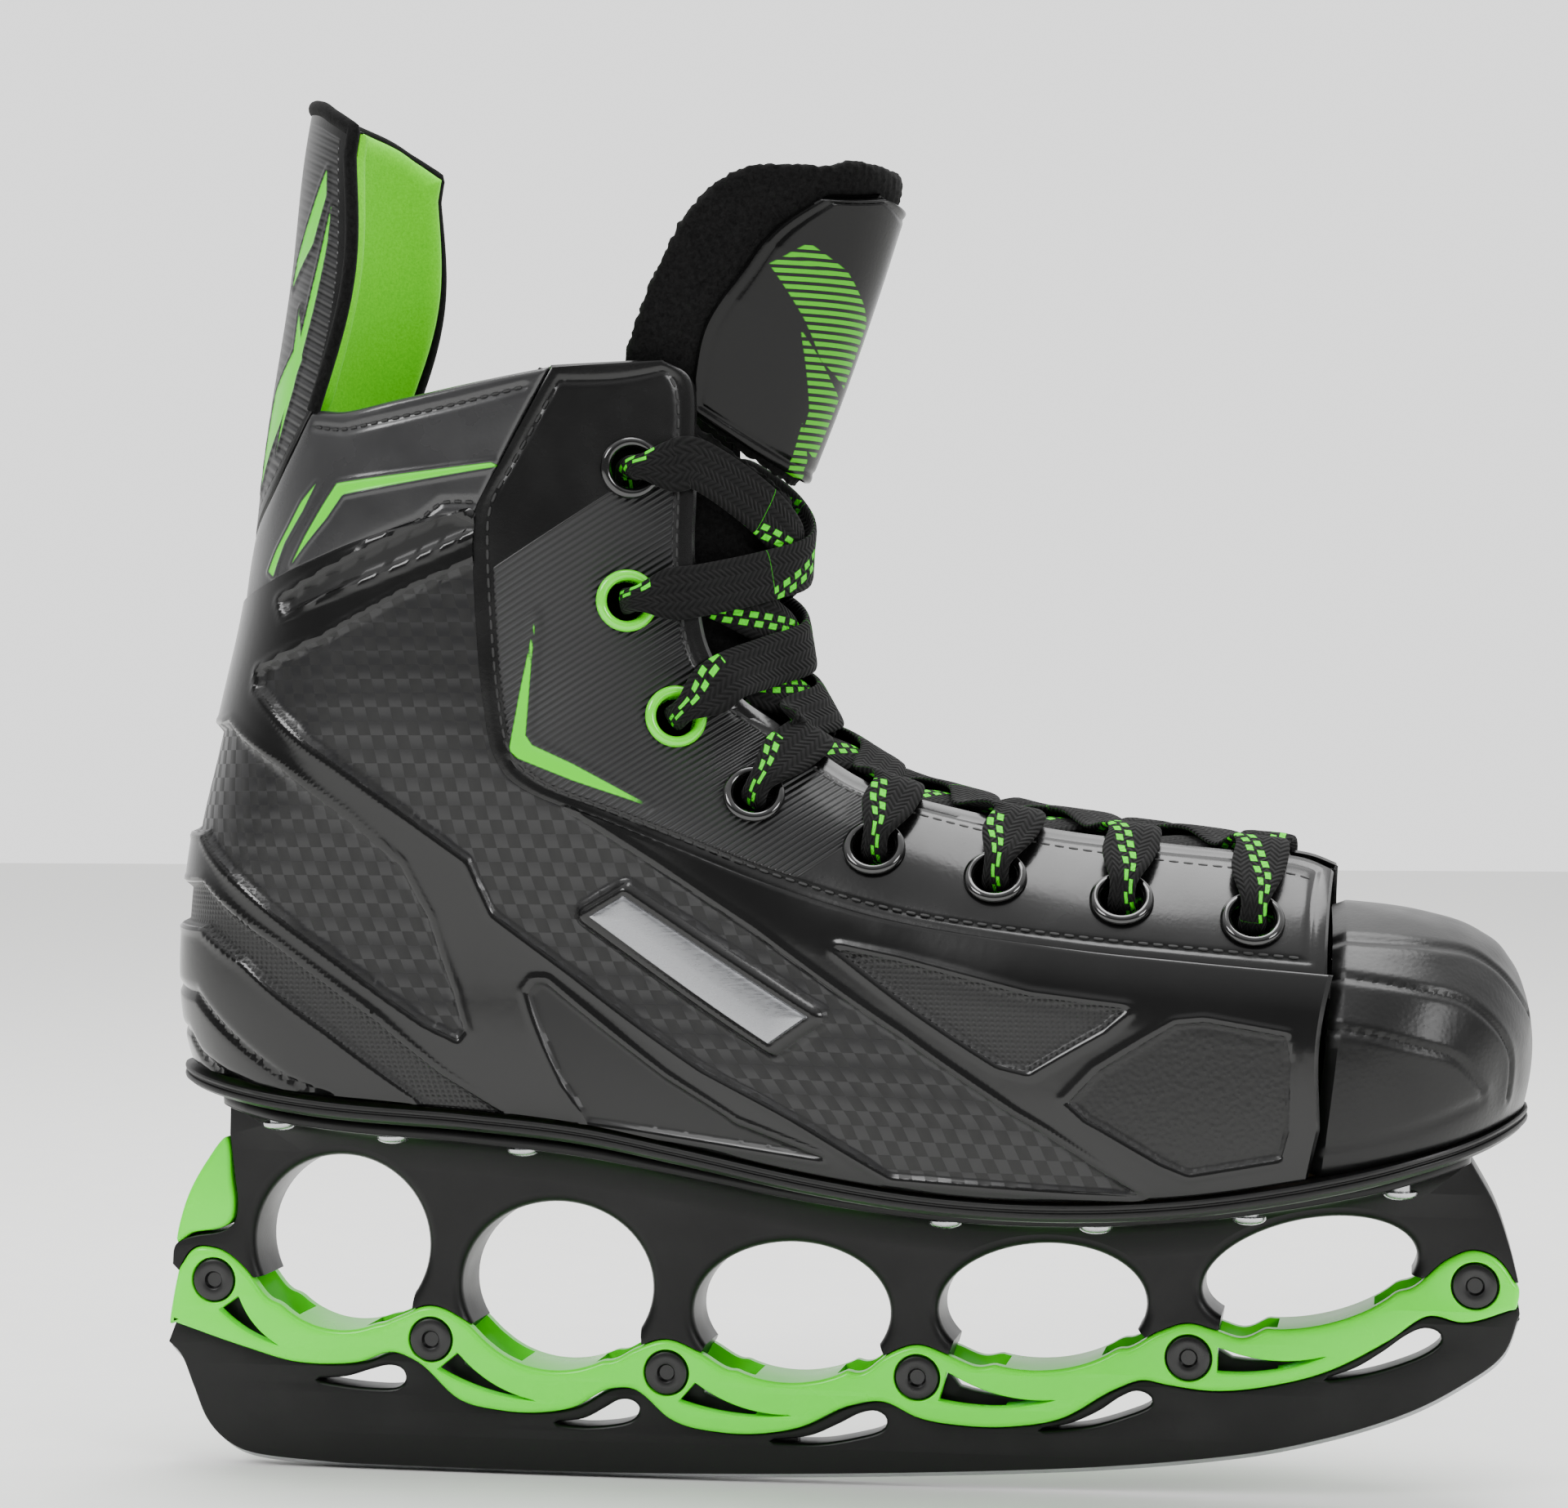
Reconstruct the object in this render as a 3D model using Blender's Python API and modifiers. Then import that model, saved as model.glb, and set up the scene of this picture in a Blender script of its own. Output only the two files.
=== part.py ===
"""A laced ice-hockey skate: a boot on a moulded holder with five windows, and a clip-in runner.

The frame is in metres: +X points to the toe, +Y to the medial side, +Z up, and the origin lies under
the middle of the skate, on the surface that the runner stands on. Sizes below are in millimetres, and
heights are measured from a datum line just above that surface, until main() lifts every piece by DATUM.
"""
import math

import bmesh
import bpy
import numpy as np
from mathutils import Vector

MM = 0.001
GAP = 0.3                      # clearance between two faces that rest on each other
CUT = 40.0                     # half the reach of a cutter that goes right through

# ---------------------------------------------------------------- driving dimensions
DATUM = 1.7                    # from the surface under the runner up to the datum line
SKATE_LENGTH = 284.0           # the runner's length
SHELL = 2.2                    # wall of the moulded quarter shell
SHELL_LIFT = 0.8               # how far the shell stands proud of the panels sewn beside it
PANEL = 2.0                    # thickness of the facings and the collar
LINING = 4.0
LINING_DEPTH = 3.0             # from the boot's surface to the lining's outer face
HEEL_ROUND = 36.0              # depth over which the back of the boot rounds off
ANKLE_HALF_WIDTH = 37.0
BALL_HALF_WIDTH = 45.5
HEEL_HALF_WIDTH = 32.0
TOE_HALF_WIDTH = 42.5
SOLE = 3.6                     # outsole plate
BOARD = 2.0                    # lasting board inside the boot
FOOTBED = 4.0
FLANGE = 2.5                   # the holder's flange under the sole
FLANGE_HALF_WIDTH = 27.0
TONGUE_PAD = 6.0
TONGUE_FACE = 1.4
GUARD_SHELL = 2.4
GUARD_PAD = 4.0
EYELET_BORE = 3.9              # radius
EYELET_BARREL = 4.8            # radius
EYELET_RIM = 6.3               # radius
LACE_WIDTH = 10.5
LACE_THICKNESS = 1.6
RIVET_SHANK = 2.0              # radius
RIVET_HEAD = 3.4               # radius
LUG_HALF = 2.0                 # half thickness of the lugs on the runner's body
FORK_HALF = 5.6                # half thickness of the holder's legs where the stabiliser wraps them
LEG_HALF = 8.6                 # half thickness of the holder's legs above that
BAND_HALF = 9.0
CARRIER_HALF = 4.2
STEEL = 2.9                    # thickness of the steel runner
STEEL_HEIGHT = 7.0
STEEL_SHOWS = 1.2
BOLT_RADIUS = 2.5
BOLT_HEAD = 4.5                # radius
LUG = 5.0                      # radius of a lug round its bolt

# The six runner bolts and the eight eyelets of one facing, as (x, z)
BOLTS = [(-131.3, 38.5), (-83.7, 27.2), (-33.2, 21.7), (19.3, 22.3), (74.7, 27.9), (131.7, 43.9)]
EYELETS = [(-36.0, 207.8), (-36.8, 181.0), (-27.2, 157.6), (-10.9, 141.8),
           (13.9, 131.2), (38.4, 125.6), (63.4, 121.4), (88.8, 117.6)]
# Each window of the holder: centre x, z, half length, half height and tilt in degrees
WINDOWS = [(-103.4, 47.0, 19.0, 18.4, 0.0), (-56.8, 39.0, 20.4, 17.5, 2.0), (-7.1, 34.8, 20.6, 14.4, 2.0),
           (44.9, 37.3, 21.3, 12.8, 5.0), (98.9, 45.6, 21.8, 10.6, 13.0)]
# Where the stabiliser's saddle closes each window, as its rear and front x
SADDLES = [(-113.2, -98.5), (-64.7, -48.8), (-14.9, 2.3), (37.3, 56.9), (92.5, 111.7)]
# The curved slot beside each bolt but the last: the angles of its two corners at the bolt, the angle and
# the distance of its point, all about the bolt
SLOTS = [(-31.0, -79.0, -43.3, 19.7), (-24.5, -77.0, -28.3, 25.8), (-17.0, -66.0, -16.8, 27.7),
         (12.0, -46.0, -7.6, 28.7), (22.0, -26.0, 2.3, 27.6)]
RIB_DEPTH = 9.0                # how far below the stabiliser's edge a bolt's rib reaches
FRONT_RIB_DEPTH = 4.0
SLOT_START = 6.4               # from a bolt to where its slot begins
RIVETS_X = [-113.0, -88.5, -60.8, 26.7, 57.0, 87.4, 117.0]
RIVET_Y = 20.0                 # from the middle to a row of rivets


# ---------------------------------------------------------------- curves
def hermite(knots):
    """A smooth function through (input, output) knots, with slopes taken from their neighbours."""
    xs, ys = np.array(knots, float).T
    slopes = np.gradient(ys, xs)

    def value(x):
        x = np.clip(np.asarray(x, float), xs[0], xs[-1])
        i = np.clip(np.searchsorted(xs, x) - 1, 0, len(xs) - 2)
        h = xs[i + 1] - xs[i]
        t = (x - xs[i]) / h
        return ((2 * t**3 - 3 * t**2 + 1) * ys[i] + (t**3 - 2 * t**2 + t) * h * slopes[i]
                + (3 * t**2 - 2 * t**3) * ys[i + 1] + (t**3 - t**2) * h * slopes[i + 1])

    return value


def through(points, steps):
    """A smooth open curve through points, with a given number of steps between neighbours."""
    p = np.array(points, float)
    p = np.vstack([2 * p[0] - p[1], p, 2 * p[-1] - p[-2]])
    made = []
    for a, b, c, d in zip(p[:-3], p[1:-2], p[2:-1], p[3:]):
        for t in np.arange(steps) / steps:
            made.append(0.5 * (2 * b + (c - a) * t + (2 * a - 5 * b + 4 * c - d) * t**2
                               + (3 * b - a - 3 * c + d) * t**3))
    return np.array([*made, p[-2]])


def ring(cx, cz, rx, rz, tilt=0.0, steps=24):
    """An ellipse as a closed list of points."""
    a = np.arange(steps) * 2 * math.pi / steps
    c, s = math.cos(math.radians(tilt)), math.sin(math.radians(tilt))
    x, z = rx * np.cos(a), rz * np.sin(a)
    return np.column_stack([cx + x * c - z * s, cz + x * s + z * c])


def smoothstep(low, high, x):
    t = np.clip((x - low) / (high - low), 0, 1)
    return t * t * (3 - 2 * t)


def roundoff(t):
    """A quarter circle: 0 at t = 0, rising to 1 at t = 1 and staying there."""
    return np.sqrt(np.clip(1 - (1 - np.clip(t, 0, 1)) ** 2, 0, 1))


# ---------------------------------------------------------------- the boot's form
sole_top = hermite([(-142, 86.0), (-123, 82.4), (-99, 79.2), (-71, 77.2), (-47, 74.8), (-26, 71.2),
                    (2.5, 66.2), (27, 63.4), (51, 62.8), (75, 64.2), (101, 68.2), (118, 72.0),
                    (136, 77.4), (143, 80.5)])
back_line = hermite([(78, -134.5), (95, -138.6), (119, -138.4), (135, -136.0), (150, -132.2),
                     (163, -129.0), (178, -125.4), (195, -122.5), (213, -120.4), (250, -114.5),
                     (276, -111.5), (290, -109.0)])
vamp_line = hermite([(-140, 222), (-40, 172), (-20, 161.5), (0, 153.0), (19, 147.2), (36, 143.2),
                     (65, 138.6), (91, 135.2), (106, 132.6)])
low_width = hermite([(-140, HEEL_HALF_WIDTH), (-100, HEEL_HALF_WIDTH), (-70, HEEL_HALF_WIDTH - 1),
                     (-40, HEEL_HALF_WIDTH - 1), (-10, HEEL_HALF_WIDTH + 3.5),
                     (20, BALL_HALF_WIDTH - 4.5), (50, BALL_HALF_WIDTH - 0.5), (75, BALL_HALF_WIDTH),
                     (105, BALL_HALF_WIDTH - 2)])
toe_line = hermite([(60, 99.7), (110, 105.3), (140, 105.6)])
ANKLE_FRONT = -3.0
ANKLE_DEPTH = 84.0             # from the instep back to where the ankle is widest
VAMP_DEPTH = 42.0              # from the vamp's ridge down to where the forefoot is widest
WELT_SHARE = 0.9               # the boot's width at the sole, as a share of its width higher up
WELT_RISE = 22.0               # height over which it widens from one to the other


def half_width(x, z):
    """Half the boot's outer width at a point of its side view."""
    high = smoothstep(100, 170, z)
    width = low_width(x) * (1 - high) + ANKLE_HALF_WIDTH * high
    ankle, vamp = (ANKLE_FRONT - x) / ANKLE_DEPTH, (vamp_line(x) - z) / VAMP_DEPTH
    instep = (ankle + vamp + np.sqrt((ankle - vamp) ** 2 + 0.2**2)) / 2
    welt = WELT_SHARE + (1 - WELT_SHARE) * roundoff((z - sole_top(x)) / WELT_RISE)
    return width * roundoff(instep) * roundoff((x - back_line(z)) / HEEL_ROUND) * welt


def offset(grid, distance):
    """A grid of points moved along its own normals."""
    normal = np.cross(np.gradient(grid, axis=0), np.gradient(grid, axis=1))
    normal /= np.linalg.norm(normal, axis=2, keepdims=True)
    return grid + normal * distance


# ---------------------------------------------------------------- Blender helpers
def reset():
    for obj in list(bpy.data.objects):
        bpy.data.objects.remove(obj)
    for name in ("ice_skate", "cutters"):
        bpy.context.scene.collection.children.link(bpy.data.collections.new(name))


def material(name, colour, roughness, metallic=0.0):
    made = bpy.data.materials.new(name)
    made.use_nodes = True
    shader = made.node_tree.nodes["Principled BSDF"]
    shader.inputs["Base Color"].default_value = (*colour, 1.0)
    shader.inputs["Roughness"].default_value = roughness
    shader.inputs["Metallic"].default_value = metallic
    return made


def place(name, data, finish=None, cutter=False):
    obj = bpy.data.objects.new(name, data)
    bpy.data.collections["cutters" if cutter else "ice_skate"].objects.link(obj)
    if finish is not None and hasattr(data, "materials"):
        data.materials.append(finish)
    if cutter:
        obj.hide_render = True
        obj.display_type = "WIRE"
    return obj


def smooth_shaded(mesh, degrees=40):
    mesh.shade_smooth()
    mesh.set_sharp_from_angle(angle=math.radians(degrees))


def modifier(obj, kind, **settings):
    made = obj.modifiers.new(kind.title(), kind)
    for key, value in settings.items():
        setattr(made, key, value)
    return made


def skin(name, grid, thickness, finish, inward=True):
    """An open grid of points in millimetres, thickened to one side."""
    n, m = grid.shape[:2]
    mesh = bpy.data.meshes.new(name)
    faces = [(i * m + j, (i + 1) * m + j, (i + 1) * m + j + 1, i * m + j + 1)
             for i in range(n - 1) for j in range(m - 1)]
    mesh.from_pydata((grid.reshape(-1, 3) * MM).tolist(), [], faces)
    shape = bmesh.new()
    shape.from_mesh(mesh)
    bmesh.ops.remove_doubles(shape, verts=shape.verts, dist=1e-5)
    shape.to_mesh(mesh)
    shape.free()
    smooth_shaded(mesh)
    obj = place(name, mesh, finish)
    modifier(obj, "SOLIDIFY", thickness=thickness * MM, offset=-1 if inward else 1, use_even_offset=True)
    return obj


def plate(name, loops, low_y, high_y, finish=None, cutter=False):
    """A flat outline in the XZ plane, with its holes, extruded from low_y to high_y, as a mesh."""
    curve = bpy.data.curves.new(name + "_outline", "CURVE")
    curve.dimensions = "2D"
    curve.fill_mode = "BOTH"
    curve.extrude = (high_y - low_y) / 2 * MM
    for loop in loops:
        spline = curve.splines.new("POLY")
        spline.points.add(len(loop) - 1)
        spline.points.foreach_set("co", [c for x, z in loop for c in (x * MM, z * MM, 0, 1)])
        spline.use_cyclic_u = True
    guide = place(name + "_outline", curve, cutter=True)
    guide.rotation_euler = (math.pi / 2, 0, 0)
    guide.location = (0, (low_y + high_y) / 2 * MM, 0)
    return mesh_of(guide, name, finish, cutter)


def mesh_of(guide, name, finish, cutter=False):
    """The mesh of a curve object, welded, in place of the curve."""
    bpy.context.view_layer.update()
    mesh = bpy.data.meshes.new_from_object(guide.evaluated_get(bpy.context.evaluated_depsgraph_get()))
    mesh.name = name
    mesh.materials.clear()
    shape = bmesh.new()
    shape.from_mesh(mesh)
    bmesh.ops.remove_doubles(shape, verts=shape.verts, dist=1e-6)
    bmesh.ops.recalc_face_normals(shape, faces=shape.faces)
    shape.to_mesh(mesh)
    shape.free()
    obj = place(name, mesh, finish, cutter)
    obj.matrix_world = guide.matrix_world.copy()
    bpy.data.objects.remove(guide)
    return obj


def box(name, low, high, cutter=True):
    mesh = bpy.data.meshes.new(name)
    shape = bmesh.new()
    bmesh.ops.create_cube(shape, size=1.0)
    low, high = np.array(low) * MM, np.array(high) * MM
    for vert in shape.verts:
        vert.co = (low + high) / 2 + np.array(vert.co) * (high - low)
    shape.to_mesh(mesh)
    shape.free()
    return place(name, mesh, cutter=cutter)


def rod(name, centre, axis, radius, length, sides=12, finish=None, cutter=False):
    """A cylinder centred on a point, along an axis."""
    mesh = bpy.data.meshes.new(name)
    shape = bmesh.new()
    bmesh.ops.create_cone(shape, cap_ends=True, segments=sides, radius1=radius * MM, radius2=radius * MM,
                          depth=length * MM)
    shape.to_mesh(mesh)
    shape.free()
    obj = place(name, mesh, finish, cutter)
    aim(obj, centre, axis)
    return obj


def turned(name, profile, centre, axis, finish, steps=12, closed=False):
    """A profile of (radius, height) points, from its top down its outer side, turned about local Z."""
    mesh = bpy.data.meshes.new(name)
    points = [(r * MM, 0, h * MM) for r, h in profile]
    edges = [(i, (i + 1) % len(points)) for i in range(len(points) - (not closed))]
    mesh.from_pydata(points, edges, [])
    obj = place(name, mesh, finish)
    modifier(obj, "SCREW", angle=2 * math.pi, steps=steps, render_steps=steps, use_merge_vertices=True,
             merge_threshold=1e-5, use_smooth_shade=True)
    aim(obj, centre, axis)
    return obj


def aim(obj, centre, axis):
    """Puts an object's origin at a point in millimetres, with its local Z along an axis."""
    obj.rotation_mode = "QUATERNION"
    obj.rotation_quaternion = Vector(axis).to_track_quat("Z", "Y")
    obj.location = [c * MM for c in centre]


def cut(obj, cutters, operation="DIFFERENCE"):
    for cutter in cutters:
        modifier(obj, "BOOLEAN", operation=operation, object=cutter, solver="EXACT")
    return obj


def joined(cutters, name):
    """Cutters that don't touch, as one cutter with several bodies."""
    bpy.context.view_layer.update()
    shape = bmesh.new()
    for part in cutters:
        piece = part.data.copy()
        piece.transform(part.matrix_world)
        shape.from_mesh(piece)
        bpy.data.objects.remove(part)
    mesh = bpy.data.meshes.new(name)
    shape.to_mesh(mesh)
    shape.free()
    return place(name, mesh, cutter=True)


# ---------------------------------------------------------------- finishes
def finishes():
    green = (0.16, 0.76, 0.02)
    return {
        "shell": material("moulded_shell", (0.018, 0.018, 0.019), 0.3),
        "synthetic": material("grey_synthetic_leather", (0.05, 0.05, 0.052), 0.3),
        "facing": material("black_synthetic_leather", (0.022, 0.022, 0.023), 0.35),
        "toe": material("satin_black_plastic", (0.02, 0.02, 0.021), 0.45),
        "felt": material("black_felt", (0.008, 0.008, 0.008), 0.95),
        "lining": material("green_microfibre", (0.18, 0.55, 0.02), 0.9),
        "sole": material("black_rubbery_plastic", (0.016, 0.016, 0.016), 0.5),
        "board": material("fibre_board", (0.16, 0.12, 0.08), 0.8),
        "foam": material("black_foam", (0.03, 0.03, 0.03), 0.9),
        "holder": material("glass_filled_nylon", (0.03, 0.03, 0.031), 0.45),
        "green": material("green_nylon", green, 0.35),
        "steel": material("stainless_steel", (0.6, 0.6, 0.62), 0.25, 1.0),
        "eyelet_black": material("black_enamelled_brass", (0.01, 0.01, 0.01), 0.2),
        "eyelet_green": material("green_enamelled_brass", green, 0.25),
        "lace": material("braided_polyester", (0.02, 0.02, 0.02), 0.85),
    }


# ---------------------------------------------------------------- holder and runner
def sole_under(x):
    return sole_top(x) - GAP - SOLE


RUNNER_REAR, RUNNER_FRONT = -SKATE_LENGTH / 2 - 1.0, SKATE_LENGTH / 2 - 1.0
FLAT = -DATUM                  # the runner's lowest line
# The runner's bottom profile from heel to toe
PROFILE = [(RUNNER_REAR, 23.2), (-140.0, 20.0), (-137.4, 13.7), (-134.4, 6.8), (-129.8, 2.2),
           (-123.4, -0.2), (-110.0, -1.3), (-96.0, FLAT), (-50.0, FLAT), (-3.0, -0.4), (48.2, 2.4),
           (81.6, 6.0), (101.4, 10.2), (117.8, 15.8), (129.1, 21.9), (137.2, 28.2),
           (RUNNER_FRONT - 0.4, 36.6)]
# The stabiliser's lower edge from heel to toe, and its upper edge from toe to heel
BAND_LOW = [(-141.2, 29.6), (-124.2, 24.3), (-113.5, 21.6), (-106.3, 21.3), (-99.1, 22.0),
            (-92.0, 24.2), (-86.7, 22.3), (-77.8, 14.8), (-69.0, 12.7), (-60.2, 12.5), (-53.2, 13.8),
            (-45.0, 18.0), (-40.2, 18.0), (-32.4, 12.0), (-22.1, 9.6), (-13.5, 9.6), (-4.9, 11.3),
            (5.3, 16.0), (12.2, 17.0), (19.3, 14.0), (29.0, 12.6), (39.1, 12.8), (49.0, 14.8),
            (59.8, 21.0), (65.0, 23.0), (70.6, 22.2), (78.8, 21.3), (91.9, 22.8), (103.2, 26.2),
            (114.6, 32.4), (122.6, 37.6), (129.0, 36.5), (140.4, 39.8)]
BAND_HIGH = [(140.4, 43.2), (137.6, 47.8), (132.2, 50.9), (126.0, 48.8), (119.3, 43.2), (111.7, 42.2),
             (100.0, 37.4), (92.0, 35.2), (85.6, 32.2), (80.0, 33.6), (74.7, 34.8), (68.4, 32.8),
             (61.8, 29.4), (56.9, 30.4), (46.6, 26.8), (36.8, 25.8), (31.8, 24.8), (26.1, 26.8),
             (19.3, 28.9), (12.9, 26.6), (7.8, 23.0), (2.2, 23.8), (-6.5, 22.6), (-15.0, 23.2),
             (-19.6, 22.6), (-26.2, 26.0), (-33.2, 28.5), (-40.0, 26.4), (-45.0, 23.9), (-48.8, 24.0),
             (-57.0, 23.6), (-65.0, 25.2), (-71.0, 26.4), (-76.2, 31.0), (-83.7, 34.2), (-91.0, 31.7),
             (-95.0, 30.2), (-98.5, 30.5), (-106.0, 30.4), (-113.2, 33.6), (-119.4, 35.0),
             (-124.4, 41.0), (-131.3, 45.3), (-137.4, 43.4), (-140.0, 38.5)]
band_low_z = hermite(BAND_LOW)


def band_outline(grow=0.0):
    """The stabiliser's outline, moved outwards by a clearance."""
    low, high = through(BAND_LOW, 1), through(BAND_HIGH, 1)
    low[:, 1] -= grow
    high[:, 1] += grow
    low[[0, -1], 0] += (-grow, grow)
    high[[0, -1], 0] += (grow, -grow)
    return np.vstack([low, high])


def about_bolt(i, angle, reach):
    """A point at an angle in degrees and a distance from a bolt."""
    turn = math.radians(angle)
    return np.array(BOLTS[i]) + reach * np.array([math.cos(turn), math.sin(turn)])


def slot_edges(i):
    """The upper and lower edges of a slot, from the bolt to its point, as bent lines that sag forwards."""
    high, low, end, reach = SLOTS[i]
    tip = about_bolt(i, end, reach)
    edges = []
    for angle, sag in ((high, 0.13), (low, 0.10)):
        start = about_bolt(i, angle, SLOT_START)
        along = tip - start
        bend = (start + tip) / 2 + sag * reach * np.array([along[1], -along[0]]) / np.hypot(*along)
        t = np.linspace(0, 1, 5)[:, None]
        edges.append((1 - t) ** 2 * start + 2 * t * (1 - t) * bend + t**2 * tip)
    return edges


def slot_outline(i):
    high, low = slot_edges(i)
    return np.vstack([high[:-1], low[-1:], low[:-1][::-1]])


def rib_outline(i, grow=0.0):
    """A lug round a bolt and the rib that runs on from it behind the slot, enlarged by a clearance."""
    x, z = BOLTS[i]
    a = np.radians(np.linspace(180, 15 if i < len(SLOTS) else 0, 6))
    lug = np.column_stack([x + (LUG + grow) * np.cos(a), z + (LUG + grow) * np.sin(a)])
    if i == len(SLOTS):
        front = np.array([(x + LUG + grow, float(band_low_z(x)) - FRONT_RIB_DEPTH)])
    else:
        high, low = slot_edges(i)
        line = (0.45 * high + 0.55 * low)[1:] + (0, grow)
        corner = (line[-1, 0] + grow, float(band_low_z(x)) - RIB_DEPTH)
        front = np.vstack([line, line[-1:] + (grow, -grow), [corner]])
    return np.vstack([lug, front, [(x - LUG - grow, front[-1, 1])]])


def build_steel(finish):
    low = through(PROFILE, 2)
    low[:, 1] = np.maximum(low[:, 1], FLAT)
    high = through([(x, z + STEEL_HEIGHT) for x, z in PROFILE[3:-3]], 2)[::-1]
    return plate("runner_steel", [np.vstack([low, high])], -STEEL / 2, STEEL / 2, finish)


# The openings under the stabiliser, each with its points from the rear tip over the top and back
TEARDROPS = [
    [(-110.0, 17.2), (-103.6, 18.0), (-98.4, 19.6), (-94.6, 20.6), (-91.8, 20.2),
     (-90.6, 18.6), (-91.2, 16.8), (-94.0, 15.8), (-102.0, 16.0)],
    [(-58.0, 9.7), (-52.0, 10.7), (-47.6, 13.0), (-44.4, 14.8), (-41.6, 14.8),
     (-40.0, 13.2), (-41.4, 10.9), (-45.4, 9.7), (-52.0, 9.1)],
    [(-12.0, 7.4), (-4.0, 8.6), (2.0, 11.2), (6.6, 13.6), (10.0, 14.2),
     (12.2, 12.8), (11.6, 10.6), (7.4, 9.0), (-2.0, 7.2)],
    [(44.0, 11.5), (50.4, 13.0), (56.0, 15.6), (60.4, 18.6), (63.8, 20.0),
     (66.6, 19.0), (66.6, 17.2), (62.4, 15.2), (54.0, 12.6)],
    [(102.0, 23.6), (108.0, 26.0), (113.4, 29.4), (118.0, 32.8), (121.6, 34.4),
     (124.6, 33.6), (124.6, 31.4), (120.0, 28.4), (111.0, 25.2)],
]


def build_carrier(finish):
    """The black body moulded round the steel: it follows the stabiliser and has a lug for each bolt."""
    low = through([(x, z + STEEL_SHOWS) for x, z in PROFILE], 2)
    high = through([(x, z - 2 * GAP) for x, z in BAND_LOW], 1)[::-1]
    body = plate("runner_carrier", [np.vstack([low, high]), *TEARDROPS], -CARRIER_HALF, CARRIER_HALF, finish)
    lugs = [plate(f"lug_{i}", [rib_outline(i)], -LUG_HALF, LUG_HALF, cutter=True) for i in range(len(BOLTS))]
    cut(body, [joined(lugs, "lugs")], "UNION")
    holes = [rod(f"lug_hole_{i}", (x, 0, z), (0, 1, 0), BOLT_RADIUS + GAP, 30, 8, cutter=True)
             for i, (x, z) in enumerate(BOLTS)]
    groove_low = through([(x, z - 6) for x, z in PROFILE], 2)
    groove_high = through([(x, z + STEEL_HEIGHT + GAP) for x, z in PROFILE[3:-3]], 2)[::-1]
    ends = np.array([(RUNNER_FRONT + 2.6, 39.0), (RUNNER_REAR - 3, 27.0)])
    groove = plate("steel_groove", [np.vstack([groove_low, ends[:1], groove_high, ends[1:]])],
                   -STEEL / 2 - GAP / 2, STEEL / 2 + GAP / 2, cutter=True)
    return cut(body, [joined(holes, "lug_holes"), groove])


def window_cutter(name):
    windows = [plate(f"{name}_{i}", [ring(*w, steps=20)], -CUT, CUT, cutter=True)
               for i, w in enumerate(WINDOWS)]
    return joined(windows, name)


def build_stabiliser(finish):
    """One green moulding: cheeks outside the legs, joined by a saddle that closes each window."""
    slots = [slot_outline(i) for i in range(len(SLOTS))]
    band = plate("stabiliser", [band_outline(), *slots], -BAND_HALF, BAND_HALF, finish)
    ends = [RUNNER_REAR - 5, *[x for pair in SADDLES for x in pair], RUNNER_FRONT + 5]
    pockets = [box(f"leg_pocket_{i}", (low, -FORK_HALF - GAP, -5), (high, FORK_HALF + GAP, 70))
               for i, (low, high) in enumerate(zip(ends[0::2], ends[1::2]))]
    ribs = [plate(f"rib_pocket_{i}", [rib_outline(i, 2 * GAP)], -LUG_HALF - GAP, LUG_HALF + GAP, cutter=True)
            for i in range(len(BOLTS))]
    holes = [rod(f"cheek_hole_{i}", (x, 0, z), (0, 1, 0), BOLT_HEAD + GAP, 40, 12, cutter=True)
             for i, (x, z) in enumerate(BOLTS)]
    return cut(band, [joined(pockets, "leg_pockets"), joined(ribs, "rib_pockets"),
                      joined(holes, "cheek_holes"), window_cutter("band_windows")])


CLIP = [(-128.4, 68.9), (-127.4, 60.5), (-126.8, 55.3), (-127.4, 51.4), (-130.2, 49.4), (-136.0, 48.4),
        (-139.6, 46.6), (-137.4, 55.6), (-133.2, 63.4)]


def holder_outline():
    """The holder's side view: the rear edge in front of the clip, six feet, the front edge and the top."""
    rear = [(-127.8, 69.6), (-126.7, 60.5), (-126.1, 55.3), (-126.9, 50.7), (-130.2, 48.7), (-136.0, 47.7),
            (-139.9, 45.7), (-140.6, 41.0)]
    feet = []
    for i, (x, z) in enumerate(BOLTS):
        r = LUG
        feet += [(x - r - 2.6 if i == 0 else x - r, z - 1.0), (x - r * 0.7, z - r * 0.7), (x, z - r),
                 (x + r * 0.7, z - r * 0.7), (x + r, z - 1.0)]
        if i < len(WINDOWS):
            cx, cz, rx, rz, tilt = WINDOWS[i]
            for turn in (205, 230, 270, 310, 335):
                a, b = math.radians(turn), math.radians(tilt)
                px, pz = (rx - 1.0) * math.cos(a), (rz - 1.0) * math.sin(a)
                feet.append((cx + px * math.cos(b) - pz * math.sin(b),
                             cz + px * math.sin(b) + pz * math.cos(b)))
    front = [(140.2, 44.8), (138.4, 52.0), (135.6, 60.2), (131.0, 68.6)]
    xs = np.linspace(129.5, -127.6, 22)
    top = np.column_stack([xs, sole_under(xs) - GAP - FLANGE / 2])
    return np.vstack([rear, feet, front, top])


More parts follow.
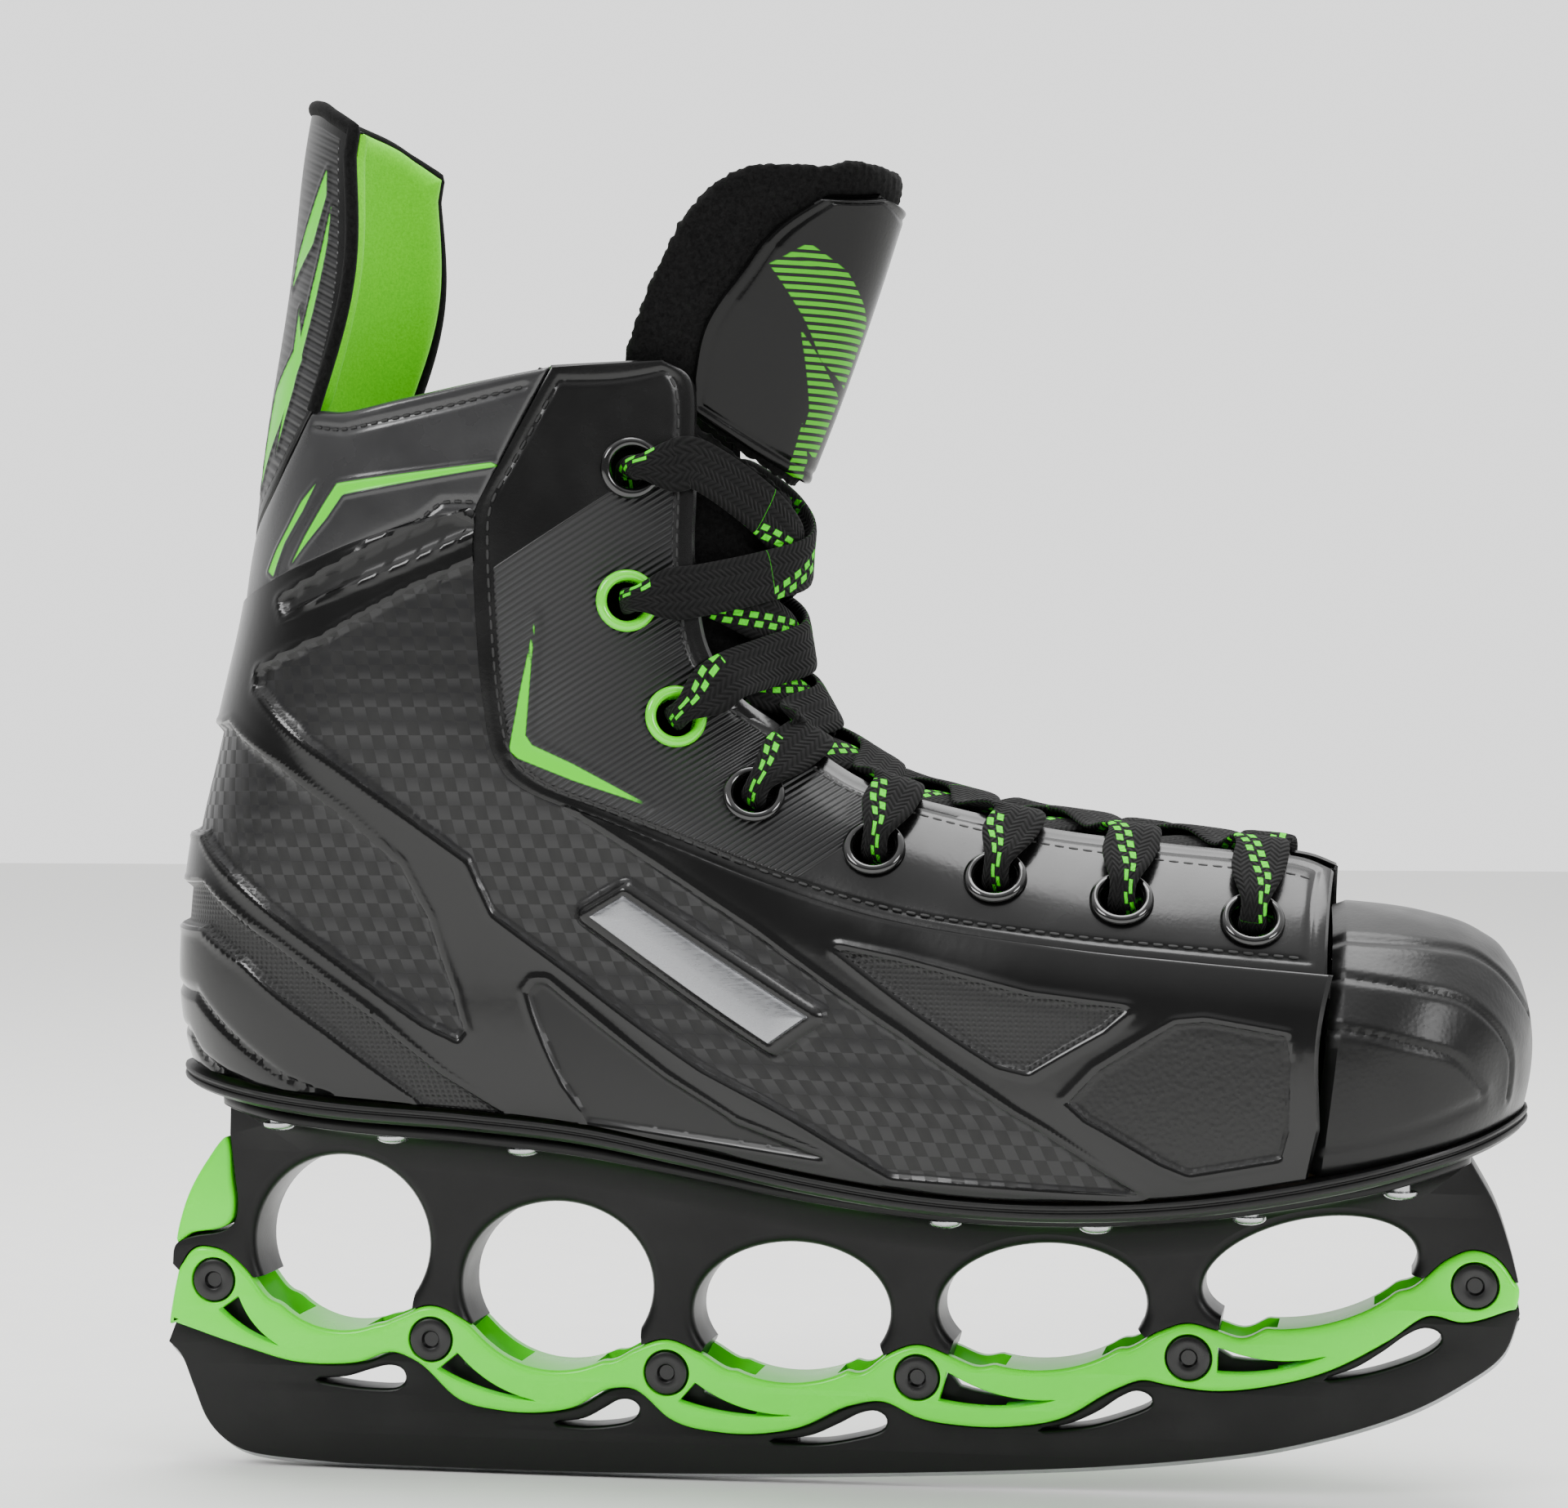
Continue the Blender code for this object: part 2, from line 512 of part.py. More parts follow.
def build_holder(finish):
    """The black moulding under the boot: a flange, a web with five windows, and six forked legs."""
    web = plate("holder", [holder_outline()], -LEG_HALF, LEG_HALF, finish)
    cheeks = [plate(f"cheek_pocket_{side}", [band_outline(GAP)], *sorted((side * FORK_HALF, side * CUT)),
                    cutter=True) for side in (-1, 1)]
    gaps = [box(f"saddle_gap_{i}", (low - GAP, -40, -5), (high + GAP, 40, WINDOWS[i][1]))
            for i, (low, high) in enumerate(SADDLES)]
    forks = [plate(f"fork_{i}", [rib_outline(i, 2 * GAP)], -LUG_HALF - GAP, LUG_HALF + GAP, cutter=True)
             for i in range(len(BOLTS))]
    holes = [rod(f"leg_hole_{i}", (x, 0, z), (0, 1, 0), BOLT_RADIUS + GAP, 40, 8, cutter=True)
             for i, (x, z) in enumerate(BOLTS)]
    cut(web, [holder_flange()], "UNION")
    return cut(web, [window_cutter("holder_windows"), joined(cheeks, "cheek_pockets"),
                     joined(gaps, "saddle_gaps"), joined(forks, "forks"), joined(holes, "leg_holes"),
                     rivet_holes("holder")])


def holder_flange():
    """The flange and the flare above the web, as a solid that widens from the web up to the sole."""
    stations = np.linspace(-127.5, 130.5, 17)
    levels = [(LEG_HALF - 0.4, -15.0), (10.6, -7.0), (14.0, -3.4), (15.4, -FLANGE),
              (FLANGE_HALF_WIDTH, -FLANGE), (FLANGE_HALF_WIDTH, 0.0)]
    section = [(-y, z) for y, z in levels] + [(y, z) for y, z in reversed(levels)]
    shape = bmesh.new()
    rings = []
    for x in stations:
        top = float(sole_under(x)) - GAP
        narrow = 1 - 0.3 * float(smoothstep(112, 131, x) + smoothstep(108, 128, -x))
        rings.append([shape.verts.new((x * MM, y * narrow * MM, (top + z) * MM)) for y, z in section])
    for a, b in zip(rings[:-1], rings[1:]):
        for i in range(len(section)):
            j = (i + 1) % len(section)
            shape.faces.new((a[i], b[i], b[j], a[j]))
    shape.faces.new(rings[0])
    shape.faces.new(rings[-1][::-1])
    bmesh.ops.recalc_face_normals(shape, faces=shape.faces)
    mesh = bpy.data.meshes.new("holder_flange")
    shape.to_mesh(mesh)
    shape.free()
    return place("holder_flange", mesh, cutter=True)


def rivet_places():
    return [(x, side * RIVET_Y) for x in RIVETS_X for side in (-1, 1)]


def rivet_holes(name):
    """Clearance holes for the rivet shanks."""
    radius = RIVET_SHANK + GAP + 0.2  # its six flats lie a gap away from the round shank
    holes = [rod(f"{name}_rivet_{i}", (x, y, float(sole_under(x))), (0, 0, 1), radius, CUT, 6, cutter=True)
             for i, (x, y) in enumerate(rivet_places())]
    return joined(holes, name + "_rivet_holes")


def rivet_lean(x):
    """How far the sole's slope rises across a rivet head."""
    return abs(float(sole_under(x + 1) - sole_under(x - 1))) / 2 * RIVET_HEAD


def build_rivets(finish):
    """Fourteen rivets: a domed head under the flange, a shank, and a flat head on the lasting board."""
    for i, (x, y) in enumerate(rivet_places()):
        under = -GAP - FLANGE - rivet_lean(x) - GAP
        over = SOLE + 2 * GAP + BOARD + rivet_lean(x)
        profile = [(0.0, over + 0.9), (RIVET_HEAD - 0.4, over + 0.9), (RIVET_HEAD - 0.4, over),
                   (RIVET_SHANK, over), (RIVET_SHANK, under), (RIVET_HEAD, under),
                   (RIVET_HEAD - 0.7, under - 1.2), (0.0, under - 1.7)]
        turned(f"rivet_{i + 1:02d}", profile, (x, y, float(sole_under(x))), (0, 0, 1), finish, steps=8)


def build_bolts(finish):
    """Six bolts with round heads flush in the stabiliser's cheeks."""
    for i, (x, z) in enumerate(BOLTS):
        head, seat = BAND_HALF, FORK_HALF + GAP
        profile = [(0.0, head), (BOLT_HEAD, head), (BOLT_HEAD, seat), (BOLT_RADIUS, seat),
                   (BOLT_RADIUS, -seat), (BOLT_HEAD, -seat), (BOLT_HEAD, -head), (0.0, -head)]
        turned(f"runner_bolt_{i + 1}", profile, (x, 0, z), (0, -1, 0), finish, steps=10)


# ---------------------------------------------------------------- sole, board and footbed
SOLE_TOE = 139.6               # x of the sole's front
TOE_ROUND = 44.0               # length over which the sole rounds off at the toe


def plan_half(x, inset):
    """Half width of the boot's plan outline at the sole, round at the heel and the toe."""
    heel, toe = back_line(85) + inset, SOLE_TOE - inset
    ends = roundoff((x - heel) / HEEL_ROUND) * roundoff((toe - x) / TOE_ROUND) ** 0.85
    return (low_width(x) * WELT_SHARE - inset) * ends


def sole_plate(name, inset, rise, thickness, finish, columns=20):
    """A plate that follows the sole's curve, its top a given rise above the sole line."""
    heel, toe = float(back_line(85)) + inset, SOLE_TOE - inset
    x = (heel + toe) / 2 - (toe - heel) / 2 * np.cos(np.linspace(0.11, math.pi - 0.11, columns))
    y = np.linspace(-1, 1, 5)
    grid = np.dstack([np.broadcast_to(x[:, None], (columns, 5)), y[None] * plan_half(x, inset)[:, None],
                      np.broadcast_to((sole_top(x) - GAP + rise)[:, None], (columns, 5))])
    return skin(name, grid, thickness, finish)


def build_bottom(sole, board, foam):
    """Outsole, lasting board and footbed, with the rivets' holes through the first two."""
    outsole = sole_plate("outsole", -2.6, 0.0, SOLE, sole)
    lasting = sole_plate("lasting_board", 4.4, GAP + BOARD, BOARD, board)
    for plate_obj in (outsole, lasting):
        cut(plate_obj, [rivet_holes(plate_obj.name)])
    sole_plate("footbed", 10.0, GAP + BOARD + 2.9 + FOOTBED, FOOTBED, foam)


# ---------------------------------------------------------------- upper
def unroll(x, z):
    """The distance from the middle of the heel round the boot's side to a point of the side view."""
    depth = np.asarray(x, float) - back_line(z)
    turn = np.arccos(np.clip(1 - depth / HEEL_ROUND, 0, 1))
    return HEEL_ROUND * turn + np.maximum(depth - HEEL_ROUND, 0)


def roll(s, z):
    """The x of a point that lies a distance s round the side from the middle of the heel."""
    turn = np.clip(s / HEEL_ROUND, 0, math.pi / 2)
    return back_line(z) + HEEL_ROUND * (1 - np.cos(turn)) + np.maximum(s - HEEL_ROUND * math.pi / 2, 0)


def surface(s, z, side):
    """Points of the boot's surface from their unrolled positions."""
    x = roll(s, z)
    return np.dstack([x, side * (half_width(x, z) + GAP), z])


def flattened(points):
    """Side-view points as unrolled ones."""
    x, z = np.array(points, float).T
    return np.column_stack([unroll(x, z), z])


def stretch(points, count):
    """A smooth curve through points, resampled to equal steps."""
    fine = through(points, 12)
    length = np.concatenate([[0], np.cumsum(np.hypot(*np.diff(fine, axis=0).T))])
    at = np.linspace(0, length[-1], count)
    return np.column_stack([np.interp(at, length, fine[:, 0]), np.interp(at, length, fine[:, 1])])


def band(low, high, columns, rows, side):
    """A strip of the boot's surface between two side-view curves, as a grid that faces outwards."""
    low, high = stretch(flattened(low), columns), stretch(flattened(high), columns)
    t = np.linspace(0, 1, rows)[None, :, None]
    flat = low[:, None] * (1 - t) + high[:, None] * t
    return facing_out(surface(flat[..., 0], flat[..., 1], side), side)


def facing_out(grid, side):
    normal = np.cross(np.gradient(grid, axis=0), np.gradient(grid, axis=1))
    return grid if (normal[..., 1] * side).mean() > 0 else grid[:, ::-1]


def moved(points, dx=0.0, dz=0.0):
    return [(x + dx, z + dz) for x, z in points]


# The shell's upper edge from the heel to the foot of the facing, and on under the facing to the toe
SHELL_HEEL = [(-126.0, 181.5), (-118.0, 184.0), (-104.0, 189.0), (-88.0, 194.6), (-72.0, 199.0),
              (-67.0, 199.4)]
SHELL_SIDE = [(-67.0, 192.0), (-66.4, 178.0), (-65.0, 162.0), (-62.6, 150.0), (-56.4, 143.4), (-40.0, 137.0),
              (-24.7, 131.1), (-4.8, 123.8), (19.7, 117.2), (51.9, 112.6), (75.7, 110.2), (104.4, 107.6)]
# The facing's front edge from the collar to the toe
THROAT = [(-30.0, 230.0), (-24.0, 226.0), (-23.2, 215.0), (-23.3, 203.6), (-23.5, 189.7), (-21.4, 173.4),
          (-15.4, 163.2), (-7.2, 156.6), (2.4, 150.0), (11.0, 145.0), (21.2, 141.6), (46.2, 136.0),
          (67.2, 133.2), (83.0, 131.6), (97.0, 130.2), (104.2, 127.6)]
# The facing's rear edge beside the collar, from the top down
FACING_BACK = [(-51.0, 228.6), (-56.2, 219.0), (-61.4, 209.4), (-66.6, 199.8)]
# The line from the middle of the heel up to the collar's top, where the tendon guard bends
GUARD_LINE = [(-122.6, 194.0), (-121.0, 195.2), (-114.0, 203.0), (-107.4, 212.0), (-102.6, 219.6)]
COLLAR_TOP = [(-101.2, 220.4), (-93.9, 219.9), (-81.9, 222.1), (-64.8, 225.7), (-51.6, 228.3)]
SOLE_LINE = [(float(back_line(86)), 86.6)]
SOLE_LINE += [(float(x), float(sole_top(x)) + 0.4) for x in np.linspace(-126, 99.6, 12)]


def build_quarters(finish):
    """The moulded shell's two halves, which meet in a seam down the heel."""
    top = [(-126.2, 181.4), *SHELL_HEEL[1:], *SHELL_SIDE]
    for name, side in (("quarter_lateral", -1), ("quarter_medial", 1)):
        grid = band(SOLE_LINE, top, 26, 7, side)
        skin(name, offset(grid, SHELL_LIFT), SHELL, finish)


def build_facings(finish):
    """The lace facings: a strip each side with eight holes, from the collar to the toe."""
    back = [*moved(FACING_BACK, GAP), *moved(SHELL_SIDE, 0.8, 0.8)]
    for name, side in (("facing_lateral", -1), ("facing_medial", 1)):
        panel = skin(name, band(back, THROAT, 26, 4, side), PANEL, finish)
        bore = EYELET_BARREL + GAP
        holes = [rod(f"{name}_hole_{i}", *surface_point(x, z, side), bore, 24, 10, cutter=True)
                 for i, (x, z) in enumerate(EYELETS)]
        cut(panel, [joined(holes, name + "_holes")])


def surface_point(x, z, side, lift=0.0):
    """A point above the boot's side and the outward normal there."""
    step = 0.5
    y = float(half_width(x, z)) + GAP / 2
    dx = float(half_width(x + step, z) - half_width(x - step, z)) / (2 * step)
    dz = float(half_width(x, z + step) - half_width(x, z - step)) / (2 * step)
    normal = np.array([-dx, side, -dz])
    normal /= np.linalg.norm(normal)
    return np.array([x, side * y, z]) + normal * lift, normal


def build_eyelets(black, green):
    """Sixteen eyelets: a rolled rim on the facing and a barrel through it. Two of each row are green."""
    for letter, side in (("lateral", -1), ("medial", 1)):
        for i, (x, z) in enumerate(EYELETS):
            centre, normal = surface_point(x, z, side)
            seat, foot = 0.6, -PANEL - 0.6
            profile = [(EYELET_BORE + 0.4, seat + 1.0), (EYELET_RIM - 0.6, seat + 0.9), (EYELET_RIM, seat),
                       (EYELET_BARREL, seat), (EYELET_BARREL, foot), (EYELET_BORE, foot)]
            finish = green if i in (1, 2) else black
            turned(f"eyelet_{letter}_{i + 1}", profile, centre, normal, finish, steps=9, closed=True)


def build_collar(finish):
    """The padded collar's two panels, which meet in a seam down the heel under the tendon guard."""
    low = [(-125.4, 182.2), *moved(SHELL_HEEL[1:], 0, GAP + 0.4)]
    for name, side in (("collar_lateral", -1), ("collar_medial", 1)):
        grid = band(low, [*GUARD_LINE, *COLLAR_TOP], 18, 4, side)
        skin(name, grid, PANEL, finish)


def whole(grid_of_side):
    """A grid of one side and its mirror image as one grid across the heel's middle."""
    lateral, medial = grid_of_side(-1), grid_of_side(1)
    lateral[0, :, 1] = medial[0, :, 1] = 0.0
    return np.concatenate([lateral[::-1], medial[1:]])


GUARD_TOP = [(-110.6, 287.0), (-109.8, 286.8), (-104.0, 284.0), (-98.4, 280.6), (-93.4, 277.4)]


def guard_grid(inset, rows):
    """The tendon guard, from its foot on the guard line to its top, across the heel."""
    low = moved(GUARD_LINE, 0.5, 1.6 + inset * 0.4)
    columns = 7

    def one(side):
        foot, top = stretch(flattened(low), columns), stretch(flattened(GUARD_TOP), columns)
        foot[:, 0] *= 1 - inset / 60
        top[:, 0] *= 1 - inset / 60
        top[:, 1] -= inset
        t = np.linspace(0, 1, rows)[None, :, None]
        flat = foot[:, None] * (1 - t) + top[:, None] * t
        flat[..., 0] += (flat[..., 0] / 40) * 4.0 * np.sin(math.pi * np.clip(t[..., 0] * 1.1, 0, 1))
        return surface(flat[..., 0], flat[..., 1], side)

    return whole(one)


def grid_outward(grid):
    """A grid across the heel, turned so that it faces backwards."""
    normal = np.cross(np.gradient(grid, axis=0), np.gradient(grid, axis=1))
    return grid if normal[len(grid) // 2, :, 0].mean() < 0 else grid[:, ::-1]


def build_guard(shell, felt):
    """The tendon guard and its pad, which bend back together about the foot of the guard."""
    rows, proud, inset = 7, 0.4, 2.0
    outer = skin("tendon_guard", offset(grid_outward(guard_grid(0.0, rows)), proud), GUARD_SHELL, shell)
    seat = proud - GUARD_SHELL - GAP
    pad = skin("guard_pad", offset(grid_outward(guard_grid(inset, rows)), seat), GUARD_PAD, felt)
    for obj in (outer, pad):
        hinge_at(obj, GUARD_HINGE)


GUARD_HINGE = (-123.0, 193.0)
TONGUE_HINGE = (-5.6, 205.0)


def hinge_at(obj, point):
    """Moves an object's origin to its joint's axis without moving its shape."""
    shift = np.array([point[0], 0.0, point[1]]) * MM
    for vert in obj.data.vertices:
        vert.co = np.array(vert.co) - shift
    obj.location = shift


def build_lining(finish):
    """One lining round the heel, from the sole to the collar and along the back of the facings."""
    low = moved(SOLE_LINE, 0.0, BOARD + 2.4)
    low[0] = (float(back_line(90)), 90.6)
    low[-1] = (95.0, low[-1][1])
    top = [(-122.9, 190.6), (-117.4, 195.4), (-110.4, 204.0), (-104.2, 213.0), (-99.6, 217.4),
           (-93.9, 217.6), (-81.9, 219.8), (-64.8, 223.4), (-54.0, 225.4), (-49.0, 219.0),
           (-47.6, 207.0), (-49.0, 190.0), (-48.4, 172.0), (-43.0, 156.0), (-32.0, 145.0),
           (-16.0, 135.0), (4.0, 127.4), (30.0, 119.0), (60.0, 113.4), (95.0, 108.6)]
    grid = whole(lambda side: lining_side(low, top, side))
    skin("lining", offset(grid_outward(grid), -LINING_DEPTH), LINING, finish)


def lining_side(low, top, side):
    low, high = stretch(flattened(low), 22), stretch(flattened(top), 22)
    t = np.linspace(0, 1, 7)[None, :, None]
    flat = low[:, None] * (1 - t) + high[:, None] * t
    return surface(flat[..., 0], flat[..., 1], side)


# ---------------------------------------------------------------- toe cap
toe_front = hermite([(70, 136.6), (76, 139.8), (83, 141.8), (94.7, 142.7), (102, 141.4), (108.6, 138.6),
                     (113.5, 134.0), (117.6, 124.3), (119.5, 114.5), (120.4, 105.8)])
TOE_CROWN = 120.4


def build_toe_cap(finish):
    """The moulded cap over the toes, as nested half rings that shrink towards its crown."""
    around = np.linspace(-math.pi / 2, math.pi / 2, 17)[:, None]
    rise = np.sin(np.linspace(0, math.pi / 2, 9))[None]
    z = np.full((17, 9), 90.0)
    for _ in range(6):
        reach = toe_front(z) - toe_line(z)
        x = toe_line(z) + GAP + reach * np.abs(np.cos(around)) ** 0.85
        z = sole_top(x) + (TOE_CROWN - sole_top(x)) * rise
    welt = WELT_SHARE + (1 - WELT_SHARE) * roundoff((z - sole_top(x)) / WELT_RISE)
    crown = roundoff((TOE_CROWN - z) / 30) ** 0.9 * welt
    y = TOE_HALF_WIDTH * crown * np.sign(around) * np.abs(np.sin(around)) ** 0.85
    y[:, -1] = 0.0
    x[:, -1] = toe_line(TOE_CROWN) + GAP
    grid = np.dstack([x, y, z])
    normal = np.cross(np.gradient(grid, axis=0), np.gradient(grid, axis=1))
    if normal[8, 2, 0] < 0:
        grid = grid[:, ::-1]
    skin("toe_cap", grid, SHELL, finish)


# ---------------------------------------------------------------- tongue
# The tongue's front line and its side edge, as (x, z), for the part under the laces and the part above
TONGUE_LOW_FRONT = [(-7.2, 204.4), (-9.4, 192.0), (-9.4, 172.0), (-4.6, 158.0), (4.0, 148.6), (18.0, 140.8),
                    (38.0, 135.2), (66.0, 131.0), (88.0, 127.8), (100.6, 124.4)]
TONGUE_LOW_EDGE = [(-41.0, 228.0), (-47.6, 212.0), (-50.6, 194.0), (-49.4, 172.0), (-40.0, 150.0),
                   (-20.0, 132.6), (10.0, 120.6), (42.0, 114.0), (72.0, 110.0), (99.0, 107.4)]
TONGUE_LOW_HALF = [26.0, 26.4, 26.4, 27.0, 28.4, 30.4, 32.6, 33.4, 33.0, 31.4]
TONGUE_HIGH_FRONT = [(-7.0, 204.8), (1.0, 225.0), (8.4, 246.0), (12.6, 259.0), (15.4, 268.0), (14.2, 272.2)]
TONGUE_HIGH_EDGE = [(-40.8, 228.4), (-35.4, 242.5), (-30.1, 252.4), (-23.3, 262.2), (-14.8, 268.3),
                    (-3.0, 271.6)]
TONGUE_HIGH_HALF = [26.0, 29.0, 32.0, 33.0, 31.6, 29.0]
TONGUE_WRAP = math.radians(66)


def tongue_grid(front, edge, half, rows, columns=11):
    """An arched sheet between the tongue's front line and its two side edges."""
    front, edge = stretch(front, rows), stretch(edge, rows)
    half = np.interp(np.linspace(0, 1, rows), np.linspace(0, 1, len(half)), half)
    turn = np.linspace(-1, 1, columns) * TONGUE_WRAP
    depth = (1 - np.cos(turn)) / (1 - math.cos(TONGUE_WRAP))
    plane = front[:, None] + (edge - front)[:, None] * depth[None, :, None]
    y = half[:, None] * np.sin(turn)[None]
    grid = np.dstack([plane[..., 0], y, plane[..., 1]])
    normal = np.cross(np.gradient(grid, axis=0), np.gradient(grid, axis=1))
    return grid if normal[:, columns // 2, 0].mean() > 0 else grid[:, ::-1]


def build_tongue(felt, face):
    """The felt tongue in two pieces that meet at its fold, and the glossy face on the upper piece."""
    low = tongue_grid(TONGUE_LOW_FRONT, TONGUE_LOW_EDGE, TONGUE_LOW_HALF, 16)
    skin("tongue_lower", low, TONGUE_PAD, felt)
    high = tongue_grid(TONGUE_HIGH_FRONT, TONGUE_HIGH_EDGE, TONGUE_HIGH_HALF, 8)
    upper = skin("tongue_upper", high, TONGUE_PAD, felt)
    cover = skin("tongue_face", offset(high[1:-1, 2:-2], GAP + TONGUE_FACE), TONGUE_FACE, face)
    for obj in (upper, cover):
        hinge_at(obj, TONGUE_HINGE)


# ---------------------------------------------------------------- lace
LACE_BORE = (5.4, 2.4)         # the lace's width and thickness where an eyelet gathers it
LACE_OVER, LACE_UNDER = 5.0, 2.6
LACE_TAIL = 14.0
LACE_REACH = 17.0              # from the middle of the tongue to where a crossing reaches the facing


def tongue_frame(r, y, lift):
    """A point above the tongue at a distance y from its middle, a share r of the way down the front line."""
    front, edge = stretch(TONGUE_LOW_FRONT, 60), stretch(TONGUE_LOW_EDGE, 60)
    at = np.clip(r, 0, 1) * 59
    i = min(int(at), 58)
    middle, side = (line[i] + (line[i + 1] - line[i]) * (at - i) for line in (front, edge))
    half = float(np.interp(r, np.linspace(0, 1, len(TONGUE_LOW_HALF)), TONGUE_LOW_HALF))
    turn = math.asin(np.clip(y / half, -1, 1))
    inward = (side - middle) / (1 - math.cos(TONGUE_WRAP))
    point = middle + inward * (1 - math.cos(turn))
    along = front[i + 1] - front[i]
    along = np.array([along[0], 0.0, along[1]]) / np.hypot(*along)
    across = np.array([inward[0] * math.sin(turn), half * math.cos(turn), inward[1] * math.sin(turn)])
    normal = np.cross(along, across)
    normal /= np.linalg.norm(normal)
    return np.array([point[0], y, point[1]]) + normal * lift, along


def share_of(i):
    """How far down the tongue's front line an eyelet sits."""
    line = stretch(TONGUE_LOW_FRONT, 60)
    return float(np.argmin(np.hypot(*(line - EYELETS[i]).T))) / 59


def facing_frame(i, side, toward, lift):
    """A point above the facing between an eyelet and the throat, and the throat's direction."""
    line = stretch(THROAT, 120)
    x, z = EYELETS[i]
    near = int(np.argmin(np.hypot(*(line - (x, z)).T)))
    px, pz = np.array([x, z]) + (line[near] - (x, z)) * toward
    point, _ = surface_point(px, pz, side, lift)
    along = line[min(near + 1, 119)] - line[max(near - 1, 0)]
    return point, np.array([along[0], 0.0, along[1]]) / np.hypot(*along)


def through_eyelet(i, side, outward=True):
    """Stations from under the throat's edge, out through an eyelet's bore and back over the edge."""
    wide = (LACE_WIDTH, LACE_THICKNESS)
    under = (LACE_WIDTH * 0.8, LACE_THICKNESS)
    run = [(*facing_frame(i, side, 1.04, -4.3), under), (*facing_frame(i, side, 0.6, -4.6), under),
           (*facing_frame(i, side, 0.14, -4.8), LACE_BORE), (*facing_frame(i, side, 0.0, -1.0), LACE_BORE),
           (*facing_frame(i, side, 0.14, 3.3), LACE_BORE), (*facing_frame(i, side, 0.56, 3.2), wide),
           (*facing_frame(i, side, 1.0, 2.2), wide)]
    return run if outward else run[::-1]


def crossing(upper, side, lift):
    """Stations over the tongue from the edge beside one eyelet to the far edge beside the next one up."""
    start, end = share_of(upper + 1), share_of(upper)
    run = []
    for y in (0.6, 0.0, -0.6):
        r = start + (end - start) * (0.5 - y / 2)
        run.append((*tongue_frame(r, side * y * LACE_REACH, lift), (LACE_WIDTH, LACE_THICKNESS)))
    return run


def lace_run(side):
    """From the middle of the bottom bar up through one eyelet of each pair, and down inside the top one."""
    last = len(EYELETS) - 1
    stations = [(*tongue_frame(share_of(last), side * 12.0, LACE_UNDER), (LACE_WIDTH * 0.8, LACE_THICKNESS))]
    for i in range(last, 0, -1):
        stations += through_eyelet(i, side)
        lift = LACE_OVER if side < 0 else LACE_UNDER
        stations += crossing(i - 1, side, lift)
        side = -side
    mouth, along = facing_frame(0, side, 0.0, -1.0)
    tucked, _ = facing_frame(0, side, 0.0, -4.9)
    across = np.cross(mouth - tucked, along) / np.linalg.norm(mouth - tucked)
    ends = [(mouth, (along + across) / math.sqrt(2), LACE_BORE), (tucked + along, across, LACE_BORE),
            (tucked + along * 7.0, across, LACE_BORE), (tucked + along * LACE_TAIL, across, LACE_BORE)]
    return stations + through_eyelet(0, side, outward=False)[:3] + ends


def build_lace(finish):
    """One flat lace, laced criss-cross: out of each eyelet, over the tongue and under the other facing."""
    lowest = share_of(len(EYELETS) - 1)
    middle = (*tongue_frame(lowest, 0.0, LACE_UNDER + 0.4), (LACE_WIDTH * 0.8, LACE_THICKNESS))
    stations = lace_run(-1)[::-1] + [middle] + lace_run(1)
    centre = through_3d([s[0] for s in stations], 2)
    across = through_3d([s[1] for s in stations], 2)
    size = through_3d([(*s[2], 0.0) for s in stations], 2)
    along = np.gradient(centre, axis=0)
    along /= np.linalg.norm(along, axis=1, keepdims=True)
    normal = np.cross(along, across)
    normal /= np.linalg.norm(normal, axis=1, keepdims=True)
    across = np.cross(normal, along)
    section = [(0.5, -0.5), (0.5, 0.5), (-0.5, 0.5), (-0.5, -0.5)]
    grid = np.stack([centre + across * size[:, :1] * w + normal * size[:, 1:2] * t for w, t in section],
                    axis=1)
    n, m = grid.shape[:2]
    faces = [(i * m + j, i * m + (j + 1) % m, (i + 1) * m + (j + 1) % m, (i + 1) * m + j)
             for i in range(n - 1) for j in range(m)]
    faces += [tuple(range(m))[::-1], tuple((n - 1) * m + j for j in range(m))]
    mesh = bpy.data.meshes.new("lace")
    mesh.from_pydata((grid.reshape(-1, 3) * MM).tolist(), [], faces)
    smooth_shaded(mesh)
    return place("lace", mesh, finish)


def through_3d(points, steps):
    """A smooth curve through points in space."""
    p = np.array(points, float)
    p = np.vstack([2 * p[0] - p[1], p, 2 * p[-1] - p[-2]])
    t = (np.arange(steps) / steps)[None, :, None]
    a, b, c, d = (q[:, None] for q in (p[:-3], p[1:-2], p[2:-1], p[3:]))
    made = 0.5 * (2 * b + (c - a) * t + (2 * a - 5 * b + 4 * c - d) * t**2 + (3 * b - a - 3 * c + d) * t**3)
    return np.vstack([made.reshape(-1, p.shape[1]), p[-2:-1]])


def main():
    reset()
    finish = finishes()
    build_steel(finish["steel"])
    build_carrier(finish["holder"])
    build_stabiliser(finish["green"])
    plate("heel_clip", [CLIP], -LEG_HALF - 0.4, LEG_HALF + 0.4, finish["green"])
    build_holder(finish["holder"])
    build_bolts(finish["holder"])
    build_rivets(finish["steel"])
    build_bottom(finish["sole"], finish["board"], finish["foam"])
    build_quarters(finish["shell"])
    build_facings(finish["facing"])
    build_eyelets(finish["eyelet_black"], finish["eyelet_green"])
    build_collar(finish["synthetic"])
    build_guard(finish["shell"], finish["lining"])
    build_lining(finish["lining"])
    build_toe_cap(finish["toe"])
    build_tongue(finish["felt"], finish["shell"])
    build_lace(finish["lace"])
    for obj in bpy.data.objects:
        obj.location.z += DATUM * MM


main()
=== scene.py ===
"""The looks of a laced ice hockey skate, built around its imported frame.

Every size is in millimetres until a mesh is written, which happens in metres. +X points to the toe, +Y to the
inner side of the foot and +Z up. Heights are counted from a datum line that lies DATUM above the floor.
"""
from __future__ import annotations

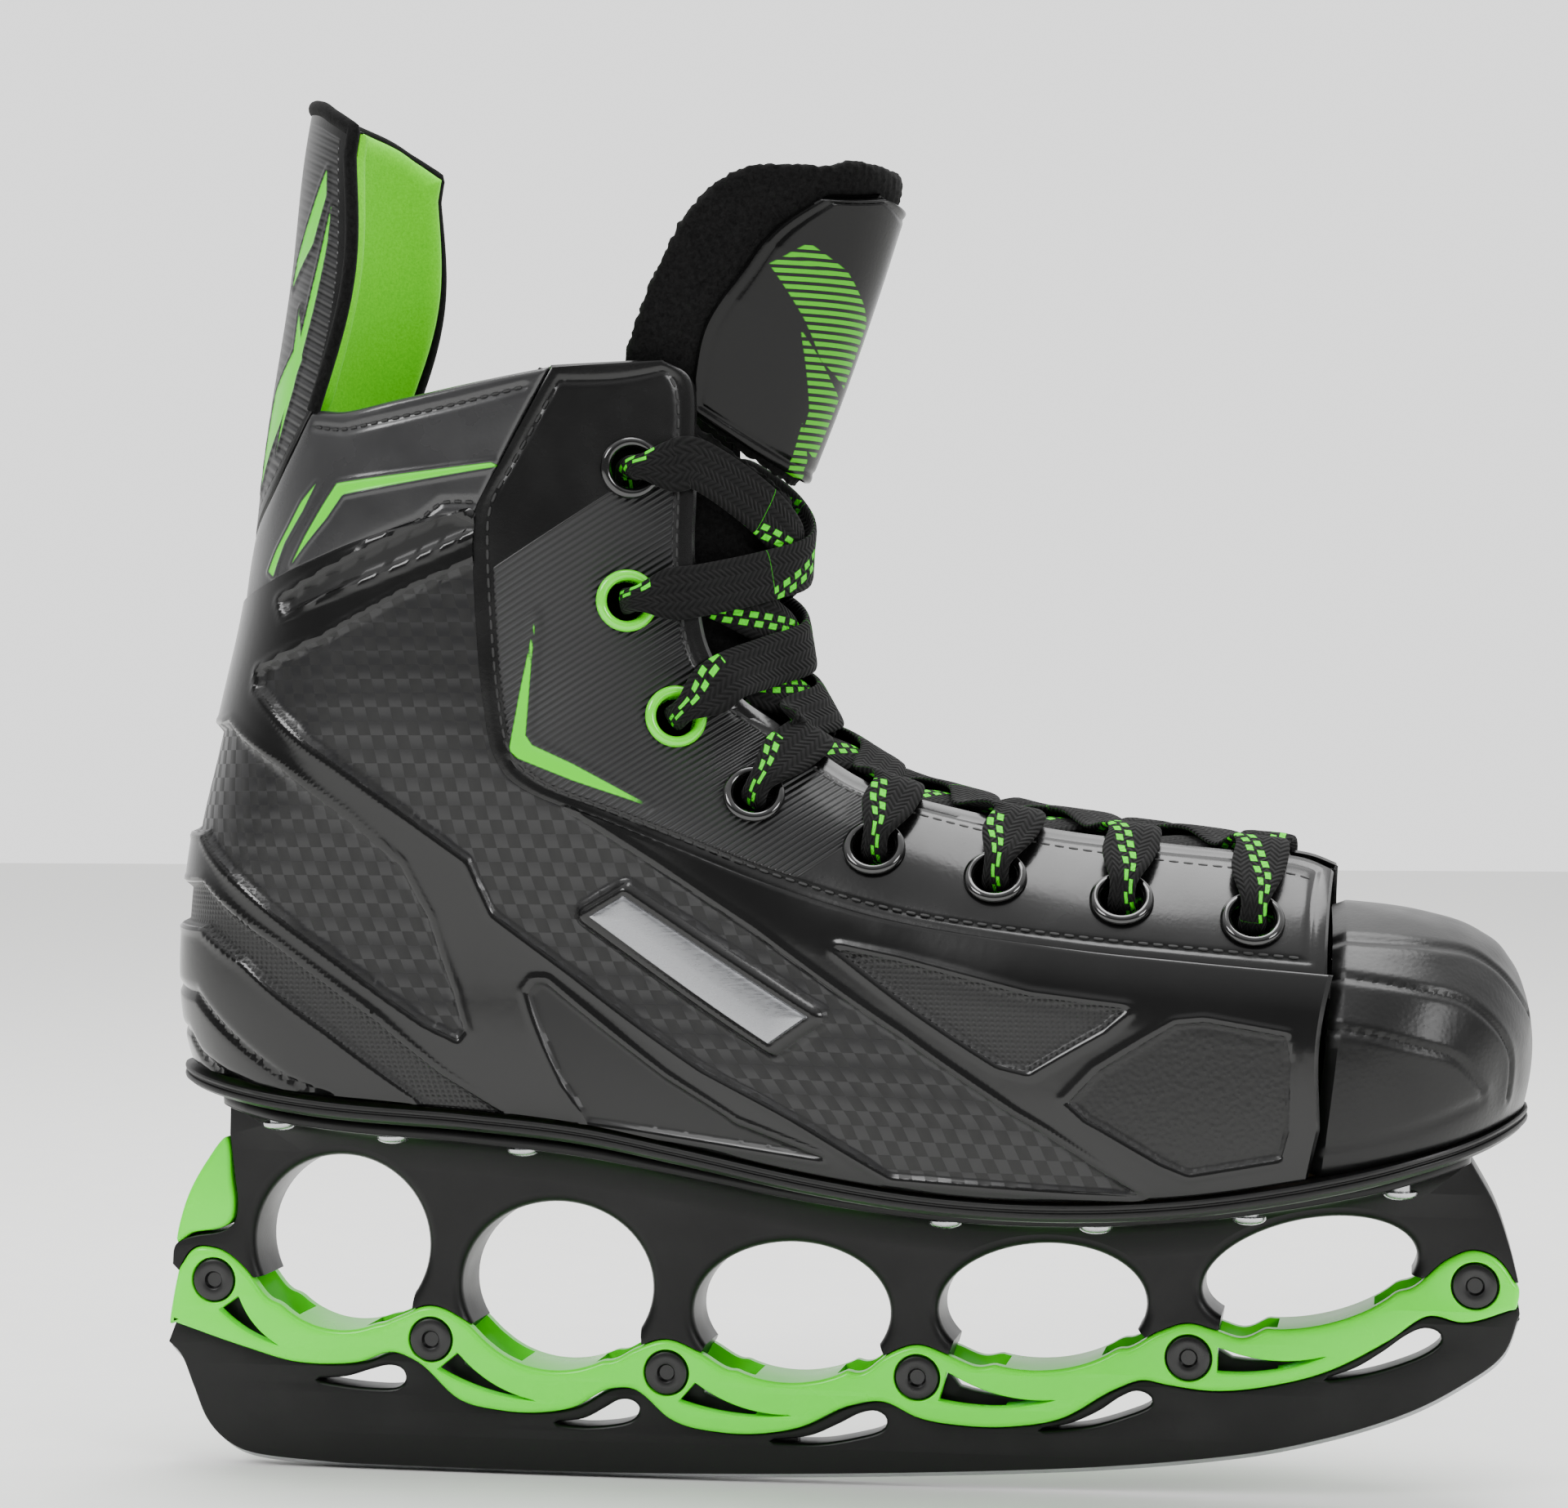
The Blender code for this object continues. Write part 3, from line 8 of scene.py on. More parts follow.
import logging
import math
from dataclasses import dataclass, field
from enum import Enum
from typing import Callable, Sequence

import bmesh
import bpy
import numpy as np
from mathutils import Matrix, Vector
from mathutils.geometry import tessellate_polygon


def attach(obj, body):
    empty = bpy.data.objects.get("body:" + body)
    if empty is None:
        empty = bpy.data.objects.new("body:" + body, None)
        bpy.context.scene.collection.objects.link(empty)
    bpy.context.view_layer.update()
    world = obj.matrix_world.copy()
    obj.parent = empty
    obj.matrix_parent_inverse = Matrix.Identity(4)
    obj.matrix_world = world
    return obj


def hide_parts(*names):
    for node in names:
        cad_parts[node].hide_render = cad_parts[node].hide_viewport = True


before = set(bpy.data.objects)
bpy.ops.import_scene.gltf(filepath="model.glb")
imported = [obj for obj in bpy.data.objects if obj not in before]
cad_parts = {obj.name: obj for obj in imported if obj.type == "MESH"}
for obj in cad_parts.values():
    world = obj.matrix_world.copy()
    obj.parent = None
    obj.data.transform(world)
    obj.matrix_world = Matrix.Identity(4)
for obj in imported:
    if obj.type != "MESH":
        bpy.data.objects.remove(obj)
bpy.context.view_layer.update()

MM = 0.001
DATUM = 1.7
GAP = 0.3
SIDES = (("lateral", -1), ("medial", 1))
log = logging.getLogger("skate")

Points = Sequence[tuple[float, float]]
Socket = bpy.types.NodeSocket
Tree = bpy.types.NodeTree


# ------------------------------------------------------------------------------------------- curves
def hermite(knots: Points) -> Callable[[np.ndarray], np.ndarray]:
    """A smooth function through knots: cubic between neighbours, with slopes from their neighbours.

    Args:
        knots: (input, output) pairs in rising order.

    Returns:
        A function of a number or an array, held constant outside the knots.
    """
    xs, ys = np.array(knots, float).T
    slopes = np.gradient(ys, xs)

    def value(x: np.ndarray) -> np.ndarray:
        """The cubic at x."""
        x = np.clip(np.asarray(x, float), xs[0], xs[-1])
        i = np.clip(np.searchsorted(xs, x) - 1, 0, len(xs) - 2)
        h = xs[i + 1] - xs[i]
        t = (x - xs[i]) / h
        return ((2 * t**3 - 3 * t**2 + 1) * ys[i] + (t**3 - 2 * t**2 + t) * h * slopes[i]
                + (3 * t**2 - 2 * t**3) * ys[i + 1] + (t**3 - t**2) * h * slopes[i + 1])

    return value


def through(points: Sequence, steps: int) -> np.ndarray:
    """A smooth open curve through points of any dimension (Catmull-Rom).

    Args:
        points: the points it passes through.
        steps: steps between two neighbours.

    Returns:
        The points of the curve.
    """
    p = np.array(points, float)
    p = np.vstack([2 * p[0] - p[1], p, 2 * p[-1] - p[-2]])
    t = (np.arange(steps) / steps)[None, :, None]
    a, b, c, d = (q[:, None] for q in (p[:-3], p[1:-2], p[2:-1], p[3:]))
    made = 0.5 * (2 * b + (c - a) * t + (2 * a - 5 * b + 4 * c - d) * t**2 + (3 * b - a - 3 * c + d) * t**3)
    return np.vstack([made.reshape(-1, p.shape[1]), p[-2:-1]])


def evenly(points: Sequence, count: int, smooth: bool = True) -> np.ndarray:
    """A curve through points, resampled to equal steps.

    Args:
        points: the points it passes through.
        count: how many points to return.
        smooth: whether it is rounded between the points.

    Returns:
        The resampled points.
    """
    fine = through(points, 16) if smooth else np.array(points, float)
    length = np.concatenate([[0], np.cumsum(np.linalg.norm(np.diff(fine, axis=0), axis=1))])
    at = np.linspace(0, length[-1], count)
    return np.column_stack([np.interp(at, length, column) for column in fine.T])


def smoothstep(low: float, high: float, x: np.ndarray) -> np.ndarray:
    """0 below low, 1 above high and an S-shaped cubic between."""
    t = np.clip((x - low) / (high - low), 0, 1)
    return t * t * (3 - 2 * t)


def roundoff(t: np.ndarray) -> np.ndarray:
    """A quarter circle: 0 at t = 0, rising to 1 at t = 1 and staying there."""
    return np.sqrt(np.clip(1 - (1 - np.clip(t, 0, 1)) ** 2, 0, 1))


def distance_to(points: np.ndarray, outline: np.ndarray, closed: bool = True) -> np.ndarray:
    """Distance of points in a plane from an outline: the least over its edges, negative inside a closed one.

    Args:
        points: (..., 2) array.
        outline: (k, 2) corners.
        closed: whether the outline's ends join.

    Returns:
        The distances, with the shape of points without its last axis.
    """
    p = points.reshape(-1, 1, 2)
    a = outline[None] if closed else outline[None, :-1]
    b = np.roll(outline, -1, axis=0)[None] if closed else outline[None, 1:]
    edge = b - a
    t = np.clip(((p - a) * edge).sum(2) / np.maximum((edge**2).sum(2), 1e-9), 0, 1)
    distance = np.linalg.norm(p - a - t[..., None] * edge, axis=2).min(1)
    if closed:
        crosses = (a[..., 1] > p[..., 1]) != (b[..., 1] > p[..., 1])
        rise = np.where(np.abs(edge[..., 1]) < 1e-9, 1e-9, edge[..., 1])
        where = a[..., 0] + (p[..., 1] - a[..., 1]) * edge[..., 0] / rise
        inside = (crosses & (p[..., 0] < where)).sum(1) % 2 == 1
        distance = np.where(inside, -distance, distance)
    return distance.reshape(points.shape[:-1])


# ------------------------------------------------------------------------------------------- grids
def normals(grid: np.ndarray) -> np.ndarray:
    """Unit normals of a grid: the cross product of its two directions, borrowed from a neighbour at a pole."""
    normal = np.cross(np.gradient(grid, axis=0), np.gradient(grid, axis=1))
    size = np.linalg.norm(normal, axis=2, keepdims=True)
    flat = size[..., 0] < 1e-7
    normal = normal / np.maximum(size, 1e-9)
    for _ in range(3):
        if not flat.any():
            break
        for axis, step in ((0, 1), (0, -1), (1, 1), (1, -1)):
            near = np.roll(normal, step, axis)
            fill = flat & ~np.roll(flat, step, axis)
            normal[fill] = near[fill]
            flat = flat & ~fill
    return normal


def lifted(grid: np.ndarray, height: np.ndarray | float) -> np.ndarray:
    """A grid moved along its own normals by a height that may differ from point to point."""
    return grid + normals(grid) * np.broadcast_to(height, grid.shape[:2])[..., None]


def border_distance(grid: np.ndarray, rows: tuple[bool, bool] = (True, True),
                    columns: tuple[bool, bool] = (True, True)) -> np.ndarray:
    """How far each point of a grid is from its borders, measured along the grid.

    Args:
        grid: the points.
        rows: whether the first and the last row count as borders.
        columns: whether the first and the last column count.

    Returns:
        The least of the distances to the borders that count.
    """
    found = np.full(grid.shape[:2], 1e6)
    for axis, (first, last) in enumerate((rows, columns)):
        step = np.linalg.norm(np.diff(grid, axis=axis), axis=2)
        along = np.concatenate([np.zeros_like(np.take(step, [0], axis)), np.cumsum(step, axis)], axis)
        if first:
            found = np.minimum(found, along)
        if last:
            found = np.minimum(found, np.take(along, [-1], axis) - along)
    return found


def edge_drop(distance: np.ndarray, radius: float) -> np.ndarray:
    """How far a surface falls towards its border when the edge is a quarter circle of a radius."""
    return -radius * (1 - roundoff(distance / radius))


def grid_faces(rows: int, columns: int, round_rows: bool = False, round_columns: bool = False) -> np.ndarray:
    """Four-sided faces of a grid of points, which may close on itself in either direction."""
    i = np.arange(rows if round_rows else rows - 1)[:, None]
    j = np.arange(columns if round_columns else columns - 1)[None]
    i2, j2 = (i + 1) % rows, (j + 1) % columns
    corners = (i * columns + j, i2 * columns + j, i2 * columns + j2, i * columns + j2)
    return np.stack(np.broadcast_arrays(*corners), -1).reshape(-1, 4)


def walled(grid: np.ndarray, thickness: np.ndarray | float) -> tuple[np.ndarray, np.ndarray]:
    """A closed solid from an outer grid, a copy sunk along its normals, and a rim round the border.

    Args:
        grid: the outer surface, its normals pointing out.
        thickness: the wall, one number or one per point.

    Returns:
        The points and the four-sided faces.
    """
    return paired(grid, lifted(grid, -np.asarray(thickness)))


def paired(outer: np.ndarray, inner: np.ndarray) -> tuple[np.ndarray, np.ndarray]:
    """A closed solid from an outer and an inner grid, joined by a rim round the border."""
    n, m = outer.shape[:2]
    outside = grid_faces(n, m)
    index = np.arange(n * m).reshape(n, m)
    loop = np.concatenate([index[:, 0], index[-1, 1:], index[-2::-1, -1], index[0, -2:0:-1]])
    after = np.roll(loop, -1)
    rim = np.stack([after, loop, loop + n * m, after + n * m], -1)
    return (np.concatenate([outer.reshape(-1, 3), inner.reshape(-1, 3)]),
            np.concatenate([outside, outside[:, ::-1] + n * m, rim]))


def swept(path: np.ndarray, across: np.ndarray, section: np.ndarray) -> np.ndarray:
    """A cross-section carried along a path.

    Args:
        path: (n, 3) points.
        across: (n, 3) rough directions of the section's first axis.
        section: (k, 2) points, or (n, k, 2) where it changes along the path.

    Returns:
        An (n, k, 3) grid that closes on itself round the section.
    """
    along = np.gradient(path, axis=0)
    along /= np.linalg.norm(along, axis=1, keepdims=True)
    up = np.cross(along, across)
    up /= np.linalg.norm(up, axis=1, keepdims=True)
    wide = np.cross(up, along)
    section = np.broadcast_to(section, (len(path), *section.shape[-2:]))
    return path[:, None] + wide[:, None] * section[..., :1] + up[:, None] * section[..., 1:]


def capped_tube(grid: np.ndarray) -> tuple[np.ndarray, list]:
    """Points and faces of a swept grid with both ends closed by a fan."""
    n, k = grid.shape[:2]
    ends = np.stack([grid[0].mean(0), grid[-1].mean(0)])
    j = np.arange(k)
    sides = grid_faces(n, k, round_columns=True)
    first = np.stack([np.full(k, n * k), j, (j + 1) % k], -1)
    last = np.stack([np.full(k, n * k + 1), (n - 1) * k + (j + 1) % k, (n - 1) * k + j], -1)
    return np.concatenate([grid.reshape(-1, 3), ends]), [sides, first, last]


# ------------------------------------------------------------------------------------------- pieces
@dataclass(frozen=True)
class Ride:
    """Where a piece belongs: the body it moves with, the CAD nodes it stands for and its material slot."""

    body: str = "boot"
    replaces: tuple[str, ...] = ()
    slot: str = ""


def dressed(obj: bpy.types.Object, ride: Ride) -> bpy.types.Object:
    """Gives a finished object its body, hides the nodes that it replaces, and reports it."""
    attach(obj, ride.body)
    if ride.replaces:
        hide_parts(*ride.replaces)
    log.info("%s rides on %s", obj.name, ride.body)
    return obj


def new_object(name: str, points: np.ndarray, faces: Sequence[np.ndarray], finish: bpy.types.Material,
               fields: dict[str, np.ndarray] | None = None, weld: bool = False,
               crease: float = 35.0, outward: bool = False) -> bpy.types.Object:
    """A mesh object at the origin, from points in millimetres above the datum.

    Args:
        name: the object's name.
        points: (n, 3) array.
        faces: arrays of corner indices, one row a face.
        finish: its material.
        fields: values or vectors per point, written as attributes that the material reads.
        weld: whether points that coincide are merged, as at a pole.
        crease: the angle in degrees past which an edge is shaded sharp.
        outward: whether the faces' directions are worked out again.

    Returns:
        The object.
    """
    mesh = bpy.data.meshes.new(name)
    place = (points + (0.0, 0.0, DATUM)) * MM
    mesh.from_pydata(place.tolist(), [], [row for block in faces for row in block.tolist()])
    for key, values in (fields or {}).items():
        kind, entry = ("FLOAT", "value") if values.ndim == 1 else ("FLOAT_VECTOR", "vector")
        mesh.attributes.new(key, kind, "POINT").data.foreach_set(entry, values.astype(np.float32).ravel())
    if weld or outward:
        shape = bmesh.new()
        shape.from_mesh(mesh)
        if weld:
            bmesh.ops.remove_doubles(shape, verts=shape.verts, dist=1e-5)
        if outward:
            bmesh.ops.recalc_face_normals(shape, faces=shape.faces)
        shape.to_mesh(mesh)
        shape.free()
    mesh.shade_smooth()
    mesh.set_sharp_from_angle(angle=math.radians(crease))
    mesh.materials.append(finish)
    obj = bpy.data.objects.new(name, mesh)
    bpy.context.scene.collection.objects.link(obj)
    return obj


def piece(name: str, points: np.ndarray, faces: Sequence[np.ndarray], finish: bpy.types.Material, ride: Ride,
          fields: dict[str, np.ndarray] | None = None, weld: bool = False,
          outward: bool = False) -> bpy.types.Object:
    """Makes an object, as new_object does, and dresses it."""
    return dressed(new_object(name, points, faces, finish, fields, weld=weld, outward=outward), ride)


def doubled(**fields: np.ndarray) -> dict[str, np.ndarray]:
    """Values of a grid's points, repeated for the inner layer of its walled solid."""
    return {key: np.tile(value.reshape(-1, 3) if value.ndim == 3 else value.ravel(),
                         (2, 1) if value.ndim == 3 else 2) for key, value in fields.items()}


def merged(parts: Sequence[tuple[np.ndarray, Sequence[np.ndarray]]]) -> tuple[np.ndarray, list[np.ndarray]]:
    """Several sets of points and faces as one set."""
    points, faces, start = [], [], 0
    for part_points, part_faces in parts:
        points.append(part_points)
        faces += [block + start for block in part_faces]
        start += len(part_points)
    return np.concatenate(points), faces


def turned(profile: np.ndarray, centre: np.ndarray, axis: np.ndarray, steps: int = 48,
           closed: bool = True) -> tuple[np.ndarray, list[np.ndarray]]:
    """A profile of (radius, height) turned round an axis.

    Args:
        profile: its points, going round so that the outer side runs down.
        centre: a point on the axis.
        axis: the direction of the heights.
        steps: steps in a full turn.
        closed: whether the profile's ends join, as on a ring. An open one starts and ends on the axis.

    Returns:
        The points and the faces.
    """
    axis = np.asarray(axis, float) / np.linalg.norm(axis)
    side = np.cross(axis, (1.0, 0.0, 0.0) if abs(axis[0]) < 0.8 else (0.0, 0.0, 1.0))
    side /= np.linalg.norm(side)
    angle = np.arange(steps) * 2 * math.pi / steps
    spoke = side * np.cos(angle)[:, None] + np.cross(axis, side) * np.sin(angle)[:, None]
    grid = centre + spoke[:, None] * profile[None, :, :1] + axis * profile[None, :, 1:]
    faces = grid_faces(steps, len(profile), round_rows=True, round_columns=closed)
    return grid.reshape(-1, 3), [faces]


# ------------------------------------------------------------------------------------------- finishes
def linear(hex_colour: str) -> tuple[float, float, float, float]:
    """An sRGB hex value, such as #8bf03c, as a linear colour."""
    channels = [int(hex_colour[i:i + 2], 16) / 255 for i in (1, 3, 5)]
    return (*[c / 12.92 if c <= 0.04045 else ((c + 0.055) / 1.055) ** 2.4 for c in channels], 1.0)


def add(tree: Tree, kind: str, links: dict | None = None, **settings: object) -> Socket:
    """Adds a shader node.

    Args:
        tree: the material's node tree.
        kind: the node's type without its ShaderNode prefix.
        links: values or sockets by input name or number.
        settings: the node's own properties.

    Returns:
        Its first output, or its first input where it has none.
    """
    node = tree.nodes.new("ShaderNode" + kind)
    for key, value in settings.items():
        setattr(node, key, value)
    for key, value in (links or {}).items():
        if isinstance(value, bpy.types.NodeSocket):
            tree.links.new(value, node.inputs[key])
        else:
            node.inputs[key].default_value = value
    return node.outputs[0] if node.outputs else node.inputs[0]


@dataclass(frozen=True)
class Finish:
    """A surface: its colour, gloss and grain. The base class has a fine moulded grain and slight mottling."""

    name: str
    colour: str
    second: str = ""
    roughness: float = 0.4
    spread: float = 0.06
    metallic: float = 0.0
    ior: float = 1.5
    coat: float = 0.0
    coat_roughness: float = 0.1
    sheen: float = 0.0
    grain: float = 0.35
    relief: float = 0.02
    mottle: float = 0.12

    def place(self, tree: Tree) -> Socket:
        """Object coordinates in millimetres."""
        return add(tree, "VectorMath", {0: add(tree, "TexCoord").node.outputs["Object"], "Scale": 1 / MM},
                   operation="SCALE")

    def pattern(self, tree: Tree, place: Socket) -> tuple[Socket, Socket, Socket]:
        """Colour, roughness and height, in millimetres, of the surface at each place."""
        grain = add(tree, "TexNoise", {"Vector": place, "Scale": 1 / self.grain, "Detail": 3.0})
        cloud = add(tree, "TexNoise", {"Vector": place, "Scale": 1 / 14.0, "Detail": 4.0})
        return self.mottled(tree, cloud), self.rough(tree, cloud), self.high(tree, grain, self.relief)

    def mottled(self, tree: Tree, cloud: Socket) -> Socket:
        """The colour, drifting to its second colour, or to a darker one, with a cloud."""
        base = linear(self.colour)
        other = linear(self.second) if self.second else tuple(c * (1 - 3 * self.mottle) for c in base[:3]) + (1.0,)
        mix = add(tree, "Mix", {0: cloud, 6: other, 7: base}, data_type="RGBA")
        return mix.node.outputs[2]

    def rough(self, tree: Tree, cloud: Socket) -> Socket:
        """Roughness that wanders by the spread with a cloud."""
        return add(tree, "MapRange", {0: cloud, 1: 0.3, 2: 0.7, 3: self.roughness - self.spread,
                                      4: self.roughness + self.spread})

    def high(self, tree: Tree, value: Socket, scale: float) -> Socket:
        """A height in millimetres from a 0 to 1 value."""
        return add(tree, "Math", {0: value, 1: scale}, operation="MULTIPLY")

    def build(self) -> bpy.types.Material:
        """Makes the material."""
        made = bpy.data.materials.new(self.name)
        made.use_nodes = True
        tree = made.node_tree
        shader = tree.nodes["Principled BSDF"]
        colour, rough, height = self.pattern(tree, self.place(tree))
        bump = add(tree, "Bump", {"Height": height, "Strength": 1.0, "Distance": MM})
        for key, socket in (("Base Color", colour), ("Roughness", rough), ("Normal", bump)):
            tree.links.new(socket, shader.inputs[key])
        for key, value in (("Metallic", self.metallic), ("IOR", self.ior), ("Coat Weight", self.coat),
                           ("Coat Roughness", self.coat_roughness), ("Sheen Weight", self.sheen)):
            shader.inputs[key].default_value = value
        return made


@dataclass(frozen=True)
class Felt(Finish):
    """Needled felt: a mat of short fibres, so it is rough, soft-edged and speckled at the size of a fibre."""

    fibre: float = 0.9

    def pattern(self, tree: Tree, place: Socket) -> tuple[Socket, Socket, Socket]:
        """Two sizes of tangled noise, stretched by a swirl, as height and as speckle."""
        swirl = add(tree, "TexNoise", {"Vector": place, "Scale": 0.25 / self.fibre, "Distortion": 1.5})
        fine = add(tree, "TexNoise", {"Vector": place, "Scale": 1 / self.fibre, "Detail": 6.0, "Roughness": 0.7,
                                      "Distortion": 0.8})
        speck = add(tree, "MapRange", {0: fine, 1: 0.35, 2: 0.68})
        both = add(tree, "Math", {0: fine, 1: swirl}, operation="MULTIPLY")
        return self.mottled(tree, speck), self.rough(tree, swirl), self.high(tree, both, self.relief * 10)


@dataclass(frozen=True)
class Cells(Finish):
    """Hide or moulded leather grain: rounded cells, a grain wide, between fine creases."""

    def pattern(self, tree: Tree, place: Socket) -> tuple[Socket, Socket, Socket]:
        """The distance to the nearest cell edge, rounded, as height."""
        cell = add(tree, "TexVoronoi", {"Vector": place, "Scale": 1 / self.grain, "Randomness": 0.9},
                   feature="SMOOTH_F1")
        cloud = add(tree, "TexNoise", {"Vector": place, "Scale": 1 / 11.0, "Detail": 4.0})
        return self.mottled(tree, cloud), self.rough(tree, cloud), self.high(tree, cell, -self.relief)


@dataclass(frozen=True)
class Brushed(Finish):
    """Ground or brushed metal: hair-fine scratches all in one direction, seen as streaks of changing gloss."""

    stretch: tuple[float, float, float] = (0.04, 1.0, 1.0)

    def pattern(self, tree: Tree, place: Socket) -> tuple[Socket, Socket, Socket]:
        """Noise squeezed along the grinding direction."""
        long = add(tree, "VectorMath", {0: place, 1: self.stretch}, operation="MULTIPLY")
        hair = add(tree, "TexNoise", {"Vector": long, "Scale": 1 / self.grain, "Detail": 5.0})
        return self.mottled(tree, hair), self.rough(tree, hair), self.high(tree, hair, self.relief)


def masked(tree: Tree, name: str, blur: float = 0.12) -> Socket:
    """1 inside an area whose signed distance in millimetres is stored under a name, 0 outside it."""
    distance = add(tree, "Attribute", attribute_name=name).node.outputs["Fac"]
    return add(tree, "MapRange", {0: distance, 1: blur, 2: -blur})


def chosen(tree: Tree, factor: Socket, outside: Socket | tuple | float, inside: Socket | tuple | float,
           colour: bool = False) -> Socket:
    """Mixes two numbers, or two colours, by a factor."""
    kind, low, high, out = ("RGBA", 6, 7, 2) if colour else ("FLOAT", 2, 3, 0)
    return add(tree, "Mix", {0: factor, low: outside, high: inside}, data_type=kind).node.outputs[out]


def stored(tree: Tree, name: str) -> tuple[Socket, Socket, Socket]:
    """The three numbers stored at each point under a name."""
    vector = add(tree, "Attribute", attribute_name=name).node.outputs["Vector"]
    split = add(tree, "SeparateXYZ", {0: vector}).node
    return split.outputs[0], split.outputs[1], split.outputs[2]


def wave(tree: Tree, value: Socket, pitch: float) -> Socket:
    """A sine of a length in millimetres, from 0 to 1 and back over one pitch."""
    turn = add(tree, "Math", {0: value, 1: 2 * math.pi / pitch}, operation="MULTIPLY")
    return add(tree, "MapRange", {0: add(tree, "Math", {0: turn}, operation="SINE"), 1: -1.0, 2: 1.0})


def slanted(tree: Tree, x: Socket, y: Socket, degrees: float) -> Socket:
    """The distance across lines that rise at an angle, from two lengths along and up the surface."""
    angle = math.radians(degrees)
    a = add(tree, "Math", {0: x, 1: -math.sin(angle)}, operation="MULTIPLY")
    return add(tree, "Math", {0: y, 1: math.cos(angle), 2: a}, operation="MULTIPLY_ADD")


@dataclass(frozen=True)
class MouldedShell(Finish):
    """Injection-moulded shell with inlays: glossy frames round satin windows of woven, meshed or grained skin.

    The areas' signed distances and the place on the unrolled surface are stored at the mesh's points.
    """

    tow: tuple[float, float] = (2.6, 2.85)
    mesh_pitch: tuple[float, float] = (1.2, 1.0)

    def pattern(self, tree: Tree, place: Socket) -> tuple[Socket, Socket, Socket]:
        """Chooses between gloss, carbon weave, mesh, leather grain and plain satin by the stored areas, with painted
        sheen on the weave's tows and painted shade in the mesh's holes.
        """
        _, x, z = stored(tree, "skin")
        shear = add(tree, "Math", {0: z, 1: 0.45, 2: x}, operation="MULTIPLY_ADD")
        cell = add(tree, "CombineXYZ", {0: add(tree, "Math", {0: shear, 1: 1 / self.tow[0]}, operation="MULTIPLY"),
                                        1: add(tree, "Math", {0: z, 1: 1 / self.tow[1]}, operation="MULTIPLY"),
                                        2: 0.5})
        over = add(tree, "TexChecker", {"Vector": cell, "Scale": 1.0, "Color1": (1, 1, 1, 1),
                                        "Color2": (0, 0, 0, 1)})
        warp, weft = wave(tree, shear, self.tow[0] * 2), wave(tree, z, self.tow[1] * 2)
        crown = chosen(tree, over, warp, weft)
        holes = add(tree, "Math", {0: wave(tree, x, self.mesh_pitch[0]), 1: wave(tree, z, self.mesh_pitch[1])},
                    operation="MULTIPLY")
        hide = add(tree, "TexVoronoi", {"Vector": place, "Scale": 1 / 1.0}, feature="SMOOTH_F1")
        cloud = add(tree, "TexNoise", {"Vector": place, "Scale": 1 / 16.0, "Detail": 4.0})
        orange = add(tree, "TexNoise", {"Vector": place, "Scale": 1 / 2.4, "Detail": 2.0})
        carbon, mesh, hides, matte = (masked(tree, key) for key in ("carbon", "mesh", "hide", "matte"))
        colour = self.mottled(tree, cloud)
        # Painted sheen: tows of one weave direction are painted lighter, as if they caught the light, and the others
        # darker; the checker itself follows the weave.
        painted_tow_sheen = chosen(tree, over, linear("#070707"), linear("#1a1a1b"), colour=True)
        colour = chosen(tree, carbon, colour, painted_tow_sheen, colour=True)
        # Painted shade: the mesh's sunk holes are painted darker than the threads between them.
        painted_hole_shade = chosen(tree, holes, linear("#191919"), linear("#060606"), colour=True)
        colour = chosen(tree, mesh, colour, painted_hole_shade, colour=True)
        colour = chosen(tree, hides, colour, linear("#0c0c0c"), colour=True)
        colour = chosen(tree, matte, colour, linear("#0c0c0c"), colour=True)
        rough = self.rough(tree, cloud)
        weave = chosen(tree, over, 0.5, 0.3)
        for area, value in ((carbon, weave), (mesh, 0.5), (hides, 0.48), (matte, 0.46)):
            rough = chosen(tree, area, rough, value)
        height = self.high(tree, orange, 0.02)
        for area, value, tall in ((carbon, crown, 0.12), (mesh, holes, -0.22), (hides, hide, -0.16)):
            height = chosen(tree, area, height, self.high(tree, value, tall))
        return colour, rough, height


@dataclass(frozen=True)
class RibbedPatent(Finish):
    """Patent synthetic leather, embossed with fine ribs in one area, their crests painted lighter and their grooves
    darker as painted highlight and shade, and printed with a green flash in another.
    """

    flash: str = "#4fd800"
    pitch: float = 1.2
    rise: float = 33.7

    def pattern(self, tree: Tree, place: Socket) -> tuple[Socket, Socket, Socket]:
        """Ribs as a sine across their direction, which also paints their crests light and their grooves dark, a
        stored area for them and one for the flash.
        """
        x, _, z = stored(tree, "skin")
        rib = wave(tree, slanted(tree, x, z, self.rise), self.pitch)
        ribbed, flash = masked(tree, "ribbed", 0.25), masked(tree, "flash")
        cloud = add(tree, "TexNoise", {"Vector": place, "Scale": 1 / 13.0, "Detail": 4.0})
        skin = add(tree, "TexNoise", {"Vector": place, "Scale": 1 / 0.8, "Detail": 2.0})
        # Painted highlight and shade: the same sine that raises the ribs paints their crests lighter and their
        # grooves darker.
        painted_rib_light = chosen(tree, rib, linear("#050505"), linear("#202021"), colour=True)
        colour = chosen(tree, ribbed, self.mottled(tree, cloud), painted_rib_light, colour=True)
        colour = chosen(tree, flash, colour, linear(self.flash), colour=True)
        rough = chosen(tree, ribbed, self.rough(tree, cloud), 0.34)
        height = chosen(tree, ribbed, self.high(tree, skin, 0.02), self.high(tree, rib, 0.3))
        return colour, chosen(tree, flash, rough, 0.3), chosen(tree, flash, height, 0.3)


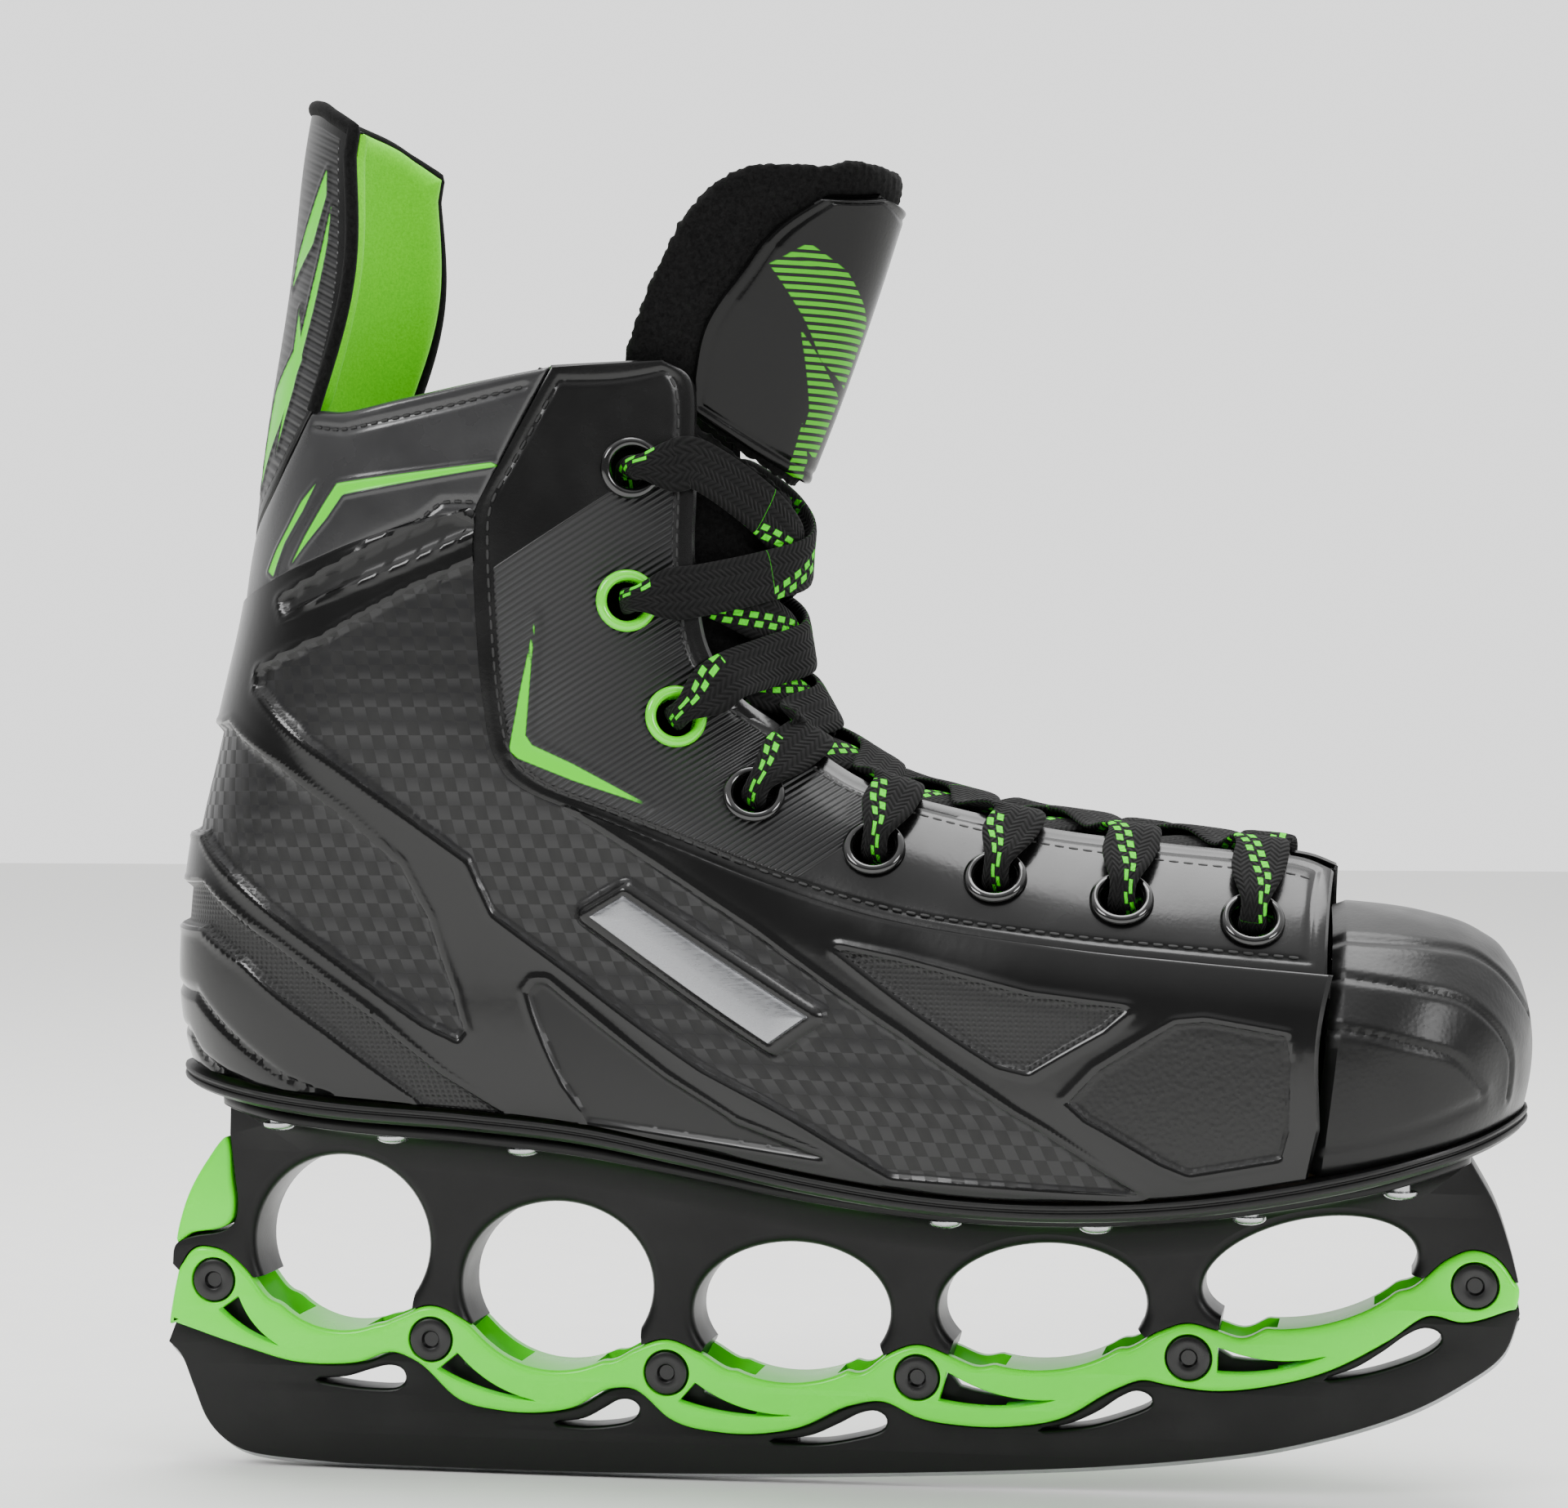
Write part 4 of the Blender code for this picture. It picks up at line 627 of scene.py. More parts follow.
@dataclass(frozen=True)
class Hatched(Finish):
    """Screen-printed patent leather: an area hatched with level lines of green ink, on black."""

    flash: str = "#3fae00"
    pitch: float = 1.55

    def pattern(self, tree: Tree, place: Socket) -> tuple[Socket, Socket, Socket]:
        """Lines at a pitch up the piece, shown inside the stored area."""
        _, _, z = stored(tree, "skin")
        line = add(tree, "MapRange", {0: wave(tree, z, self.pitch), 1: 0.36, 2: 0.46})
        ink = add(tree, "Math", {0: line, 1: masked(tree, "flash")}, operation="MULTIPLY")
        cloud = add(tree, "TexNoise", {"Vector": place, "Scale": 1 / 13.0, "Detail": 4.0})
        skin = add(tree, "TexNoise", {"Vector": place, "Scale": 1 / 0.9, "Detail": 2.0})
        colour = chosen(tree, ink, self.mottled(tree, cloud), linear(self.flash), colour=True)
        return colour, chosen(tree, ink, self.rough(tree, cloud), 0.42), self.high(tree, skin, 0.03)


@dataclass(frozen=True)
class Braid(Finish):
    """Flat-braided polyester: strands that slant towards the middle in columns, with two tracer strands in green.

    The length along the lace and the distance across it are stored at its points, and so is the distance from
    the tracers' path, which winds from edge to edge.
    """

    flash: str = "#3fe000"
    strand: float = 1.5
    column: float = 1.75
    dash: float = 3.6

    def pattern(self, tree: Tree, place: Socket) -> tuple[Socket, Socket, Socket]:
        """A zigzag across the lace shifts a sine along it, which makes the herringbone; the strands' crowns are
        painted lighter and the dips between them darker, as painted highlight and shade.
        """
        along, across, tracer = stored(tree, "skin")
        zigzag = add(tree, "Math", {0: across, 1: self.column}, operation="PINGPONG")
        shifted = add(tree, "Math", {0: zigzag, 1: 1.15, 2: along}, operation="MULTIPLY_ADD")
        strands, columns = wave(tree, shifted, self.strand), wave(tree, across, self.column)
        height = add(tree, "Math", {0: strands, 1: 0.7, 2: self.high(tree, columns, 0.3)}, operation="MULTIPLY_ADD")
        fuzz = add(tree, "TexNoise", {"Vector": place, "Scale": 1 / 0.3, "Detail": 3.0})
        marks = None
        for side in (-1, 1):
            off = add(tree, "Math", {0: tracer, 1: side * 0.95}, operation="ADD")
            near = add(tree, "MapRange", {0: add(tree, "Math", {0: off}, operation="ABSOLUTE"), 1: 0.72, 2: 0.58})
            place_on = add(tree, "Math", {0: along, 1: side * self.dash / 4}, operation="ADD")
            on = add(tree, "MapRange", {0: wave(tree, place_on, self.dash), 1: 0.36, 2: 0.46})
            mark = add(tree, "Math", {0: near, 1: on}, operation="MULTIPLY")
            marks = mark if marks is None else add(tree, "Math", {0: mark, 1: marks}, operation="MAXIMUM")
        # Painted highlight and shade: the strands' height paints their crowns lighter and the dips between them
        # darker.
        painted_strand_light = chosen(tree, height, linear("#020202"), linear("#161616"), colour=True)
        colour = chosen(tree, marks, painted_strand_light, linear(self.flash), colour=True)
        return colour, self.rough(tree, fuzz), self.high(tree, height, 0.3)


# ------------------------------------------------------------------------------------------- the boot's form
HEEL_ROUND = 36.0
ANKLE_HALF, BALL_HALF, HEEL_HALF, TOE_HALF = 37.0, 45.5, 32.0, 42.5
ANKLE_FRONT, ANKLE_DEPTH, VAMP_DEPTH = -3.0, 84.0, 42.0
WELT_SHARE, WELT_RISE = 0.9, 22.0
SHELL_LIFT, PANEL, LINING_DEPTH, LINING_THICK = 0.8, 2.0, 3.0, 4.0
SOLE_THICK = 3.6
SEAM = 0.04                     # half the gap of the seam down the heel

sole_top = hermite([(-142, 86.0), (-123, 82.4), (-99, 79.2), (-71, 77.2), (-47, 74.8), (-26, 71.2), (2.5, 66.2),
                    (27, 63.4), (51, 62.8), (75, 64.2), (101, 68.2), (118, 72.0), (136, 77.4), (143, 80.5)])
back_line = hermite([(78, -134.5), (95, -138.6), (119, -138.4), (135, -136.0), (150, -132.2), (163, -129.0),
                     (178, -125.4), (195, -122.5), (213, -120.4), (250, -114.5), (276, -111.5), (290, -109.0)])
vamp_line = hermite([(-140, 222), (-40, 172), (-20, 161.5), (0, 153.0), (19, 147.2), (36, 143.2), (65, 138.6),
                     (91, 135.2), (106, 132.6)])
low_width = hermite([(-140, HEEL_HALF), (-100, HEEL_HALF), (-70, HEEL_HALF - 1), (-40, HEEL_HALF - 1),
                     (-10, HEEL_HALF + 3.5), (20, BALL_HALF - 4.5), (50, BALL_HALF - 0.5), (75, BALL_HALF),
                     (105, BALL_HALF - 2)])
toe_line = hermite([(60, 99.7), (110, 105.3), (140, 105.6)])

# Edges of the panels in the side view, as (x, z), from the heel or the top to the toe
SHELL_HEEL = [(-126.0, 181.5), (-118.0, 184.0), (-104.0, 189.0), (-88.0, 194.6), (-72.0, 199.0), (-67.0, 199.4)]
SHELL_SIDE = [(-67.0, 192.0), (-66.4, 178.0), (-65.0, 162.0), (-62.6, 150.0), (-56.4, 143.4), (-40.0, 137.0),
              (-24.7, 131.1), (-4.8, 123.8), (19.7, 117.2), (51.9, 112.6), (75.7, 110.2), (104.4, 107.6)]
THROAT = [(-30.0, 230.0), (-24.0, 226.0), (-23.2, 215.0), (-23.3, 203.6), (-23.5, 189.7), (-21.4, 173.4),
          (-15.4, 163.2), (-7.2, 156.6), (2.4, 150.0), (11.0, 145.0), (21.2, 141.6), (46.2, 136.0),
          (67.2, 133.2), (83.0, 131.6), (97.0, 130.2), (104.2, 127.6)]
FACING_BACK = [(-51.0, 228.6), (-56.2, 219.0), (-61.4, 209.4), (-66.6, 199.8)]
GUARD_LINE = [(-122.6, 194.0), (-121.0, 195.2), (-114.0, 203.0), (-107.4, 212.0), (-102.6, 219.6)]
COLLAR_TOP = [(-101.2, 220.4), (-93.9, 219.9), (-81.9, 222.1), (-64.8, 225.7), (-51.6, 228.3)]
SOLE_LINE = [(float(back_line(86)), 86.6)]
SOLE_LINE += [(float(x), float(sole_top(x)) + 0.4) for x in np.linspace(-126, 99.6, 12)]
EYELETS = [(-36.0, 207.8), (-36.8, 181.0), (-27.2, 157.6), (-10.9, 141.8),
           (13.9, 131.2), (38.4, 125.6), (63.4, 121.4), (88.8, 117.6)]
GREEN_EYELETS = (1, 2)


def welt(x: np.ndarray, z: np.ndarray) -> np.ndarray:
    """The share of the boot's full width at a height above the sole."""
    return WELT_SHARE + (1 - WELT_SHARE) * roundoff((z - sole_top(x)) / WELT_RISE)


def half_width(x: np.ndarray, z: np.ndarray) -> np.ndarray:
    """Half the boot's outer width at a point of its side view.

    A width along the sole blends into the ankle's, and both fall off as quarter circles towards the instep,
    the heel and the welt.
    """
    high = smoothstep(100, 170, z)
    width = low_width(x) * (1 - high) + ANKLE_HALF * high
    ankle, vamp = (ANKLE_FRONT - x) / ANKLE_DEPTH, (vamp_line(x) - z) / VAMP_DEPTH
    instep = (ankle + vamp + np.sqrt((ankle - vamp) ** 2 + 0.2**2)) / 2
    return width * roundoff(instep) * roundoff((x - back_line(z)) / HEEL_ROUND) * welt(x, z)


def flattened(points: Points) -> np.ndarray:
    """Side-view points as (distance round from the middle of the heel, height)."""
    x, z = np.array(points, float).T
    depth = x - back_line(z)
    turn = np.arccos(np.clip(1 - depth / HEEL_ROUND, 0, 1))
    return np.column_stack([HEEL_ROUND * turn + np.maximum(depth - HEEL_ROUND, 0), z])


def roll(s: np.ndarray, z: np.ndarray) -> np.ndarray:
    """The x of a point that lies a distance s round the side from the middle of the heel."""
    turn = np.clip(s / HEEL_ROUND, 0, math.pi / 2)
    return back_line(z) + HEEL_ROUND * (1 - np.cos(turn)) + np.maximum(s - HEEL_ROUND * math.pi / 2, 0)


def surface(flat: np.ndarray, side: int) -> np.ndarray:
    """Points of the boot's surface from unrolled ones, on one side."""
    s, z = flat[..., 0], flat[..., 1]
    x = roll(s, z)
    return np.stack([x, side * (half_width(x, z) + GAP), z], -1)


def skin_field(flat: np.ndarray) -> np.ndarray:
    """What a patterned finish reads at each point: x, the distance round from the heel, and z."""
    return np.stack([roll(flat[..., 0], flat[..., 1]), flat[..., 0], flat[..., 1]], -1)


def shaped(flat: np.ndarray, side: int) -> tuple[np.ndarray, np.ndarray]:
    """The surface over unrolled points, both turned so that the surface faces outwards."""
    grid = surface(flat, side)
    if (normals(grid)[..., 1] * side).mean() < 0:
        return grid[:, ::-1], flat[:, ::-1]
    return grid, flat


def between(low: Points, high: Points, columns: int, rows: int) -> np.ndarray:
    """Unrolled points between two side-view curves: equal steps along both, joined by straight lines."""
    low, high = evenly(flattened(low), columns), evenly(flattened(high), columns)
    t = np.linspace(0, 1, rows)[None, :, None]
    return low[:, None] * (1 - t) + high[:, None] * t


def inset_line(low: Points, high: Points, inset: float, count: int) -> np.ndarray:
    """An unrolled line that runs a distance inside the first of two side-view curves, towards the second."""
    low, high = evenly(flattened(low), count), evenly(flattened(high), count)
    across = high - low
    return low + across * inset / np.linalg.norm(across, axis=1, keepdims=True)


def standing(flat: np.ndarray, side: int, lift: float) -> tuple[np.ndarray, np.ndarray]:
    """Points above the boot's surface and the outward normals there, for unrolled points."""
    step = 0.4
    across = surface(flat + (step, 0.0), side) - surface(flat - (step, 0.0), side)
    up = surface(flat + (0.0, step), side) - surface(flat - (0.0, step), side)
    normal = np.cross(across, up) * -side
    normal /= np.maximum(np.linalg.norm(normal, axis=-1, keepdims=True), 1e-9)
    return surface(flat, side) + normal * lift, normal


def surface_point(x: float, z: float, side: int, lift: float = 0.0) -> tuple[np.ndarray, np.ndarray]:
    """A point above the boot's side and the outward normal there."""
    step = 0.5
    dx = float(half_width(x + step, z) - half_width(x - step, z)) / (2 * step)
    dz = float(half_width(x, z + step) - half_width(x, z - step)) / (2 * step)
    normal = np.array([-dx, side, -dz])
    normal /= np.linalg.norm(normal)
    return np.array([x, side * (float(half_width(x, z)) + GAP / 2), z]) + normal * lift, normal


def whole(make: Callable[[int], np.ndarray]) -> np.ndarray:
    """A surface of one side and its mirror image as one grid across the middle of the heel."""
    lateral, medial = make(-1), make(1)
    lateral[0, :, 1] = medial[0, :, 1] = 0.0
    grid = np.concatenate([lateral[::-1], medial[1:]])
    return grid if normals(grid)[len(grid) // 2, :, 0].mean() < 0 else grid[:, ::-1]


def stitched(flat: np.ndarray, side: int, lift: float, length: float = 2.1, pitch: float = 2.9,
             width: float = 0.34) -> tuple[np.ndarray, list[np.ndarray]]:
    """A row of stitches along an unrolled line: short spindles, five rings of six points, a pitch apart.

    Args:
        flat: the line.
        side: which side of the boot.
        lift: height above the boot's surface.
        length: of one stitch.
        pitch: from one stitch to the next.
        width: radius of the thread.

    Returns:
        The points and the faces.
    """
    run = np.linalg.norm(np.diff(flat, axis=0), axis=1).sum()
    count = max(int(run / pitch), 2)
    line = evenly(flat, count + 1, smooth=False)
    ends = (line[:-1] + line[1:]) / 2
    centre, normal = standing(ends, side, lift)
    head, _ = standing(line[1:], side, lift)
    tail, _ = standing(line[:-1], side, lift)
    along = head - tail
    along /= np.linalg.norm(along, axis=1, keepdims=True)
    across = np.cross(along, normal)
    t = np.array([-1.0, -0.8, 0.0, 0.8, 1.0])
    size = np.array([0.05, 0.8, 1.0, 0.8, 0.05]) * width
    turn = np.arange(6) * math.pi / 3
    ring = (across[:, None, None] * np.cos(turn)[None, None, :, None]
            + normal[:, None, None] * np.sin(turn)[None, None, :, None]) * size[None, :, None, None]
    points = centre[:, None, None] + along[:, None, None] * (t * length / 2)[None, :, None, None] + ring
    one = grid_faces(5, 6, round_columns=True)
    faces = (one[None] + (np.arange(count) * 30)[:, None, None]).reshape(-1, 4)
    return points.reshape(-1, 3), [faces]


def area(points: Points, wraps: bool = False) -> np.ndarray:
    """A closed side-view outline as an unrolled one, carried past the middle of the heel where it wraps."""
    flat = flattened(points)
    if wraps:
        flat = np.vstack([(-15.0, flat[0, 1] - 1.0), flat, (-15.0, flat[-1, 1] + 1.0)])
    return flat


def raised_line(distance: np.ndarray, at: float, width: float, height: float) -> np.ndarray:
    """A bead, as a bell curve across a line, at a signed distance."""
    return height * np.exp(-(((distance - at) / width) ** 2))


# ------------------------------------------------------------------------------------------- upper
@dataclass
class Quarters:
    """The moulded shell's two halves: glossy ribs and frames with sunk windows, and a badge seat each side."""

    finish: bpy.types.Material
    badge_finish: bpy.types.Material
    wall: float = 2.2
    sunk: float = 0.9
    heel_sunk: float = 1.9
    columns: int = 340
    rows: int = 128
    carbon: tuple = (
        ([(-114, 167.1), (-97.5, 173.9), (-80.2, 183.2), (-63.5, 190.4), (-48.9, 196.6), (-48.7, 139.1),
          (-30.3, 127.7), (-10, 114.9), (20.2, 94.9), (43.1, 80.1), (67.4, 65.1), (18.3, 67.1), (3.4, 75.5),
          (-20.4, 87.3), (-47.8, 106.1), (-64, 117.9), (-68.9, 128.8), (-80.9, 137.4), (-101.1, 151.9),
          (-114.2, 163.7)], False),
        ([(-122, 156.4), (-108.6, 147.6), (-94.5, 137.3), (-82.9, 127.4), (-77.3, 116.6), (-72.4, 101.7),
          (-70.2, 93.9), (-71.6, 92.1), (-78.4, 95.3), (-95.4, 107.3), (-116.7, 122.9), (-128.8, 133.6)], True))
    meshes: tuple = (
        ([(-128.1, 123.4), (-109.3, 110.5), (-88.6, 95.7), (-75.2, 85), (-62.8, 77.2), (-79, 78.7),
          (-98.9, 93.6), (-116.9, 107.3), (-128, 114.1)], True),
        ([(8, 111.6), (20.2, 109.3), (46.3, 103.1), (65, 100.9), (60.6, 97.1), (46, 88.6), (40.2, 89.9),
          (23.5, 100.3)], False))
    hides: tuple = (([(54, 82.8), (59.8, 88.9), (74.7, 98.1), (80.1, 98.6), (95.6, 95.9), (96.4, 91.2),
                      (94.5, 72.6), (76.9, 69.4), (71.5, 71.7), (57.4, 79.7)], False),)
    mattes: tuple = (([(-57, 101.8), (-55.5, 103.8), (-53.3, 103.9), (-51.2, 102.2), (-41, 94.3), (-28.2, 85.1),
                       (-13.6, 76.5), (4.9, 70.2), (-45.3, 75.9), (-50, 83.7), (-54.6, 94.4)], False),
                     ([(-108.8, 181.6), (-80.2, 195.1), (-71.8, 198.6), (-65.5, 195.8), (-80.2, 189.6),
                       (-107.5, 178.6)], False))
    ribs: tuple = ([(-129.9, 100.4), (-121.5, 92.9), (-108.2, 83.6), (-99.5, 80.4)],
                   [(-133.1, 91.9), (-129.6, 87.4), (-122.7, 83.6), (-116.7, 81.4)])
    badge: tuple = ((-44.2, 117.7), (-36.4, 122.2), (2.7, 98.2), (-5.8, 92.3))

    def nearest(self, flat: np.ndarray, areas: Sequence) -> np.ndarray:
        """Signed distance to the nearest of several areas."""
        return np.min([distance_to(flat, area(points, wraps)) for points, wraps in areas], axis=0)

    def relief(self, flat: np.ndarray) -> tuple[np.ndarray, dict[str, np.ndarray]]:
        """Height over the shell's face: windows sunk by a step, a bead along their edges, and ribs as grooves.

        Args:
            flat: unrolled points.

        Returns:
            The heights, and the areas' signed distances that the finish reads.
        """
        at_heel = 1 - smoothstep(15, 62, flat[..., 0])
        depth = self.sunk + (self.heel_sunk - self.sunk) * at_heel
        fields = {"carbon": self.nearest(flat, self.carbon), "mesh": self.nearest(flat, self.meshes),
                  "hide": self.nearest(flat, self.hides), "matte": self.nearest(flat, self.mattes)}
        frame = distance_to(flat, area(self.badge))
        fields["carbon"] = np.maximum(fields["carbon"], 2.2 - frame)
        height = np.zeros(flat.shape[:2])
        for distance in fields.values():
            height -= depth * (1 - smoothstep(-0.9, 0.35, distance))
            height += raised_line(distance, 1.0, 0.6, 0.28)
        for line in self.ribs:
            rib = flattened(line)
            rib = np.vstack([(-15.0, rib[0, 1] + 3.0), rib])
            height -= 0.8 * np.exp(-((distance_to(flat, rib, closed=False) / 0.9) ** 2))
        height += 1.1 * (1 - smoothstep(0.4, 2.6, frame))
        return height, fields

    def build(self) -> None:
        """Makes both quarters and their badges."""
        top = [(-126.2, 181.4), *SHELL_HEEL[1:], *SHELL_SIDE]
        for name, side in SIDES:
            grid, flat = shaped(between(SOLE_LINE, top, self.columns, self.rows), side)
            height, fields = self.relief(flat)
            rim = edge_drop(border_distance(grid, rows=(False, True)), 0.9)
            outer = lifted(grid, SHELL_LIFT + height + rim)
            outer[0, :, 1] = side * SEAM
            points, faces = walled(outer, np.maximum(self.wall + height + rim, 0.5))
            piece(f"shell_{name}", points, [faces], self.finish, Ride(replaces=(f"quarter_{name}",), slot="shell"),
                  fields=doubled(skin=skin_field(flat), **fields))
            self.badge_plate(name, side)

    def badge_plate(self, name: str, side: int) -> None:
        """A blank brushed nameplate, softly crowned, on its seat."""
        corners = flattened(self.badge)
        t = np.linspace(0, 1, 90)[:, None, None]
        r = np.linspace(0, 1, 24)[None, :, None]
        flat = ((corners[0] * (1 - t) + corners[3] * t) * (1 - r) + (corners[1] * (1 - t) + corners[2] * t) * r)
        grid, flat = shaped(flat, side)
        inner = border_distance(grid)
        outer = lifted(grid, SHELL_LIFT + 1.5 + edge_drop(inner, 0.8) + 0.5 * roundoff(inner / 6))
        points, faces = walled(outer, 1.6)
        piece(f"badge_{name}", points, [faces], self.badge_finish, Ride(slot="blade_steel"))


@dataclass
class Facings:
    """The lace facings: ribbed patent panels with rolled edges, stitch rows, a flash and punched holes."""

    finish: bpy.types.Material
    thread: bpy.types.Material
    hole: float = 5.0
    edge: float = 1.0
    stitch_inset: float = 3.7
    ribs_from: float = 105.2
    ribs_to: float = 190.9
    rise: float = 33.7
    flash: tuple = ((-54.6, 178.2), (-55.3, 170.3), (-56.6, 153.9), (-55.3, 151.9), (-47.1, 148.1), (-31, 139.5),
                    (-47, 144.8), (-58.3, 149.3), (-59.9, 150.9), (-57.8, 162.1))

    def build(self) -> None:
        """Makes both facings and their stitches."""
        back = [(x - 0.6, z) for x, z in FACING_BACK] + [(x - 1.0, z - 1.0) for x, z in SHELL_SIDE]
        for name, side in SIDES:
            grid, flat = shaped(between(back, THROAT, 380, 56), side)
            skin = skin_field(flat)
            angle = math.radians(self.rise)
            across = skin[..., 2] * math.cos(angle) - skin[..., 0] * math.sin(angle)
            ribbed = np.maximum(self.ribs_from - across, across - self.ribs_to)
            inner = border_distance(grid)
            ribbed = np.maximum(ribbed, 5.2 - inner)
            mark = distance_to(flat, area(self.flash))
            seam = -0.35 * np.exp(-(((inner - self.stitch_inset) / 0.7) ** 2))
            height = edge_drop(inner, self.edge) + seam + raised_line(mark, 0.5, 0.5, 0.25)
            outer = lifted(grid, height)
            points, faces = walled(outer, np.maximum(PANEL + height, 0.5))
            fields = doubled(skin=skin, ribbed=ribbed, flash=mark)
            made = new_object(f"facing_panel_{name}", points, [faces], self.finish, fields)
            self.punch(made, side)
            dressed(made, Ride(replaces=(f"facing_{name}",), slot="facing_leather"))
            rows = [stitched(inset_line(a, b, self.stitch_inset, 200)[6:-4], side, -0.1)
                    for a, b in ((back, THROAT), (THROAT, back))]
            points, faces = merged(rows)
            piece(f"facing_stitches_{name}", points, faces, self.thread, Ride(slot="facing_leather"), outward=True)

    def punch(self, obj: bpy.types.Object, side: int) -> None:
        """Cuts the eyelets' holes."""
        drills = []
        for x, z in EYELETS:
            centre, normal = surface_point(x, z, side)
            profile = np.array([(0.0, 6.0), (self.hole, 6.0), (self.hole, -6.0), (0.0, -6.0)])
            drills.append(turned(profile, centre, normal, 40, closed=False))
        cut_groups(obj, (drills,), self.finish)


def cut_groups(obj: bpy.types.Object, groups: Sequence[Sequence], finish: bpy.types.Material) -> None:
    """Cuts an object with several groups of closed shapes, one Boolean for each group.

    Args:
        obj: the object that is cut.
        groups: lists of (points, faces), one list a Boolean.
        finish: the material that the cut faces take.
    """
    for group in groups:
        points, faces = merged(group)
        cut(obj, new_object("cutter", points, faces, finish, weld=True, outward=True))


def cut(obj: bpy.types.Object, cutter: bpy.types.Object, operation: str = "DIFFERENCE") -> None:
    """Applies a Boolean with a cutter, which is then removed."""
    step = obj.modifiers.new("cut", "BOOLEAN")
    step.operation, step.object, step.solver = operation, cutter, "MANIFOLD"
    bpy.context.view_layer.update()
    made = bpy.data.meshes.new_from_object(obj.evaluated_get(bpy.context.evaluated_depsgraph_get()))
    obj.modifiers.clear()
    old, name = obj.data, obj.data.name
    obj.data = made
    bpy.data.meshes.remove(old)
    made.name = name
    made.shade_smooth()
    made.set_sharp_from_angle(angle=math.radians(35))
    bpy.data.objects.remove(cutter)


@dataclass
class Collar:
    """The padded collar's two patent panels with their seams and flashes."""

    finish: bpy.types.Material
    thread: bpy.types.Material
    flashes: tuple = (
        ((-95.5, 205), (-63.5, 208.8), (-61.9, 208.1), (-73.5, 206.2), (-94.2, 202.7), (-97.9, 197.9),
         (-101.8, 193.9), (-106.3, 189), (-102.8, 194.7), (-98.9, 200.4)),
        ((-100.4, 205.2), (-103.6, 199.8), (-108.3, 193.3), (-110.4, 188.9), (-111.4, 186.6), (-112.8, 187.7),
         (-110.6, 191.8), (-107.3, 196.6), (-104.1, 201.5)))
    seams: tuple = (((-107.9, 185.4), (-97.8, 188.7), (-87, 193.5), (-78.5, 197), (-73.5, 200.8), (-66.8, 200.8)),
                    ((-101.3, 216.9), (-94.3, 216), (-83.6, 217.9), (-70.2, 220.8), (-57, 224.1)))

    def build(self) -> None:
        """Makes both panels and their stitches."""
        low = [(-125.8, 180.4), *[(x, z - 1.4) for x, z in SHELL_HEEL[1:]]]
        for name, side in SIDES:
            grid, flat = shaped(between(low, [*GUARD_LINE, *COLLAR_TOP], 190, 80), side)
            inner = border_distance(grid, rows=(False, True))
            mark = np.min([distance_to(flat, area(points)) for points in self.flashes], axis=0)
            height = edge_drop(inner, 1.3) + 0.5 * roundoff(inner / 9) + raised_line(mark, 0.4, 0.5, 0.2)
            for seam in self.seams:
                line = distance_to(flat, flattened(seam), closed=False)
                height -= 0.45 * np.exp(-((line / 0.9) ** 2))
            outer = lifted(grid, height)
            outer[0, :, 1] = side * SEAM
            points, faces = walled(outer, np.maximum(PANEL + height, 0.6))
            fields = doubled(skin=skin_field(flat), ribbed=np.full(mark.shape, 5.0), flash=mark)
            made = new_object(f"collar_pad_{name}", points, [faces], self.finish, fields)
            dressed(made, Ride(replaces=(f"collar_{name}",), slot="collar_leather"))
            rows = [stitched(evenly(flattened(seam), 60), side, 0.12, length=1.6, pitch=2.2) for seam in self.seams]
            points, faces = merged(rows)
            piece(f"collar_stitches_{name}", points, faces, self.thread, Ride(slot="collar_leather"), outward=True)


